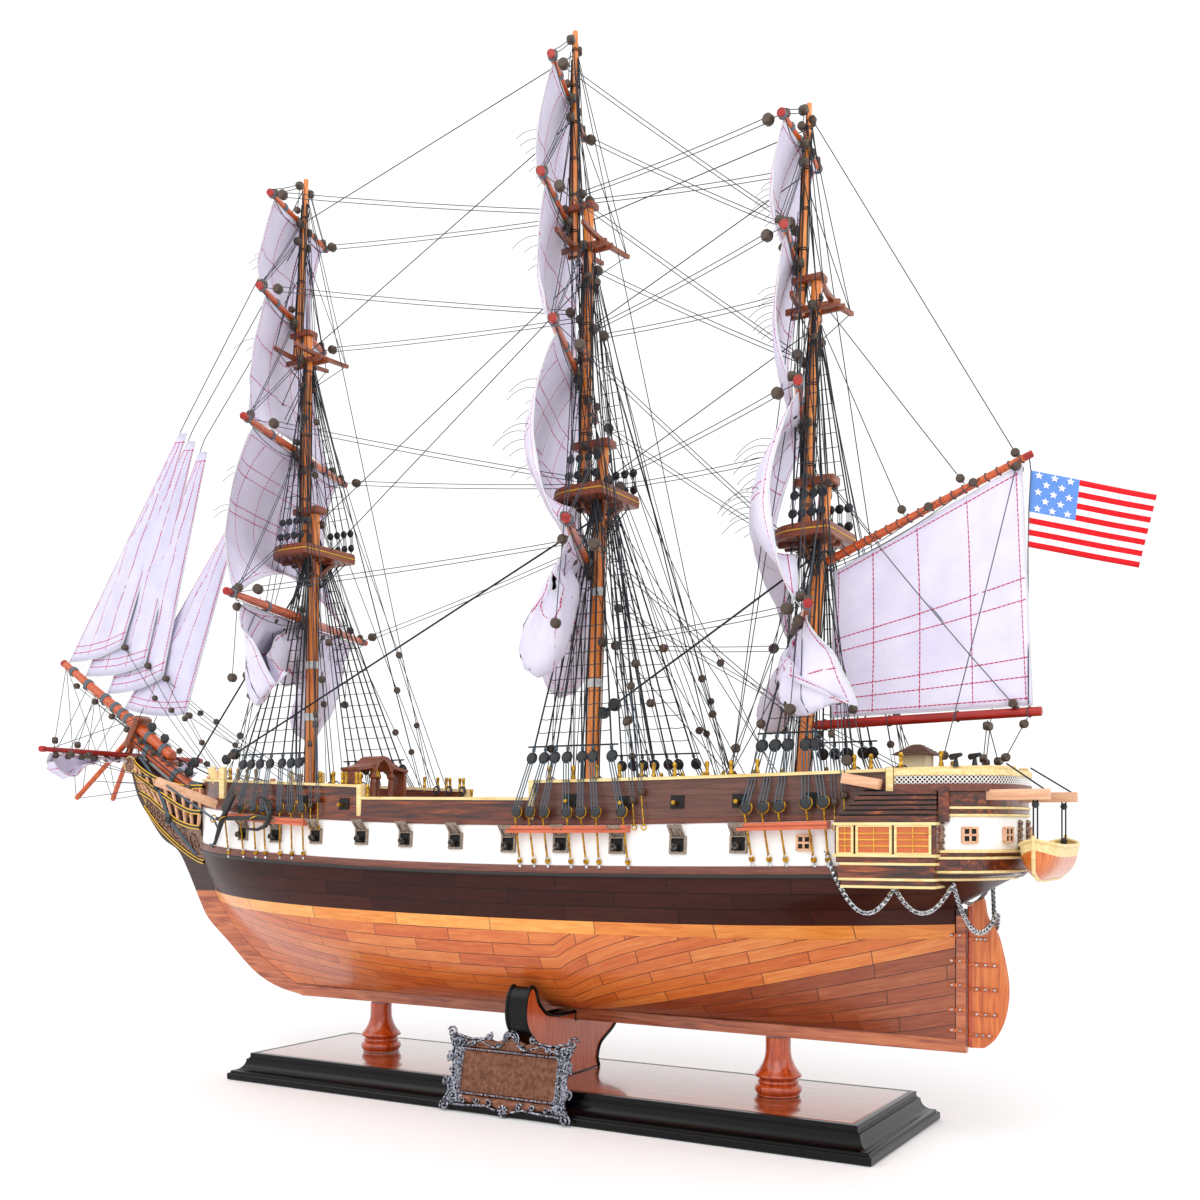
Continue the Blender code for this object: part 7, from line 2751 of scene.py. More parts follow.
def pin_foot(x, side):
    """Where a rope is made fast on the rail."""
    z = rail_top(x) + 3.0
    return Vector((x, side * (half_breadth(x, level_at(x, rail_top(x))) - 3.0), z))


class FRIGATE_OT_running_rigging(bpy.types.Operator):
    """Lead the braces, lifts, clewlines, sheets and falls, with their blocks."""

    bl_idname = "frigate.running_rigging"
    bl_label = "Running Rigging"

    def execute(self, context):
        sizes = context.scene.frigate_rigging
        braces = []
        lifts = []
        clewlines = []
        falls = []
        blocks = []
        for yard, mast, stage, z, pendant in BRACES:
            for side, _ in SIDES:
                arm = on_yard(yard, 0.93 * side)
                if mast is None:
                    end = pin_foot(-196.0, side)
                else:
                    x, radius = mast_at(mast, stage, z)
                    own = mast_at(YARDS[yard][0], YARDS[yard][1], YARDS[yard][2])[0]
                    back = 1.0 if x < own else -1.0
                    end = Vector((x + back * radius, side * (radius + 1.6), z))
                direction = (end - arm).normalized()
                first = arm + direction * pendant * 0.6
                last = end - direction * 5.0
                blocks += [block_place(first, direction), block_place(last, direction, 0.92)]
                braces.append([arm, first])
                for shift in (-1.5, 1.5):
                    spread = Vector((0.0, 0.0, shift))
                    braces.append(sagged(first + spread, last + spread * 0.8, 1.2, 6))
                if mast is not None:
                    x_pin = PIN_PLACES[mast][int(z) % len(PIN_PLACES[mast])]
                    falls.append([last, pin_foot(x_pin, side)])
        for yard, stage, z in LIFTS:
            mast = YARDS[yard][0]
            for side, _ in SIDES:
                arm = on_yard(yard, 0.93 * side)
                x, radius = mast_at(mast, stage, z)
                end = Vector((x, side * (radius + 1.4), z))
                direction = (end - arm).normalized()
                blocks += [block_place(end - direction * 4.0, direction, 0.88),
                           block_place(arm + direction * 4.0, direction, 0.8)]
                for shift in (-1.1, 1.1):
                    lifts.append(sagged(arm + Vector((0, 0, 2.0 + shift)),
                                        end - direction * 4.0 + Vector((0, 0, shift)), 0.8, 5))
                # The fall runs down beside the mast to the deck
                x_deck = mast_at(mast, "lower", mast_foot(mast, "lower") + 12.0)[0]
                falls.append([end, Vector((x_deck + 7.0 + (z % 5.0), side * (5.0 + z % 3.0),
                                           mast_foot(mast, "lower") + 14.0))])
        for upper, lower in CLEWS:
            mast = YARDS[upper][0]
            for side, _ in SIDES:
                clew = on_yard(lower, 0.80 * side, up=4.0, out=3.0)
                inner = on_yard(upper, 0.16 * side, up=-4.5, out=-4.0)
                direction = (inner - clew).normalized()
                blocks += [block_place(clew + Vector((0, 0, 2.0)), direction, 0.85),
                           block_place(inner, direction, 0.85)]
                for shift in (-0.9, 0.9):
                    clewlines.append(sagged(clew + Vector((shift, 0, 2)),
                                            inner + Vector((shift, 0, 0)), 1.5, 6))
                # The sheet leads in along the lower yard, then down the mast
                slot = on_yard(lower, 0.90 * side, up=-3.2, out=-1.0)
                heart = on_yard(lower, 0.07 * side, up=-5.0, out=-2.0)
                blocks.append(block_place(heart, (0, 0, 1), 0.85))
                clewlines.append([clew, slot, heart])
                number = len(PIN_PLACES[mast])
                pin = PIN_PLACES[mast][int(YARDS[lower][3]) % number]
                falls.append([heart, pin_foot(pin, side)])
                # Buntline blocks, over the sail's fore side
                for share in (0.30, 0.55):
                    high = on_yard(upper, share * side, up=-3.0, out=3.0)
                    blocks.append(block_place(high, (0, 0, 1), 0.7))
        # Brails and buntline blocks beside the courses
        for yard in ("fore_course_yard", "main_course_yard", "crossjack_yard"):
            for side, _ in SIDES:
                for share in (0.34, 0.62, 0.80):
                    high = on_yard(yard, share * side, up=-5.5, out=4.0)
                    low = high - Vector((0, 0, 26.0 + 20.0 * share))
                    blocks += [block_place(high, (0, 0, 1), 0.85),
                               block_place(low + Vector((4, 0, 0)), (0, 0, 1), 0.9)]
                    clewlines.append([high, low + Vector((4, 0, 0))])
        cords("braces", braces, sizes.rope * 0.34, "running_cord", sides=5)
        cords("lifts", lifts, sizes.rope * 0.34, "running_cord", sides=5)
        cords("clewlines", clewlines, sizes.rope * 0.34, "running_cord", sides=5)
        cords("falls", falls, sizes.rope * 0.36, "standing_cord", sides=5)
        fittings("rigging_blocks", eye_pattern(sizes.block / 2, sizes.block * 0.78, 12), blocks,
                 "block_wood")
        return {"FINISHED"}


class FRIGATE_OT_mast_lines(bpy.types.Operator):
    """Lead the halyards and falls from the tops to the rails, and the ropes on the masts."""

    bl_idname = "frigate.mast_lines"
    bl_label = "Halyards"

    def execute(self, context):
        lines = []
        strips = []
        blocks = []
        for mast, data in MASTS.items():
            z_top = data["top"][3]
            cross_z = data["cross"][0]
            places = PIN_PLACES[mast]
            heights = (z_top - 4.0, z_top + 34.0, cross_z - 8.0, z_top - 10.0, z_top + 60.0,
                       cross_z - 30.0)
            for side, _ in SIDES:
                for number, x_pin in enumerate(places):
                    z = heights[number % len(heights)]
                    stage = "lower" if z < z_top + 20.0 else "topmast"
                    x, radius = mast_at(mast, stage, z)
                    head = Vector((x - 1.0, side * (radius + 1.0), z))
                    foot = pin_foot(x_pin + 3.0, side)
                    lines.append([head, foot])
                    direction = head - foot
                    spot = foot.lerp(head, 0.10 + 0.05 * number)
                    blocks.append(block_place(spot, direction, 0.9))
                    blocks.append(block_place(foot.lerp(head, 0.97), direction, 0.85))
            # Ropes that run down the front and the back of the mast itself
            for stage, low, high in (("lower", mast_foot(mast, "lower") + 12.0, z_top - 14.0),
                                     ("topmast", z_top + 8.0, cross_z - 8.0),
                                     ("topgallant", cross_z + 6.0,
                                      data["topgallant"][1][1] - 16.0)):
                for angle in (-0.5, -0.18, 0.14, 0.46, 2.8, 3.3):
                    line = []
                    for k in range(7):
                        z = low + (high - low) * k / 6
                        x, radius = mast_at(mast, stage, z)
                        reach = radius + 0.35 + 0.5 * math.sin(k * 1.9 + angle * 9.0) ** 2
                        line.append(Vector((x + reach * math.cos(angle),
                                            reach * math.sin(angle), z)))
                    strips.append(line)
            # Jeer and halyard blocks at the slings of each yard
            for yard, row in YARDS.items():
                if row[0] != mast:
                    continue
                middle = yard_line(yard)[0]
                rise = min(24.0, data["topgallant"][1][1] - 5.0 - middle.z)
                for y in (-4.0, 4.0):
                    blocks.append(block_place(
                        middle + Vector((-2.0, y, 6.0)), (0, 0, 1), 0.85))
                    lines.append([middle + Vector((-2.0, y, 3.0)),
                                  middle + Vector((-3.5, y * 0.8, rise))])
        cords("halyards", lines, 0.27, "running_cord", sides=5)
        cords("mast_ropes", strips, 0.34, "standing_cord", sides=5)
        fittings("halyard_blocks", eye_pattern(2.6, 4.0, 12), blocks, "block_wood")
        return {"FINISHED"}


class FRIGATE_OT_head_rigging(bpy.types.Operator):
    """Lead the headsail sheets, bobstays, guys and the spritsail yard's gear."""

    bl_idname = "frigate.head_rigging"
    bl_label = "Head Rigging"

    def execute(self, context):
        ropes = []
        thin = []
        blocks = []
        for name in HEADSAILS:
            _, _, clew = headsail_corners(name)
            blocks.append(block_place(clew - Vector((3.0, 0, 1.0)), (1, 0, 0.4), 0.95))
            for side, _ in SIDES:
                pin = pin_foot(247.0 - 8.0 * list(HEADSAILS).index(name), side)
                thin.append(sagged(clew - Vector((3.0, 0, 1.5)), pin, 4.0, 8))
                spot = sagged(clew, pin, 4.0, 8)[3]
                blocks.append(block_place(spot, pin - clew, 0.8))
        # Bobstays, from the bowsprit's cap and middle down to the stem
        for start, end in ((bowsprit_point(100.0, -4.0), Vector((349.0, 0, 172.0))),
                           (bowsprit_point(88.0, -4.4), Vector((338.0, 0, 160.0)))):
            ropes.append([start, end])
            blocks.append((start.lerp(end, 0.18), (0, 0, 1), (0, 1, 0), 1.0))
            blocks.append((start.lerp(end, 0.40), (0, 0, 1), (0, 1, 0), 1.0))
        tip = bowsprit_point(JIB_HEEL + JIB_LENGTH - 4.0, JIB_OFFSET)
        middle = bowsprit_point(JIB_HEEL + 96.0, JIB_OFFSET)
        for side, _ in SIDES:
            head, stick = martingale(side)
            bow = Vector((312.0, side * 9.0, 187.0))
            for start, end in ((tip, stick), (middle, stick.lerp(head, 0.12)),
                               (stick, bow), (stick.lerp(head, 0.3), bow)):
                thin.append([start, end])
            # Bowsprit shrouds
            cap = bowsprit_point(104.0, 0.0, side * 5.0)
            side_point = hull_side(262.0, 176.0, side, 1.0)
            ropes.append([cap, side_point])
            blocks.append(block_place(cap.lerp(side_point, 0.82), side_point - cap, 1.0))
            blocks.append(block_place(cap.lerp(side_point, 0.93), side_point - cap, 1.0))
            # Guys from the jib-boom to the spritsail yard and back to the catheads
            for share, boom_point in ((0.86, tip), (0.62, middle)):
                arm = on_spritsail_yard(share * side)
                thin.append([boom_point, arm])
                cathead = Vector((262.0, side * 59.0, 188.0))
                thin.append(sagged(arm, cathead, 2.0, 6))
                blocks.append(block_place(arm.lerp(boom_point, 0.10), boom_point - arm, 0.95))
                blocks.append(block_place(arm.lerp(cathead, 0.16), cathead - arm, 0.95))
            for share in (0.12, 0.26, 0.40, 0.55, 0.70, 0.84):
                arm = on_spritsail_yard(share * side)
                blocks.append(block_place(arm - Vector((0, 0, 3.6)), SPRITSAIL_ALONG, 0.9))
                lead = bowsprit_point(JIB_HEEL + 30.0 + 90.0 * share, JIB_OFFSET - 5.0)
                thin.append([arm - Vector((0, 0, 1.5)), lead])
            lift = bowsprit_point(108.0, 18.0)
            thin.append([on_spritsail_yard(0.92 * side), lift])
        for distance in (14.0, 30.0, 47.0, 66.0, 88.0, 112.0):
            for y in (-4.2, 4.2):
                blocks.append(block_place(
                    bowsprit_point(JIB_HEEL + distance, JIB_OFFSET - 5.2, y), (1, 0, 0.6), 0.9))
            thin.append([bowsprit_point(JIB_HEEL + distance, JIB_OFFSET - 5.2, 4.2),
                         bowsprit_point(36.0, 6.5, 5.0)])
        cords("head_ropes", ropes, 0.5, "standing_cord", sides=6)
        cords("head_lines", thin, 0.25, "running_cord", sides=5)
        fittings("head_blocks", eye_pattern(2.6, 4.0, 12), blocks, "block_wood")
        return {"FINISHED"}


# For the ropes that start beside the pivot, the share of their way at which a point between their ends
# is taken
BEND_SHARE = {"topping_lift": 0.12, "brails": 0.2}


class FRIGATE_OT_spanker_rigging(bpy.types.Operator):
    """Lead the ropes between the ship and the spanker's boom and gaff."""

    bl_idname = "frigate.spanker_rigging"
    bl_label = "Spanker Rigging"

    def execute(self, context):
        peak = Vector((-262.0, 0.0, 334.6))
        # Lines from the ship to the swinging spars, each with its sag
        sets = {
            "peak_halyard": [
                (Vector((-158.6, 0.0, 436.0)), Vector((-236.0, 0.0, 326.0)), 0.0),
                (Vector((-158.0, 0.0, 428.0)), Vector((-206.0, 0.0, 314.0)), 0.0),
                (Vector((-155.2, 0.0, 530.0)), peak, 0.0)],
            "topping_lift": [
                (Vector((-165.0, 4.0, 338.0)), Vector((-262.0, 2.6, 214.0)), 2.0),
                (Vector((-165.0, -4.0, 338.0)), Vector((-262.0, -2.6, 214.0)), 2.0)],
            "vangs": [
                (pin_foot(-236.0, 1.0), peak + Vector((0, 2.4, -1)), 1.0),
                (pin_foot(-236.0, -1.0), peak + Vector((0, -2.4, -1)), 1.0)],
            "boom_sheet": [
                (Vector((-249.0, 17.0, 187.0)), Vector((-247.0, 0.0, 209.5)), 0.0),
                (Vector((-249.0, -17.0, 187.0)), Vector((-247.0, 0.0, 209.5)), 0.0),
                (Vector((-256.0, 9.0, 187.4)), Vector((-266.0, 0.0, 210.0)), 0.0)],
            "brails": [
                (Vector((-167.0, 3.6, 292.0)), Vector((-222.0, 2.2, 318.0)), 3.0),
                (Vector((-167.0, 3.6, 290.0)), Vector((-244.0, 2.2, 327.0)), 4.0)],
        }
        for name, lines in sets.items():
            drawn = [sagged(a, b, sag, 10) for a, b, sag in lines]
            rope = cords(f"spanker_{name}", drawn, 0.27, "running_cord", None, sides=5)
            start = sum((Vector(a) for a, _, _ in lines), Vector()) / len(lines)
            end = sum((Vector(b) for _, b, _ in lines), Vector()) / len(lines)
            end = start.lerp(end, BEND_SHARE.get(name, 1.0))
            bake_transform(rope)
        still = []
        moving = []
        for name, lines in sets.items():
            for a, b, _ in lines:
                direction = (b - a).normalized()
                # The brails run through eyes in the mast, and need no block there
                if name != "brails":
                    still.append(block_place(a + direction * 4.0, direction, 0.85))
                moving.append(block_place(b - direction * 3.6, direction, 0.85))
        fittings("spanker_ship_blocks", eye_pattern(2.6, 4.0, 12), still, "block_wood")
        fittings("spanker_spar_blocks", eye_pattern(2.6, 4.0, 12), moving, "block_wood",
                 "spanker_gear")
        return {"FINISHED"}


# Head, stem and rudder

def add_board(bm, outline, half, bevel=0.5, index=0):
    """An upright board on the centre plane from an outline in (X, Z), with eased edges."""
    rings = []
    for y, shrink in ((-half, bevel), (-half + bevel, 0.0), (half - bevel, 0.0), (half, bevel)):
        rings.append([(place.x, y, place.y) for place in inset(outline, shrink)])
    rows = add_loft(bm, rings, caps=False)
    for row in (rows[0], rows[-1]):
        add_cap(bm, row, index)


class FRIGATE_OT_stem(bpy.types.Operator):
    """Shape the keel, stem and knee of the head with its carved panel and disc."""

    bl_idname = "frigate.stem"
    bl_label = "Keel and Stem"

    def execute(self, context):
        outer = [
            (201.0, 48.0), (235.5, 57.9), (265.5, 80.2), (283.9, 94.7), (292.7, 107.6),
            (304.8, 128.6), (314.6, 141.6), (329.9, 150.0), (345.4, 166.5), (355.9, 180.3),
            (362.3, 197.0)]
        line = spline_points([(-237.3, KEEL_BOTTOM), (150.0, KEEL_BOTTOM)] + outer, 5)
        inner = []
        for k in range(25):
            level = 150.0 - 96.0 * k / 24
            x = bow_end(level)
            inner.append((x + GAP, height(x, level)))
        rabbet = [(POST_X - GAP, RABBET_LEVEL - GAP)]
        post_top = height(POST_X, TUCK_LEVEL) - 2 * GAP
        outline = [(-237.3, KEEL_BOTTOM)] + [(p.x, p.y) for p in line if p.x > 150.0]
        outline += [(356.0, 208.0), (350.0, 207.2), (300.0, 175.8), (287.5, 168.0)]
        outline += inner + rabbet + [(POST_X - GAP, post_top), (-237.3, post_top)]
        bm = bmesh.new()
        add_board(bm, outline, 2.5, 0.35)
        piece = piece_from("stem_and_keel", bm, "stem_timber", smooth=30.0)
        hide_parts("keel")
        # The disc at the top of the stem: dark, with a cream ring
        bm = bmesh.new()
        turn = Matrix.Rotation(math.pi / 2, 4, "X")
        lathe(bm, ((0, -3.6), (4.6, -3.6), (5.0, -3.3), (6.2, -3.3), (6.5, -3.0), (6.5, 3.0),
                   (6.2, 3.3), (5.0, 3.3), (4.6, 3.6), (0, 3.6)), (0.0, 0.0), segments=28)
        bmesh.ops.transform(
            bm, matrix=Matrix.Translation((362.5, 0.0, 203.0)) @ turn, verts=bm.verts)
        piece_from("stem_disc", bm, "carved_relief", smooth=40.0)
        rings = [ring_line((362.5, y, 203.0), 5.7, (0, 1, 0), 24) for y in (-3.5, 3.5)]
        cords("stem_disc_rings", rings, 0.55, "boxwood", sides=6)
        # Carved scroll panels on both sides of the knee
        bm = bmesh.new()
        panel = [(352.0, 200.0), (357.5, 196.0), (352.0, 184.0), (342.0, 171.0), (328.0, 157.5),
                 (314.0, 150.5), (306.0, 145.0), (299.0, 150.0), (300.0, 164.0), (312.0, 173.5),
                 (332.0, 188.5)]
        for side, _ in SIDES:
            low = [bm.verts.new((x, side * 2.45, z)) for x, z in panel]
            high = [bm.verts.new((332 + (x - 332) * 0.97, side * 3.3, 172 + (z - 172) * 0.97))
                    for x, z in panel]
            for k in range(len(panel)):
                j = (k + 1) % len(panel)
                bm.faces.new((low[k], low[j], high[j], high[k]))
            add_cap(bm, high)
            add_cap(bm, low)
        piece_from("knee_panels", bm, "carved_relief", smooth=30.0)
        curls = []
        for side, _ in SIDES:
            loop = [(x, side * 3.4, z) for x, z in panel]
            curls.append((loop + [loop[0]], 1.0))
        cords("knee_scrolls", curls, 0.38, "yellow_line", sides=5)
        return {"FINISHED"}


# The port head rails from the highest to the lowest, each from the stem aft
HEAD_RAILS = (
    ((357.0, 3.6, 206.0), (351.0, 5.0, 201.5), (334.0, 9.0, 194.5), (314.0, 12.5, 189.0),
     (288.0, 19.0, 185.4), (262.0, 27.0, 184.6)),
    ((356.5, 3.6, 199.0), (352.4, 5.2, 195.0), (340.0, 7.2, 189.5), (327.8, 9.5, 184.0),
     (310.0, 13.5, 177.5), (295.5, 17.5, 172.5), (276.0, 25.0, 168.5), (260.0, 31.0, 167.5)),
    ((350.7, 3.8, 183.5), (338.0, 6.0, 179.0), (326.3, 8.5, 173.5), (311.0, 12.5, 167.0),
     (297.7, 16.5, 162.0), (280.0, 22.0, 158.6), (264.5, 28.0, 157.5)),
    ((346.0, 3.4, 172.0), (336.0, 4.0, 163.0), (326.0, 5.2, 155.5), (312.0, 7.0, 147.5),
     (298.0, 8.5, 140.5), (286.6, 10.0, 136.0), (275.0, 14.0, 134.0)),
)


class FRIGATE_OT_head(bpy.types.Operator):
    """Bend the head rails, and set their timbers, the catheads and the anchors."""

    bl_idname = "frigate.head"
    bl_label = "Head and Anchors"

    def execute(self, context):
        lines = []
        golds = []
        timbers = bmesh.new()
        relief = bmesh.new()
        boards = bmesh.new()
        scrolls = []
        for side, _ in SIDES:
            rails = []
            for points in HEAD_RAILS:
                rail = spline_points([(x, side * y, z) for x, y, z in points], 5)
                rails.append(rail)
                lines.append((rail, 1.0))
                for lift, out in ((1.05, 1.0), (-1.05, 1.0)):
                    golds.append(([p + Vector((0, side * out, lift)) for p in rail], 1.0))
            for share in (0.1, 0.21, 0.32, 0.43, 0.54, 0.65, 0.76, 0.87, 0.97):
                chain = [rail[round(share * (len(rail) - 1))] for rail in rails[:3]]
                for a, b in zip(chain, chain[1:]):
                    add_rod(timbers, a, b, (1.25, 1.05), sides=8)
            # The carved panel between the lower two rails, with its scrolls
            upper, lower = rails[2], rails[3]
            sections = []
            for k in range(21):
                a = upper[round(k / 20 * (len(upper) - 1))]
                b = lower[round(k / 20 * (len(lower) - 1))]
                inward = Vector((0, -side, 0))
                sections.append([a + inward * 0.2, b + inward * 0.2, b + inward, a + inward])
            add_loft(relief, sections)
            for number, share in enumerate((0.14, 0.27, 0.41, 0.55, 0.70, 0.86)):
                a = upper[round(share * (len(upper) - 1))]
                b = lower[round(share * (len(lower) - 1))]
                size = (a - b).length * 0.36
                fall = (b - a).normalized()
                ahead = (upper[-1] - upper[0]).normalized()
                spin = 1 if number % 2 else -1
                middle = (a + b) / 2 + Vector((0, side * 0.5, 0))
                spiral = curl(spin * 0.8, spin * 3.2 * math.pi, size, 0.85, 20)
                scrolls.append(([middle + ahead * u + fall * v for _, u, v in spiral], 1.0))
            # Timberheads along the bow
            for x, z in ((262.0, 188.0), (254.0, 191.0), (236.0, 194.0)):
                y_rail = half_breadth(x, 178.0) - 1.4
                foot = rail_top(x)
                add_block(timbers, (2.6, 2.6, z - foot), (x, side * y_rail, (z + foot) / 2),
                          bevel=0.4)
                add_block(timbers, (3.3, 3.3, 1.8), (x, side * y_rail, z), bevel=0.5)
            slant = Matrix.Rotation(side * 0.45, 3, "Z")
            slant = slant @ Matrix.Rotation(math.radians(24.0), 3, "Y")
            add_block(boards, (5.4, 2.0, 11.0), (242.6, side * 35.8, 191.6), turn=slant, bevel=0.3)
            add_block(boards, (4.4, 3.0, 20.0), (224.0, side * 45.6, 186.0), bevel=0.3)
        for side, word in SIDES:
            rail_lines = [row for k, row in enumerate(lines) if (k < 4) == (side > 0)]
            piece = cords(f"head_rails_{word}_black", rail_lines, 1.5, "black_rail", sides=8)
            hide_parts(f"head_rails_{word}")
        cords("head_rail_lines", golds, 0.55, "yellow_line", sides=5)
        cords("head_scrolls", scrolls, 0.5, "carved_relief", sides=5)
        piece_from("bow_boards", boards, "boxwood", smooth=30.0)
        piece_from("head_timbers", timbers, "beech", smooth=30.0)
        piece_from("head_relief", relief, "carved_relief", smooth=30.0)
        # Catheads with their sheaves
        bm = bmesh.new()
        for side, _ in SIDES:
            root = Vector((235.0, side * 37.6, 171.6))
            tip = Vector((267.0, side * 62.0, 187.4))
            direction = tip - root
            turn = direction.to_track_quat("X", "Z").to_matrix()
            add_block(bm, (direction.length, 4.8, 5.8), (root + tip) / 2, turn=turn, bevel=0.4)
            for shift in (-1.1, 1.1):
                spot = root.lerp(tip, 0.93) + turn @ Vector((0, shift, 0))
                add_block(bm, (4.2, 0.8, 6.2), spot, turn=turn, bevel=0.2)
        piece_from("catheads", bm, "beech", smooth=30.0)
        # Anchors, lashed against the sides, with their cables
        iron = bmesh.new()
        ropes = []
        hearts = []
        rings = []
        for side, _ in SIDES:
            def at(x, z, out):
                return hull_side(x, z, side, out)
            crown = at(169.5, 163.4, 7.6)
            eye = at(216.0, 163.0, 12.0)
            add_rod(iron, crown, eye, (1.6, 1.2), sides=10)
            for arm in (((171.0, 158.6, 7.8), (178.0, 156.2, 8.4), (188.0, 156.6, 9.2)),
                        ((167.0, 168.0, 7.6), (170.0, 173.5, 8.0), (178.0, 176.5, 8.4))):
                line = [crown] + [at(*stop) for stop in arm]
                for k in range(3):
                    add_rod(iron, line[k], line[k + 1], (1.6 - 0.3 * k, 1.3 - 0.3 * k), sides=8)
                palm = (line[3] - line[2]).to_track_quat("X", "Z").to_matrix()
                add_block(iron, (6.4, 3.4, 0.9), (line[2] + line[3]) / 2, turn=palm, bevel=0.2)
            add_rod(iron, at(200.5, 178.0, 9.6), at(210.0, 163.0, 11.6), (1.0, 1.9), sides=8)
            add_rod(iron, at(210.0, 163.0, 11.6), at(219.5, 147.0, 10.4), (1.9, 1.0), sides=8)
            ring_spot = at(219.0, 163.0, 12.6)
            rings.append(ring_line(ring_spot, 2.3, (0, side, 0.2), 16))
            for x in (181.0, 208.6):
                out = 8.8 if x < 200 else 11.4
                rings.append(ring_line(at(x, 163.2, out), 2.6, (0.5, 0, 1), 14))
            ropes.append(spline_points([
                ring_spot, at(227.0, 155.0, 3.0), at(236.0, 146.0, 2.0), at(243.0, 146.5, 0.6)], 5))
            ropes.append([crown + Vector((0, 0, 1.5)), at(180.0, 176.0, 3.0)])
            ropes.append([ring_spot, Vector((263.0, side * 59.5, 186.0))])
            # Bobstays with their hearts, from the bowsprit down to the stem
            for shift in (-0.8, 0.8):
                ropes.append([Vector((352.0 + shift, side * 3.0, 208.0)),
                              Vector((339.8 + shift, side * 6.0, 199.0)),
                              Vector((324.0 + shift, side * 11.5, 185.5)),
                              Vector((306.6 + shift, side * 16.5, 162.6)),
                              Vector((280.0 + shift, side * 17.0, 139.0))])
            hearts += [block_place(Vector((324.0, side * 12.4, 185.5)), (0.6, 0, 0.8), 1.0),
                       block_place(Vector((306.6, side * 17.4, 162.6)), (0.6, 0, 0.8), 1.0)]
        fittings("bobstay_hearts", eye_pattern(2.6, 3.2, 12), hearts, "black_wood")
        piece_from("anchors", iron, "black_iron", smooth=35.0)
        cords("anchor_cables", ropes, 0.7, "lanyard_cord", sides=7)
        cords("anchor_rings", rings, 0.45, "brass", sides=6)
        return {"FINISHED"}


# (x from the rudder's axis, z), from its head round to its foot
RUDDER_EDGE = (
    (0.0, 119.4), (-6.0, 122.5), (-7.4, 114.0), (-10.9, 108.0), (-13.7, 101.0), (-17.4, 81.3),
    (-16.0, 66.0), (-11.5, 55.5), (-6.5, 50.5), (0.0, 49.8),
)


class FRIGATE_OT_rudder(bpy.types.Operator):
    """Plank the rudder, and set its straps, nails and chains."""

    bl_idname = "frigate.rudder"
    bl_label = "Rudder"

    def execute(self, context):
        after = spline_points(RUDDER_EDGE[1:9], 5)
        outline = [(RUDDER_AXIS_X + x, z) for x, z in [RUDDER_EDGE[0]]
                   + [(p.x, p.y) for p in after] + [RUDDER_EDGE[9]]]
        bm = bmesh.new()
        add_board(bm, outline[::-1], 1.7, 0.35)
        piece = piece_from("rudder_blade", bm, "rudder_board", "rudder", smooth=30.0)
        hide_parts("rudder")
        bm = bmesh.new()
        add_rod(bm, (RUDDER_AXIS_X, 0, 50.0), (RUDDER_AXIS_X, 0, 119.0), (1.95, 1.95), sides=20)
        piece_from("rudder_edge", bm, "turned_mahogany", "rudder", smooth=40.0)
        straps = bmesh.new()
        fixed = bmesh.new()
        nails = []
        hull_nails = []
        for z in (103.0, 90.5, 78.6, 66.5, 56.3):
            reach = 13.5 if z < 100.0 else 9.0
            reach = min(reach, 11.0) if z < 60.0 else reach
            for side, _ in SIDES:
                add_block(straps, (reach, 0.5, 2.0),
                          (RUDDER_AXIS_X - reach / 2 + 0.5, side * 1.95, z), bevel=0.12)
                for k in range(3):
                    spot = (RUDDER_AXIS_X - 3.0 - k * (reach - 5.0) / 2, side * 2.15, z)
                    nails.append((spot, (1, 0, 0), (0, side, 0), 0.85))
                level = level_at(-234.0, z + 1.5)
                wide = max(half_breadth(-231.0, level), 2.5) + 0.25
                add_block(fixed, (9.0, 0.5, 2.0), (-233.0, side * max(wide, 2.75), z + 1.6),
                          bevel=0.12)
                for k in range(2):
                    hull_nails.append(((-230.5 - 4.0 * k, side * (max(wide, 2.75) + 0.2), z + 1.6),
                                       (1, 0, 0), (0, side, 0), 0.85))
        piece_from("rudder_straps", straps, "copper", "rudder", smooth=30.0)
        piece_from("post_straps", fixed, "copper", smooth=30.0)
        fittings("rudder_nails", nail_pattern(0.85, 0.35, 0.5), nails, "nickel", "rudder")
        fittings("post_nails", nail_pattern(0.85, 0.35, 0.5), hull_nails, "nickel")
        # Curb chains in three bights under the counter
        links = []
        last = []
        for side, _ in SIDES:
            posts = [hull_side(-184.6, 146.2, side, 1.4), hull_side(-216.0, 129.6, side, 2.2),
                     hull_side(-240.5, 131.2, side, 2.0)]
            runs = [(posts[0], posts[1], 20.0), (posts[1], posts[2], 13.0)]
            for a, b, sag in runs:
                links += chain_links(a, b, sag, side)
            end = Vector((-251.6, side * 1.9, 115.2))
            last += chain_links(posts[2], end, 15.0, side)
        fittings("side_chains", link_pattern(), links, "nickel")
        chain = fittings("rudder_chains", link_pattern(), last, "nickel", None)
        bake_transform(chain)
        return {"FINISHED"}


def link_pattern():
    """One flat link, few-sided because there are hundreds of them."""
    bm = bmesh.new()
    rings = []
    for k in range(8):
        angle = 2 * math.pi * k / 8
        centre = Vector((1.25 * math.cos(angle), 0.85 * math.sin(angle), 0.0))
        outward = Vector((math.cos(angle), math.sin(angle), 0.0))
        rings.append(circle(centre, outward, Vector((0, 0, 1)), 0.4, 5))
    add_loft(bm, rings, ring=True)
    return bm


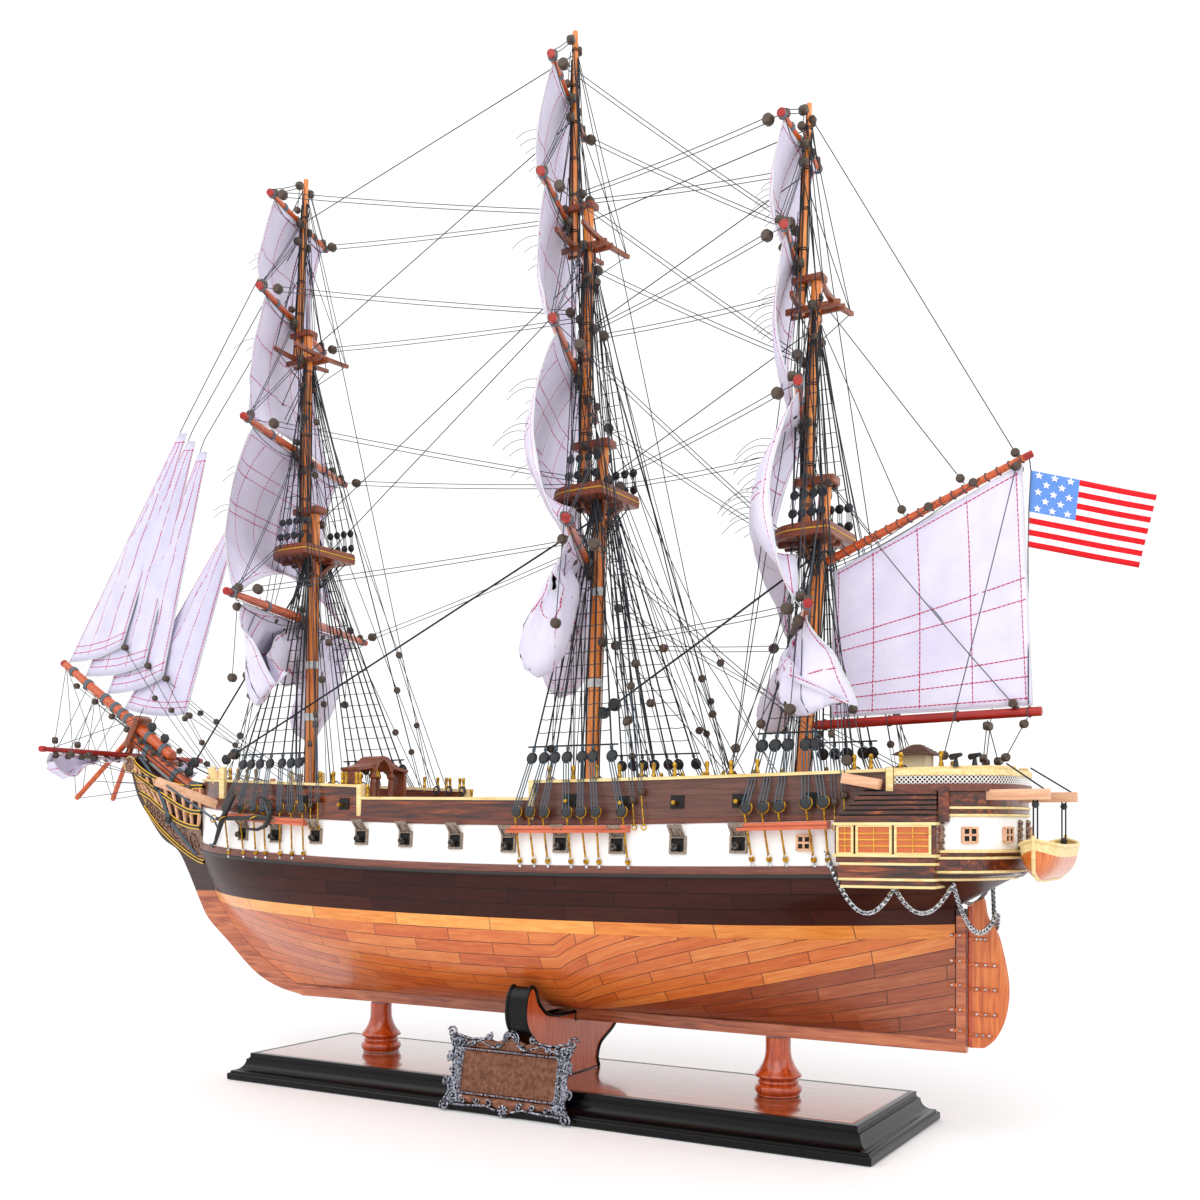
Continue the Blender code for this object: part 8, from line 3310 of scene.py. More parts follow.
def chain_links(start, end, sag, side):
    """Links of a hanging chain that keep clear of the hull."""
    line = sagged(start, end, sag, 40)
    for k, point in enumerate(line):
        level = level_at(point.x, point.z)
        if point.x > stern_end(level) + 1.0:
            clear = half_breadth(point.x, level) + 1.3
            if abs(point.y) < clear:
                line[k] = Vector((point.x, side * clear, point.z))
    places = []
    total = sum((a - b).length for a, b in zip(line, line[1:]))
    count = int(total / 1.35)
    walked = 0.0
    index = 0
    for k in range(count):
        target = (k + 0.5) * total / count
        while walked + (line[index + 1] - line[index]).length < target:
            walked += (line[index + 1] - line[index]).length
            index += 1
        step = line[index + 1] - line[index]
        place = line[index] + step.normalized() * (target - walked)
        flat = Vector((0, side, 0.75)) if k % 2 else Vector((0, side, -0.75))
        places.append((place, step.normalized(), flat, 1.0))
    return places


# Stern and quarter galleries

def stern_belt(bm, low, high, out, index=0, count=26, x_from=-236.0):
    """A moulding round the stern between two heights, from one gallery to the other."""
    rows = []
    mean = level_at(-250.0, (low + high) / 2)
    for point, outward in outline_at(mean, count * 2):
        if point.x < x_from:
            rows.append((point.x, outward))
    rows = [(x_from, Vector((0.0, 1.0)))] + rows

    def section(x, outward, side):
        made = []
        for z, reach in ((low, -1.2), (low, out - 0.25), (low + 0.3, out), (high - 0.3, out),
                         (high, out - 0.25), (high, -1.2)):
            y = half_breadth(x, level_at(x, min(z, 182.0)))
            made.append((x + outward.x * reach, side * max(y + outward.y * reach, 0.02), z))
        return made

    port = [section(x, outward, 1.0) for x, outward in rows]
    starboard = [section(x, outward, -1.0) for x, outward in reversed(rows)]
    add_loft(bm, port + starboard, indices=[index])


# From the foot up: low, high, how far it stands out, its wood (0 rosewood, 1 boxwood, 2 walnut)
STERN_MOULDINGS = (
    (132.6, 133.8, 1.9, 1), (133.8, 136.3, 1.4, 0), (136.3, 137.5, 2.2, 1), (137.5, 142.7, 1.7, 0),
    (142.7, 143.9, 2.5, 1), (143.9, 145.7, 2.0, 0), (145.7, 146.9, 2.8, 1),
    (162.4, 163.6, 1.9, 1), (163.6, 165.8, 1.5, 0), (165.8, 167.0, 2.1, 1), (167.0, 174.0, 1.3, 0),
)
# The lattice rail above them starts further forward, behind a post
RAIL_FORE = -216.0
RAIL_MOULDINGS = ((174.0, 177.6, 2.6, 2), (181.4, 184.4, 2.8, 1))


def gallery_face(x, reach):
    """How far out from the centre plane a quarter gallery's face is."""
    return half_breadth(x, level_at(x, 150.0)) + reach


def gallery_slab(bm, low, high, reach, fore, aft, side, index=0):
    """A block that follows the ship's side, for one layer of a quarter gallery."""
    sections = []
    for k in range(9):
        x = fore + (aft - fore) * k / 8
        hull = half_breadth(x, level_at(x, min((low + high) / 2, 176.0)))
        outer = gallery_face(x, reach)
        sections.append([(x, side * (hull - 1.5), low), (x, side * outer, low),
                         (x, side * outer, high), (x, side * (hull - 1.5), high)])
    add_loft(bm, sections, indices=[index])


class FRIGATE_OT_stern(bpy.types.Operator):
    """Build the round stern: mouldings, windows, ornaments and the lattice rail."""

    bl_idname = "frigate.stern"
    bl_label = "Stern"

    def execute(self, context):
        bm = bmesh.new()
        for low, high, out, cream in STERN_MOULDINGS:
            stern_belt(bm, low, high, out, index=cream)
        for low, high, out, cream in RAIL_MOULDINGS:
            stern_belt(bm, low, high, out, index=cream, x_from=RAIL_FORE)
        for side, _ in SIDES:
            y = half_breadth(RAIL_FORE, level_at(RAIL_FORE, 180.0))
            add_block(bm, (4.0, 4.6, 11.6), (RAIL_FORE + 1.6, side * (y + 1.0), 179.8),
                      index=1, bevel=0.3)
        piece_from("stern_mouldings", bm, ("rosewood", "boxwood", "walnut_strip"), smooth=30.0)
        bm = bmesh.new()
        stern_belt(bm, 146.9, 162.4, 0.9)
        piece_from("stern_white", bm, "white_band", smooth=40.0)
        # White diamond lattice between two rails
        outline = []
        level = level_at(-250.0, 179.5)
        for point, outward in outline_at(level, 90):
            if point.x < RAIL_FORE:
                outline.append(Vector((point.x + outward.x * 1.9, point.y + outward.y * 1.9, 0)))
        outline = outline + [Vector((p.x, -p.y, 0)) for p in reversed(outline)]
        lengths = [0.0]
        for a, b in zip(outline, outline[1:]):
            lengths.append(lengths[-1] + (b - a).length)

        def on_rail(distance):
            distance = max(0.0, min(lengths[-1], distance))
            for k in range(len(lengths) - 1):
                if lengths[k + 1] >= distance:
                    share = (distance - lengths[k]) / max(lengths[k + 1] - lengths[k], 1e-6)
                    return outline[k].lerp(outline[k + 1], share)
            return outline[-1]

        lattice = []
        pitch = 2.1
        number = int(lengths[-1] / pitch)
        for k in range(-2, number + 1):
            for slope in (1, -1):
                line = []
                for step in range(5):
                    t = step / 4.0
                    place = (k + 2.0 * t) * pitch if slope > 0 else (k + 2.0 - 2.0 * t) * pitch
                    if 0.0 <= place <= lengths[-1]:
                        line.append(on_rail(place) + Vector((0, 0, 177.4 + 4.2 * t)))
                if len(line) > 1:
                    lattice.append(line)
        cords("stern_lattice", lattice, 0.25, "white_band", sides=4)
        # Four-pane windows round the stern, and one in each side further forward
        frames = bmesh.new()
        panes = bmesh.new()
        places = [stern_frame(y, 153.9) for y in (40.0, 22.5, -22.5, -40.0)]
        for side, _ in SIDES:
            places.append(side_frame(-173.3, 149.9, side, 0.2))
        for place in places:
            for u, v, w, h in ((0, 3.35, 7.8, 1.1), (0, -3.35, 7.8, 1.1), (3.35, 0, 1.1, 6.8),
                               (-3.35, 0, 1.1, 6.8), (0, 0, 6.6, 1.0), (0, 0, 1.0, 6.6)):
                add_framed(frames, place, (w, 1.6, h), (u, 0.9, v), bevel=0.12)
            # Near-black panes behind the frames: painted shade
            add_framed(panes, place, (6.4, 0.8, 6.4), (0, 0.75, 0))
        piece_from("stern_window_frames", frames, "beech", smooth=30.0)
        piece_from("stern_panes", panes, "dark_void", smooth=None)
        # Dark cast ornaments beside the windows: a scalloped leaf with a ridge and small curls
        bm = bmesh.new()
        curls = []
        for y in (45.6, 8.5, -8.5, -45.6):
            place = stern_frame(y, 153.6)
            rings = []
            for out, shrink in ((0.2, 1.0), (0.9, 0.92), (1.7, 0.35)):
                ring = []
                for k in range(40):
                    angle = 2 * math.pi * k / 40
                    up = 7.6 * math.sin(angle)
                    wide = 2.1 * math.cos(angle) * (1.0 + 0.28 * math.cos(5.0 * math.pi * up / 7.6))
                    ring.append(place @ Vector((wide * shrink, out, up * (0.4 + 0.6 * shrink))))
                rings.append(ring)
            add_loft(bm, rings)
            for up in (-6.0, -3.0, 0.0, 3.0, 6.0):
                for flip in (-1, 1):
                    spiral = curl(0.0, flip * 1.8 * math.pi, 1.5, 0.7, 8)
                    line = [place @ Vector((flip + u, 1.4, up + v)) for _, u, v in spiral]
                    curls.append((line, 1.0))
        piece_from("stern_ornaments", bm, "carved_relief", smooth=30.0)
        cords("stern_scrolls", curls, 0.36, "browned_casting", sides=5)
        return {"FINISHED"}


def stern_frame(y, z):
    """A frame on the round stern at a place across it."""
    level = level_at(-255.0, z)
    best = None
    for point, outward in outline_at(level, 400):
        if point.x < -236.0 and (best is None or abs(point.y - abs(y)) < abs(best[0].y - abs(y))):
            best = (point, outward)
    point, outward = best
    side = math.copysign(1.0, y) if y else 1.0
    if y == 0.0:
        point, outward = Vector((STERN_X, 0.0)), Vector((-1.0, 0.0))
    out = Vector((outward.x, side * outward.y, 0.0)).normalized()
    ahead = out.cross(Vector((0, 0, 1)))
    turn = Matrix((ahead, out, Vector((0, 0, 1)))).transposed()
    place = Vector((point.x, side * point.y, z)) + out * 0.8
    return Matrix.Translation(place) @ turn.to_4x4()


class FRIGATE_OT_galleries(bpy.types.Operator):
    """Build the quarter galleries with their windows, stripes and stepped roofs."""

    bl_idname = "frigate.galleries"
    bl_label = "Quarter Galleries"

    def execute(self, context):
        for side, word in SIDES:
            bm = bmesh.new()
            # Layers of kind 2 are near black: painted shade behind and between the windows
            layers = (
                (129.2, 130.4, 6.2, -193.0, -236.0, 1), (130.4, 132.7, 6.0, -193.2, -235.6, 0),
                (132.7, 133.9, 7.2, -192.4, -236.4, 1), (133.9, 139.9, 7.2, -192.2, -236.0, 0),
                (139.9, 141.1, 8.3, -193.4, -237.0, 1), (141.1, 143.7, 8.0, -191.5, -236.6, 0),
                (143.7, 145.0, 9.2, -190.4, -237.4, 1), (145.0, 158.4, 7.2, -191.6, -236.4, 2),
                (158.4, 159.7, 9.0, -190.6, -237.2, 1), (159.7, 161.2, 8.2, -191.0, -236.8, 0))
            for low, high, reach, fore, aft, kind in layers:
                gallery_slab(bm, low, high, reach, fore, aft, side, kind)
            # Stepped ribs of the roof, each one set back and shorter than the one below it, with a
            # near-black strip under each step: painted shade
            for k in range(6):
                low = 161.2 + 2.3 * k
                gallery_slab(bm, low, low + 1.5, 8.6 - 1.45 * k, -191.2 - 1.9 * k,
                             -237.0 + 0.3 * k, side, 0)
                gallery_slab(bm, low + 1.5, low + 2.3, 6.9 - 1.45 * k, -192.6 - 1.9 * k,
                             -236.4 + 0.3 * k, side, 2)
            gallery_slab(bm, 160.0, 175.5, 2.6, -236.6, -241.0, side, 0)
            # Corner posts
            gallery_slab(bm, 145.0, 158.4, 8.6, -235.4, -237.4, side, 0)
            gallery_slab(bm, 145.0, 158.4, 8.2, -191.0, -192.0, side, 0)
            body = piece_from(f"quarter_gallery_{word}_body", bm,
                              ("rosewood", "boxwood", "dark_void"), smooth=30.0)
            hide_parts(f"quarter_gallery_{word}")
            panes = bmesh.new()
            frames = bmesh.new()
            bars = []
            for fore, aft in ((-192.4, -199.4), (-201.6, -217.2), (-219.4, -234.6)):
                gallery_slab(panes, 145.6, 157.8, 7.7, fore, aft, side)
                for low, high in ((145.0, 145.8), (157.6, 158.4)):
                    gallery_slab(frames, low, high, 8.6, fore + 0.4, aft - 0.4, side)
                for x in (fore, aft):
                    gallery_slab(frames, 145.0, 158.4, 8.6, x + 0.55, x - 0.55, side)
                middle = (fore + aft) / 2
                out = gallery_face(middle, 8.0)
                bars.append([(middle, side * out, 145.8), (middle, side * out, 157.8)])
                for z in (148.8, 151.7, 154.6):
                    line = []
                    for k in range(3):
                        x = fore + (aft - fore) * k / 2
                        line.append((x, side * gallery_face(x, 8.0), z))
                    bars.append(line)
            piece_from(f"gallery_panes_{word}", panes, "orange_pane", smooth=None)
            piece_from(f"gallery_frames_{word}", frames, "boxwood", smooth=None)
            cords(f"gallery_bars_{word}", bars, 0.42, "yellow_wood", sides=5)
        return {"FINISHED"}


# Boat, deck and deck fittings

# The boat's middle and its half length
BOAT_X = -276.5
BOAT_HALF = 37.0


def boat_swell(share):
    """How the boat's half breadth grows from its ends, at -1 and 1, to its middle."""
    return 8.9 * max(1.0 - abs(share) ** 5.0, 0.0) ** 0.8


class FRIGATE_OT_boat(bpy.types.Operator):
    """Plank the ship's boat, and hang it from its davits."""

    bl_idname = "frigate.boat"
    bl_label = "Boat and Davits"

    def execute(self, context):
        bm = bmesh.new()
        sections = []
        count = 36
        for k in range(count + 1):
            share = math.cos(math.pi * k / count)
            y = BOAT_HALF * share
            top = 148.6 + 2.7 * share ** 4
            bottom = 133.0 + 5.0 * share ** 6
            half = 0.7 + boat_swell(share)
            outer = []
            for i in range(9):
                t = i / 8.0
                bulge = math.sin(math.pi / 2 * t) ** 0.75
                outer.append((half * max(bulge, 0.08), bottom + (top - bottom) * t ** 1.35))
            section = [(BOAT_X - x, y, z) for x, z in reversed(outer)]
            section += [(BOAT_X + x, y, z) for x, z in outer]
            inner = [(max(x - 0.7, 0.05), max(z, bottom + 1.0)) for x, z in outer]
            section += [(BOAT_X + x, y, z) for x, z in reversed(inner)]
            section += [(BOAT_X - x, y, z) for x, z in inner]
            sections.append(section)
        strips = [1, 1, 0, 0, 0, 0, 0, 0, 1, 0, 0, 0, 0, 0, 0, 1, 1, 1] + [1] * 18
        add_loft(bm, sections, indices=strips)
        hull = piece_from("boat_hull", bm, ("rudder_board", "boxwood"), smooth=45.0)
        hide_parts("boat")
        bm = bmesh.new()
        for y in (-22.0, -8.0, 8.0, 22.0):
            width = 2 * boat_swell(y / BOAT_HALF) - 0.4
            add_block(bm, (width, 3.6, 0.9), (BOAT_X, y, 144.6), bevel=0.2)
        piece_from("boat_thwarts", bm, "boxwood", smooth=30.0)
        rails = []
        for side in (-1, 1):
            line = []
            for k in range(25):
                share = math.cos(math.pi * k / 24)
                line.append((BOAT_X + side * (0.7 + boat_swell(share)), BOAT_HALF * share,
                             148.7 + 2.7 * share ** 4))
            rails.append(line)
        keel = []
        for k in range(25):
            share = math.cos(math.pi * k / 24)
            keel.append((BOAT_X, 37.4 * share, 132.8 + 5.0 * share ** 6))
        keel = [(BOAT_X, 37.4, 153.6)] + keel + [(BOAT_X, -37.4, 153.6)]
        cords("boat_rails", rails + [keel], 0.95, "boxwood", sides=6)
        bm = bmesh.new()
        ropes = []
        blocks = []
        for side, _ in SIDES:
            add_block(bm, (33.0, 3.8, 5.0), (-266.4, side * 33.0, 172.4), bevel=0.4)
            slant = Matrix.Rotation(math.radians(-10.5), 3, "Y")
            add_block(bm, (18.5, 5.0, 4.9), (-202.0, side * 54.0, 179.0), turn=slant, bevel=0.3)
            for shift in (-0.9, 0.9):
                ropes.append([(BOAT_X + shift, side * 33.0, 171.0),
                              (BOAT_X + shift, side * 33.0, 146.5)])
            blocks += [block_place(Vector((BOAT_X, side * 33.0, 167.8)), (0, 0, 1), 0.7),
                       block_place(Vector((BOAT_X, side * 33.0, 150.5)), (0, 0, 1), 0.7)]
            ropes.append([(-281.0, side * 33.0, 174.2), (-262.0, side * 26.0, 187.0)])
        piece_from("davits", bm, "beech", smooth=30.0)
        cords("boat_falls", ropes, 0.42, "standing_cord", sides=5)
        fittings("boat_blocks", eye_pattern(2.4, 3.4, 12), blocks, "black_wood")
        return {"FINISHED"}


def deck_grid(bm, x0, x1, half, z_up, step, width, index=0):
    """A grating: crossed slats in a frame."""
    z = deck_top((x0 + x1) / 2) + z_up
    count = int((x1 - x0) / step)
    for k in range(count + 1):
        x = x0 + (x1 - x0) * k / count
        add_block(bm, (width, 2 * half, 1.0), (x, 0.0, z), index=index)
    rows = int(2 * half / step)
    for k in range(rows + 1):
        y = -half + 2 * half * k / rows
        add_block(bm, (x1 - x0, width, 1.0), ((x0 + x1) / 2, y, z + 0.05), index=index)
    for y in (-half - 0.8, half + 0.8):
        add_block(bm, (x1 - x0 + 4.0, 2.0, 3.0), ((x0 + x1) / 2, y, z - 0.2), index=index)
    for x in (x0 - 1.0, x1 + 1.0):
        add_block(bm, (2.0, 2 * half + 3.6, 3.0), (x, 0.0, z - 0.2), index=index)


# (x, half width) of the bitts
BITTS = ((182.0, 9.0), (-36.0, 9.0), (-10.0, 9.0), (-138.0, 8.0))


class FRIGATE_OT_deck(bpy.types.Operator):
    """Lay the deck planks, and set the gratings, capstan, guns, and the pins along the rails."""

    bl_idname = "frigate.deck"
    bl_label = "Deck"

    def execute(self, context):
        bm = bmesh.new()
        layer = bm.loops.layers.uv.new("strakes")
        rows = []
        for point, outward in outline_at(BAND_LEVEL + GAP, 60):
            inner = point - outward * (BULWARK_THICKNESS + GAP)
            rows.append((inner.x, max(inner.y, 0.6)))
        rows.sort()
        grid = []
        for x, half in rows:
            top = deck_top(x)
            grid.append([bm.verts.new((x, half * (k / 8.0 - 1.0), top)) for k in range(17)])
        foot = [[bm.verts.new((x, -half, height(x, BAND_LEVEL) + GAP)),
                 bm.verts.new((x, half, height(x, BAND_LEVEL) + GAP))] for x, half in rows]
        for k in range(len(grid) - 1):
            for i in range(16):
                bm.faces.new((grid[k][i], grid[k + 1][i], grid[k + 1][i + 1], grid[k][i + 1]))
            bm.faces.new((foot[k][0], foot[k + 1][0], grid[k + 1][0], grid[k][0]))
            bm.faces.new((foot[k][1], grid[k][16], grid[k + 1][16], foot[k + 1][1]))
            bm.faces.new((foot[k][0], foot[k][1], foot[k + 1][1], foot[k + 1][0]))
        for k in (0, len(grid) - 1):
            bm.faces.new([foot[k][0], *grid[k], foot[k][1]])
        for face in bm.faces:
            for loop in face.loops:
                loop[layer].uv = (loop.vert.co.x, loop.vert.co.y / 4.2 + 40.0)
        deck = piece_from("deck_planking", bm, "deck_planks", smooth=None)
        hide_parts("spar_deck")
        # Gratings and hatches down the middle
        bm = bmesh.new()
        for x0, x1, half in ((88.0, 104.0, 13.0), (40.0, 78.0, 14.0), (4.0, 30.0, 14.0),
                             (-64.0, -46.0, 11.0), (-112.0, -92.0, 10.0)):
            deck_grid(bm, x0, x1, half, 1.4, 3.2, 1.2)
        piece_from("gratings", bm, "walnut_strip", smooth=None)
        # Capstan, bitts and the wheel's stand
        bm = bmesh.new()
        base = deck_top(-80.0)
        lathe(bm, ((0, base), (7, base + 0.2), (7, base + 1.4), (4.6, base + 2.0),
                   (3.4, base + 7.0), (5.6, base + 9.5), (5.6, base + 12.0), (4.6, base + 12.6),
                   (0, base + 12.8)), (-80.0, 0.0), segments=24)
        for x, half in BITTS:
            z = deck_top(x)
            for y in (-half, half):
                add_block(bm, (2.6, 2.6, 13.0), (x, y, z + 6.5), bevel=0.4)
            add_block(bm, (3.0, 2 * half + 6.0, 2.2), (x, 0, z + 11.0), bevel=0.4)
        add_block(bm, (3.4, 11.0, 10.0), (-182.0, 0.0, deck_top(-182.0) + 5.0), bevel=0.4)
        piece_from("capstan_and_bitts", bm, "top_mahogany", smooth=35.0)
        wheel = []
        z = deck_top(-182.0) + 13.0
        for radius in (3.2, 6.0):
            wheel.append(ring_line((-178.6, 0.0, z), radius, (1, 0, 0), 24))
        for k in range(10):
            angle = math.pi * k / 10
            spoke = Vector((0.0, math.cos(angle), math.sin(angle))) * 8.0
            centre = Vector((-178.6, 0.0, z))
            wheel.append([centre - spoke, centre + spoke])
        cords("steering_wheel", wheel, 0.45, "top_mahogany", sides=6)
        # Guns on the deck behind the small ports
        carriages = bmesh.new()
        barrels = bmesh.new()
        for x, z in UPPER_PORTS[:6]:
            for side, _ in SIDES:
                y = half_breadth(x, 168.0)
                z_deck = deck_top(x)
                centre = Vector((x, side * (y - 13.0), z_deck + 3.0))
                add_block(carriages, (5.6, 12.0, 3.6), centre, bevel=0.4)
                for dx in (-3.2, 3.2):
                    for dy in (-4.0, 4.0):
                        add_rod(carriages, centre + Vector((dx - 0.6, dy, -1.8)),
                                centre + Vector((dx + 0.6, dy, -1.8)), (1.5, 1.5), sides=10)
                start = Vector((x, side * (y - 21.0), z_deck + 7.6))
                end = Vector((x, side * (y - 2.2), z_deck + 8.4))
                add_rod(barrels, start, end, (2.1, 1.3), sides=14)
                add_rod(barrels, start - Vector((0, side * 1.8, 0)), start, (0.7, 1.6), sides=10)
        piece_from("gun_carriages", carriages, "walnut_strip", smooth=35.0)
        piece_from("gun_barrels", barrels, "brass", smooth=40.0)
        # Belaying pins, on the rails and on the bitts
        pins = []
        for side, _ in SIDES:
            for x in (231.0, 222.0, 213.0, 203.0, 194.0, 137.0, 126.0, 119.0, 116.0, 108.0, 105.0,
                      99.0, -27.0, -42.0, -56.0, -70.0, -83.0, -90.0, -102.0, -120.0, -133.0,
                      -147.0, -196.0, -204.0, -218.0, -236.0):
                top = rail_top(x)
                y = half_breadth(x, level_at(x, top)) - 2.2
                pins.append((Vector((x, side * y, top + 1.7)), (1, 0, 0), (0, 0, 1), 1.0))
        for x, half in BITTS:
            for k in range(5):
                y = half * (k / 2.0 - 1.0)
                pins.append((Vector((x, y, deck_top(x) + 12.0)), (1, 0, 0), (0, 0, 1), 0.8))
        pin = bmesh.new()
        lathe(pin, ((0, -3.0), (0.6, -2.6), (0.6, 0.0), (1.2, 0.3), (1.3, 1.4), (0.85, 2.2),
                    (0.95, 4.6), (1.25, 6.2), (0.8, 7.2), (0, 7.4)), (0.0, 0.0), segments=10)
        fittings("belaying_pins", pin, pins, "brass")
        # Coils of rope hung on some of the pins
        coils = []
        for number, (point, _, _, size) in enumerate(pins):
            if number % 2 == 0 and size > 0.9:
                inward = Vector((0, -math.copysign(1.0, point.y), 0))
                for turn in range(3):
                    ring = ring_line(point + inward * (1.2 + 0.5 * turn) - Vector((0, 0, 1.4)),
                                     3.0 - 0.2 * turn, inward + Vector((0.3, 0, 0.1)), 14)
                    coils.append(ring)
        cords("rope_coils", coils, 0.36, "running_cord", sides=5)
        return {"FINISHED"}


class FRIGATE_OT_houses(bpy.types.Operator):
    """Build the belfry on the forecastle and the small house at the stern."""

    bl_idname = "frigate.houses"
    bl_label = "Belfry and House"

    def execute(self, context):
        # Belfry: a roof that sweeps up to a round ridge, on two boards and four turned posts
        bm = bmesh.new()
        foot = deck_top(144.0) + 0.5
        for side in (-1, 1):
            add_block(bm, (13.0, 2.6, 193.4 - foot), (137.0, side * 22.4, (193.4 + foot) / 2),
                      bevel=0.5)
            for x in (131.6, 142.4):
                lathe(bm, ((0, foot), (2.2, foot), (2.2, foot + 3.0), (1.3, foot + 4.6),
                           (1.7, 184.0), (1.3, 188.0), (2.3, 189.0), (2.3, 191.0), (1.5, 192.0),
                           (2.4, 196.6), (0, 196.6)), (x, side * 8.6), segments=16)
        top = [(0.0, 202.9), (4.4, 202.0), (8.4, 199.4), (12.4, 197.2), (18.0, 195.7),
               (24.4, 194.9)]
        half = [(p.x, p.y) for p in spline_points(top, 4)]
        under = [(24.4, 192.9), (18.0, 193.6), (11.0, 194.8), (8.2, 195.0), (7.2, 193.0),
                 (6.0, 194.6), (3.4, 198.4), (0.0, 200.4)]
        ring = [*half, *under, *[(-y, z) for y, z in under[-2::-1]],
                *[(-y, z) for y, z in half[:0:-1]]]
        rows = add_loft(bm, [[(x, y, z) for y, z in ring] for x in (129.8, 144.2)], caps=False)
        for row in rows:
            add_cap(bm, row)
        piece = piece_from("belfry_arch", bm, "top_mahogany", smooth=35.0)
        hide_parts("belfry")
        bell = bmesh.new()
        lathe(bell, ((0, 197.0), (1.6, 196.6), (2.4, 194.4), (2.9, 193.4), (4.0, 189.6),
                     (3.6, 189.4), (0, 190.4)), (137.0, 0.0), segments=24)
        piece_from("ship_bell", bell, "brass", smooth=40.0)
        # Stern house with a hip roof in steps
        bm = bmesh.new()
        foot = deck_top(-220.0) + 0.5
        cx = -212.7
        add_loft(bm, [level_square(cx, 0.0, z, 5.8, 5.8) for z in (foot, 193.4)])
        for sx in (-1, 1):
            for sy in (-1, 1):
                add_block(bm, (1.4, 1.4, 193.4 - foot), (cx + sx * 5.6, sy * 5.6,
                          (193.4 + foot) / 2), bevel=0.2)
        house = piece_from("house_walls", bm, "cream_enamel", smooth=None)
        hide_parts("cabin")
        bm = bmesh.new()
        for k in range(6):
            low = 193.4 + 0.9 * k
            half = 10.2 - 1.42 * k
            steps = ((low, half), (low + 0.4, half), (low + 0.95, half - 1.45))
            add_loft(bm, [level_square(cx, 0.0, z, reach, reach) for z, reach in steps])
        piece_from("house_roof", bm, "roof_brown", smooth=None)
        bm = bmesh.new()
        for sx, sy in ((1, 0), (-1, 0), (0, 1), (0, -1)):
            place = (cx + sx * 5.85, sy * 5.85, foot + 10.0)
            size = (0.5, 5.0, 6.0) if sx else (5.0, 0.5, 6.0)
            add_block(bm, size, place, bevel=0.1)
        piece_from("house_windows", bm, "orange_pane", smooth=None)
        # Two small swivel guns on the port side of the stern rail
        bm = bmesh.new()
        for x, y in ((-243.0, 42.5), (-250.0, 36.0)):
            base = Vector((x, y, rail_top(x) + 1.2))
            add_rod(bm, base, base + Vector((0, 0, 4.2)), (1.5, 0.8), sides=8)
            out = Vector((-0.75, 0.66, 0.1)).normalized()
            middle = base + Vector((0, 0, 5.0))
            add_rod(bm, middle - out * 3.4, middle + out * 4.2, (1.5, 0.9), sides=12)
        piece_from("swivel_guns", bm, "black_iron", smooth=40.0)
        return {"FINISHED"}


# Stage

class FRIGATE_OT_stage(bpy.types.Operator):
    """Lay the pale floor, and set the soft lights and the camera."""

    bl_idname = "frigate.stage"
    bl_label = "Floor, Lights and Camera"

    def execute(self, context):
        stage = context.scene.frigate_stage
        half = stage.floor
        mesh = bpy.data.meshes.new("floor")
        corners = [(-half, -half), (half, -half), (half, half), (-half, half)]
        mesh.from_pydata([(x, y, -0.0002) for x, y in corners], [], [(0, 1, 2, 3)])
        mesh.materials.append(finish("floor_sweep"))
        floor = bpy.data.objects.new("floor", mesh)
        context.scene.collection.objects.link(floor)
        world = bpy.data.worlds.new("studio")
        world.use_nodes = True
        sky = world.node_tree.nodes["Background"]
        sky.inputs["Color"].default_value = (*stage.glow, 1.0)
        sky.inputs["Strength"].default_value = 1.12
        context.scene.world = world
        context.scene.view_settings.view_transform = "Standard"
        # A large light over the port side, and weaker ones from astern and from the bow
        for place, size, power in (((-0.5, 1.5, 1.7), 1.6, stage.power * 1.5),
                                   ((-1.7, 0.4, 1.2), 1.2, stage.power * 0.55),
                                   ((1.3, 1.0, 1.5), 1.2, stage.power * 0.6)):
            lamp = bpy.data.lights.new("soft_light", "AREA")
            lamp.size = size
            lamp.energy = power
            light = bpy.data.objects.new("soft_light", lamp)
            light.location = place
            aim = Vector((0.0, 0.0, 0.25)) - Vector(place)
            light.rotation_euler = aim.to_track_quat("-Z", "Y").to_euler()
            context.scene.collection.objects.link(light)
        lens = bpy.data.cameras.new("photo_view")
        lens.sensor_width = 36.0
        lens.lens = 38.733
        lens.shift_y = 0.1902
        lens.clip_start = 0.01
        camera = bpy.data.objects.new("photo_view", lens)
        camera.location = (-0.4013, 0.6372, 0.1570)
        camera.rotation_euler = (math.radians(90.0), 0.0, math.radians(210.31))
        context.scene.collection.objects.link(camera)
        context.scene.camera = camera
        return {"FINISHED"}


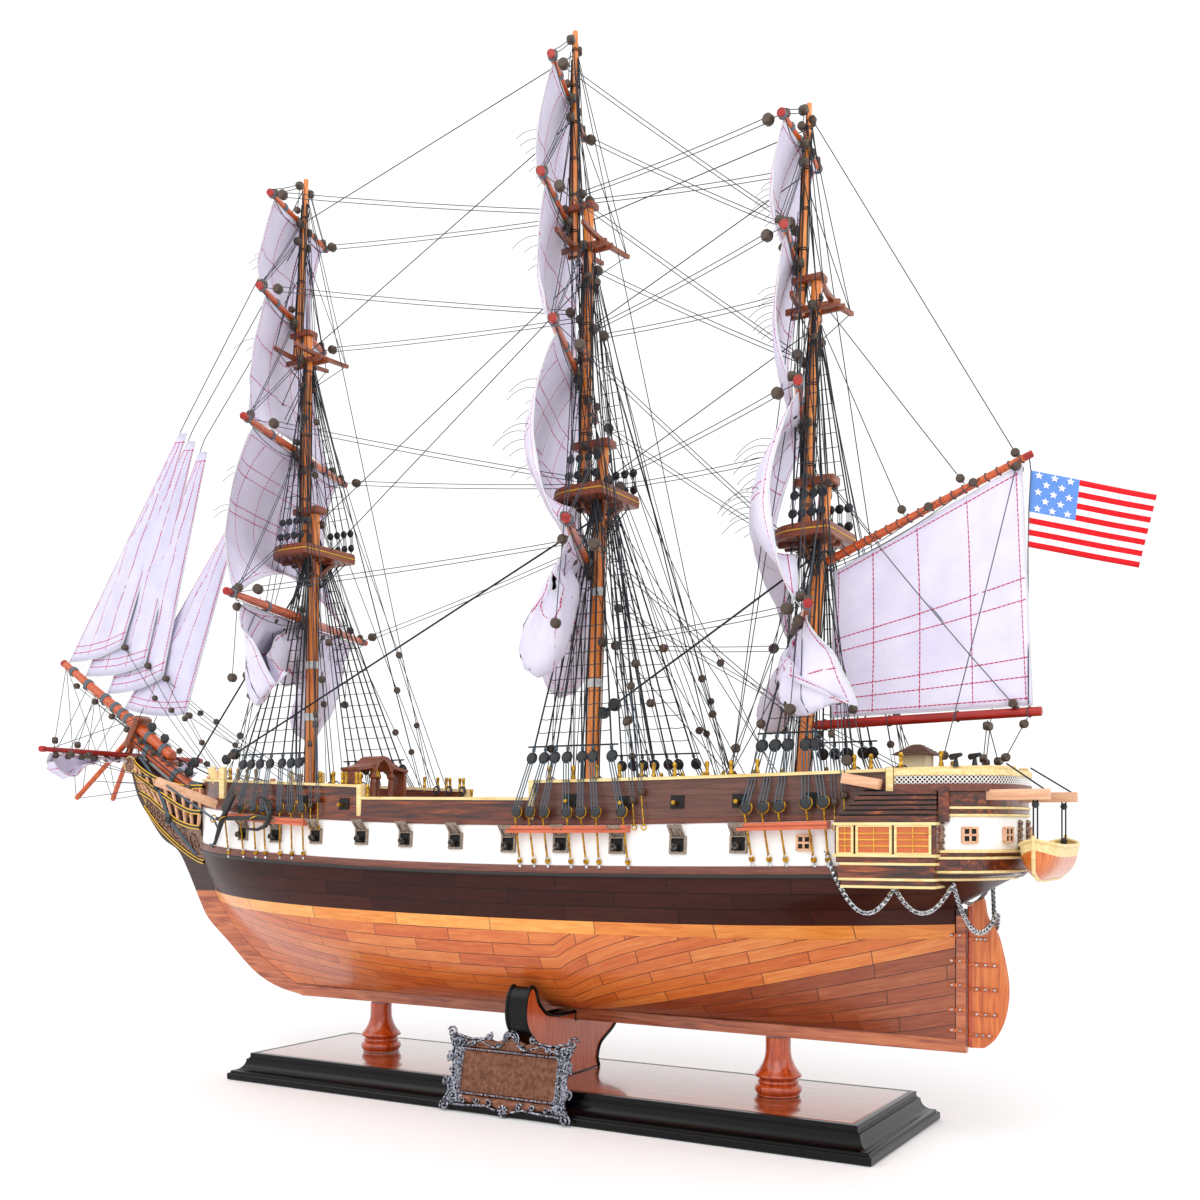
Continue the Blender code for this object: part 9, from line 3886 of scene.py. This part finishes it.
SETTINGS = {
    "frigate_stand": FrigateStand,
    "frigate_hull": FrigateHull,
    "frigate_rigging": FrigateRigging,
    "frigate_sails": FrigateSails,
    "frigate_stage": FrigateStage,
}
OPERATORS = (
    FRIGATE_OT_stage,
    FRIGATE_OT_base,
    FRIGATE_OT_pedestals,
    FRIGATE_OT_cradle,
    FRIGATE_OT_nameplate,
    FRIGATE_OT_planking,
    FRIGATE_OT_gun_band,
    FRIGATE_OT_bulwark,
    FRIGATE_OT_ports,
    FRIGATE_OT_masts,
    FRIGATE_OT_yards,
    FRIGATE_OT_bowsprit,
    FRIGATE_OT_spanker_spars,
    FRIGATE_OT_square_sails,
    FRIGATE_OT_courses,
    FRIGATE_OT_headsails,
    FRIGATE_OT_spanker,
    FRIGATE_OT_spritsail,
    FRIGATE_OT_flag,
    FRIGATE_OT_shrouds,
    FRIGATE_OT_upper_shrouds,
    FRIGATE_OT_stays,
    FRIGATE_OT_running_rigging,
    FRIGATE_OT_mast_lines,
    FRIGATE_OT_head_rigging,
    FRIGATE_OT_spanker_rigging,
    FRIGATE_OT_stem,
    FRIGATE_OT_head,
    FRIGATE_OT_rudder,
    FRIGATE_OT_stern,
    FRIGATE_OT_galleries,
    FRIGATE_OT_boat,
    FRIGATE_OT_deck,
    FRIGATE_OT_houses,
)


class FRIGATE_PT_make(bpy.types.Panel):
    """Lists the makers of the pieces, in the order they are run."""

    bl_idname = "FRIGATE_PT_make"
    bl_label = "Frigate"
    bl_space_type = "VIEW_3D"
    bl_region_type = "UI"
    bl_category = "Frigate"

    def draw(self, context):
        for name in SETTINGS:
            group = getattr(context.scene, name)
            box = self.layout.box()
            for prop in group.bl_rna.properties:
                if prop.identifier not in ("rna_type", "name"):
                    box.prop(group, prop.identifier)
        column = self.layout.column(align=True)
        for operator in OPERATORS:
            column.operator(operator.bl_idname)


def register():
    for kind in (*SETTINGS.values(), *OPERATORS, FRIGATE_PT_make):
        bpy.utils.register_class(kind)
    for name, kind in SETTINGS.items():
        setattr(bpy.types.Scene, name, bpy.props.PointerProperty(type=kind))


def unregister():
    for name in SETTINGS:
        delattr(bpy.types.Scene, name)
    for kind in (FRIGATE_PT_make, *reversed(OPERATORS), *SETTINGS.values()):
        bpy.utils.unregister_class(kind)


def main():
    register()
    for operator in OPERATORS:
        group, maker = operator.bl_idname.split(".")
        result = getattr(getattr(bpy.ops, group), maker)()
        if "FINISHED" not in result:
            raise RuntimeError(f"{operator.bl_idname} did not finish")


if __name__ == "__main__":
    main()
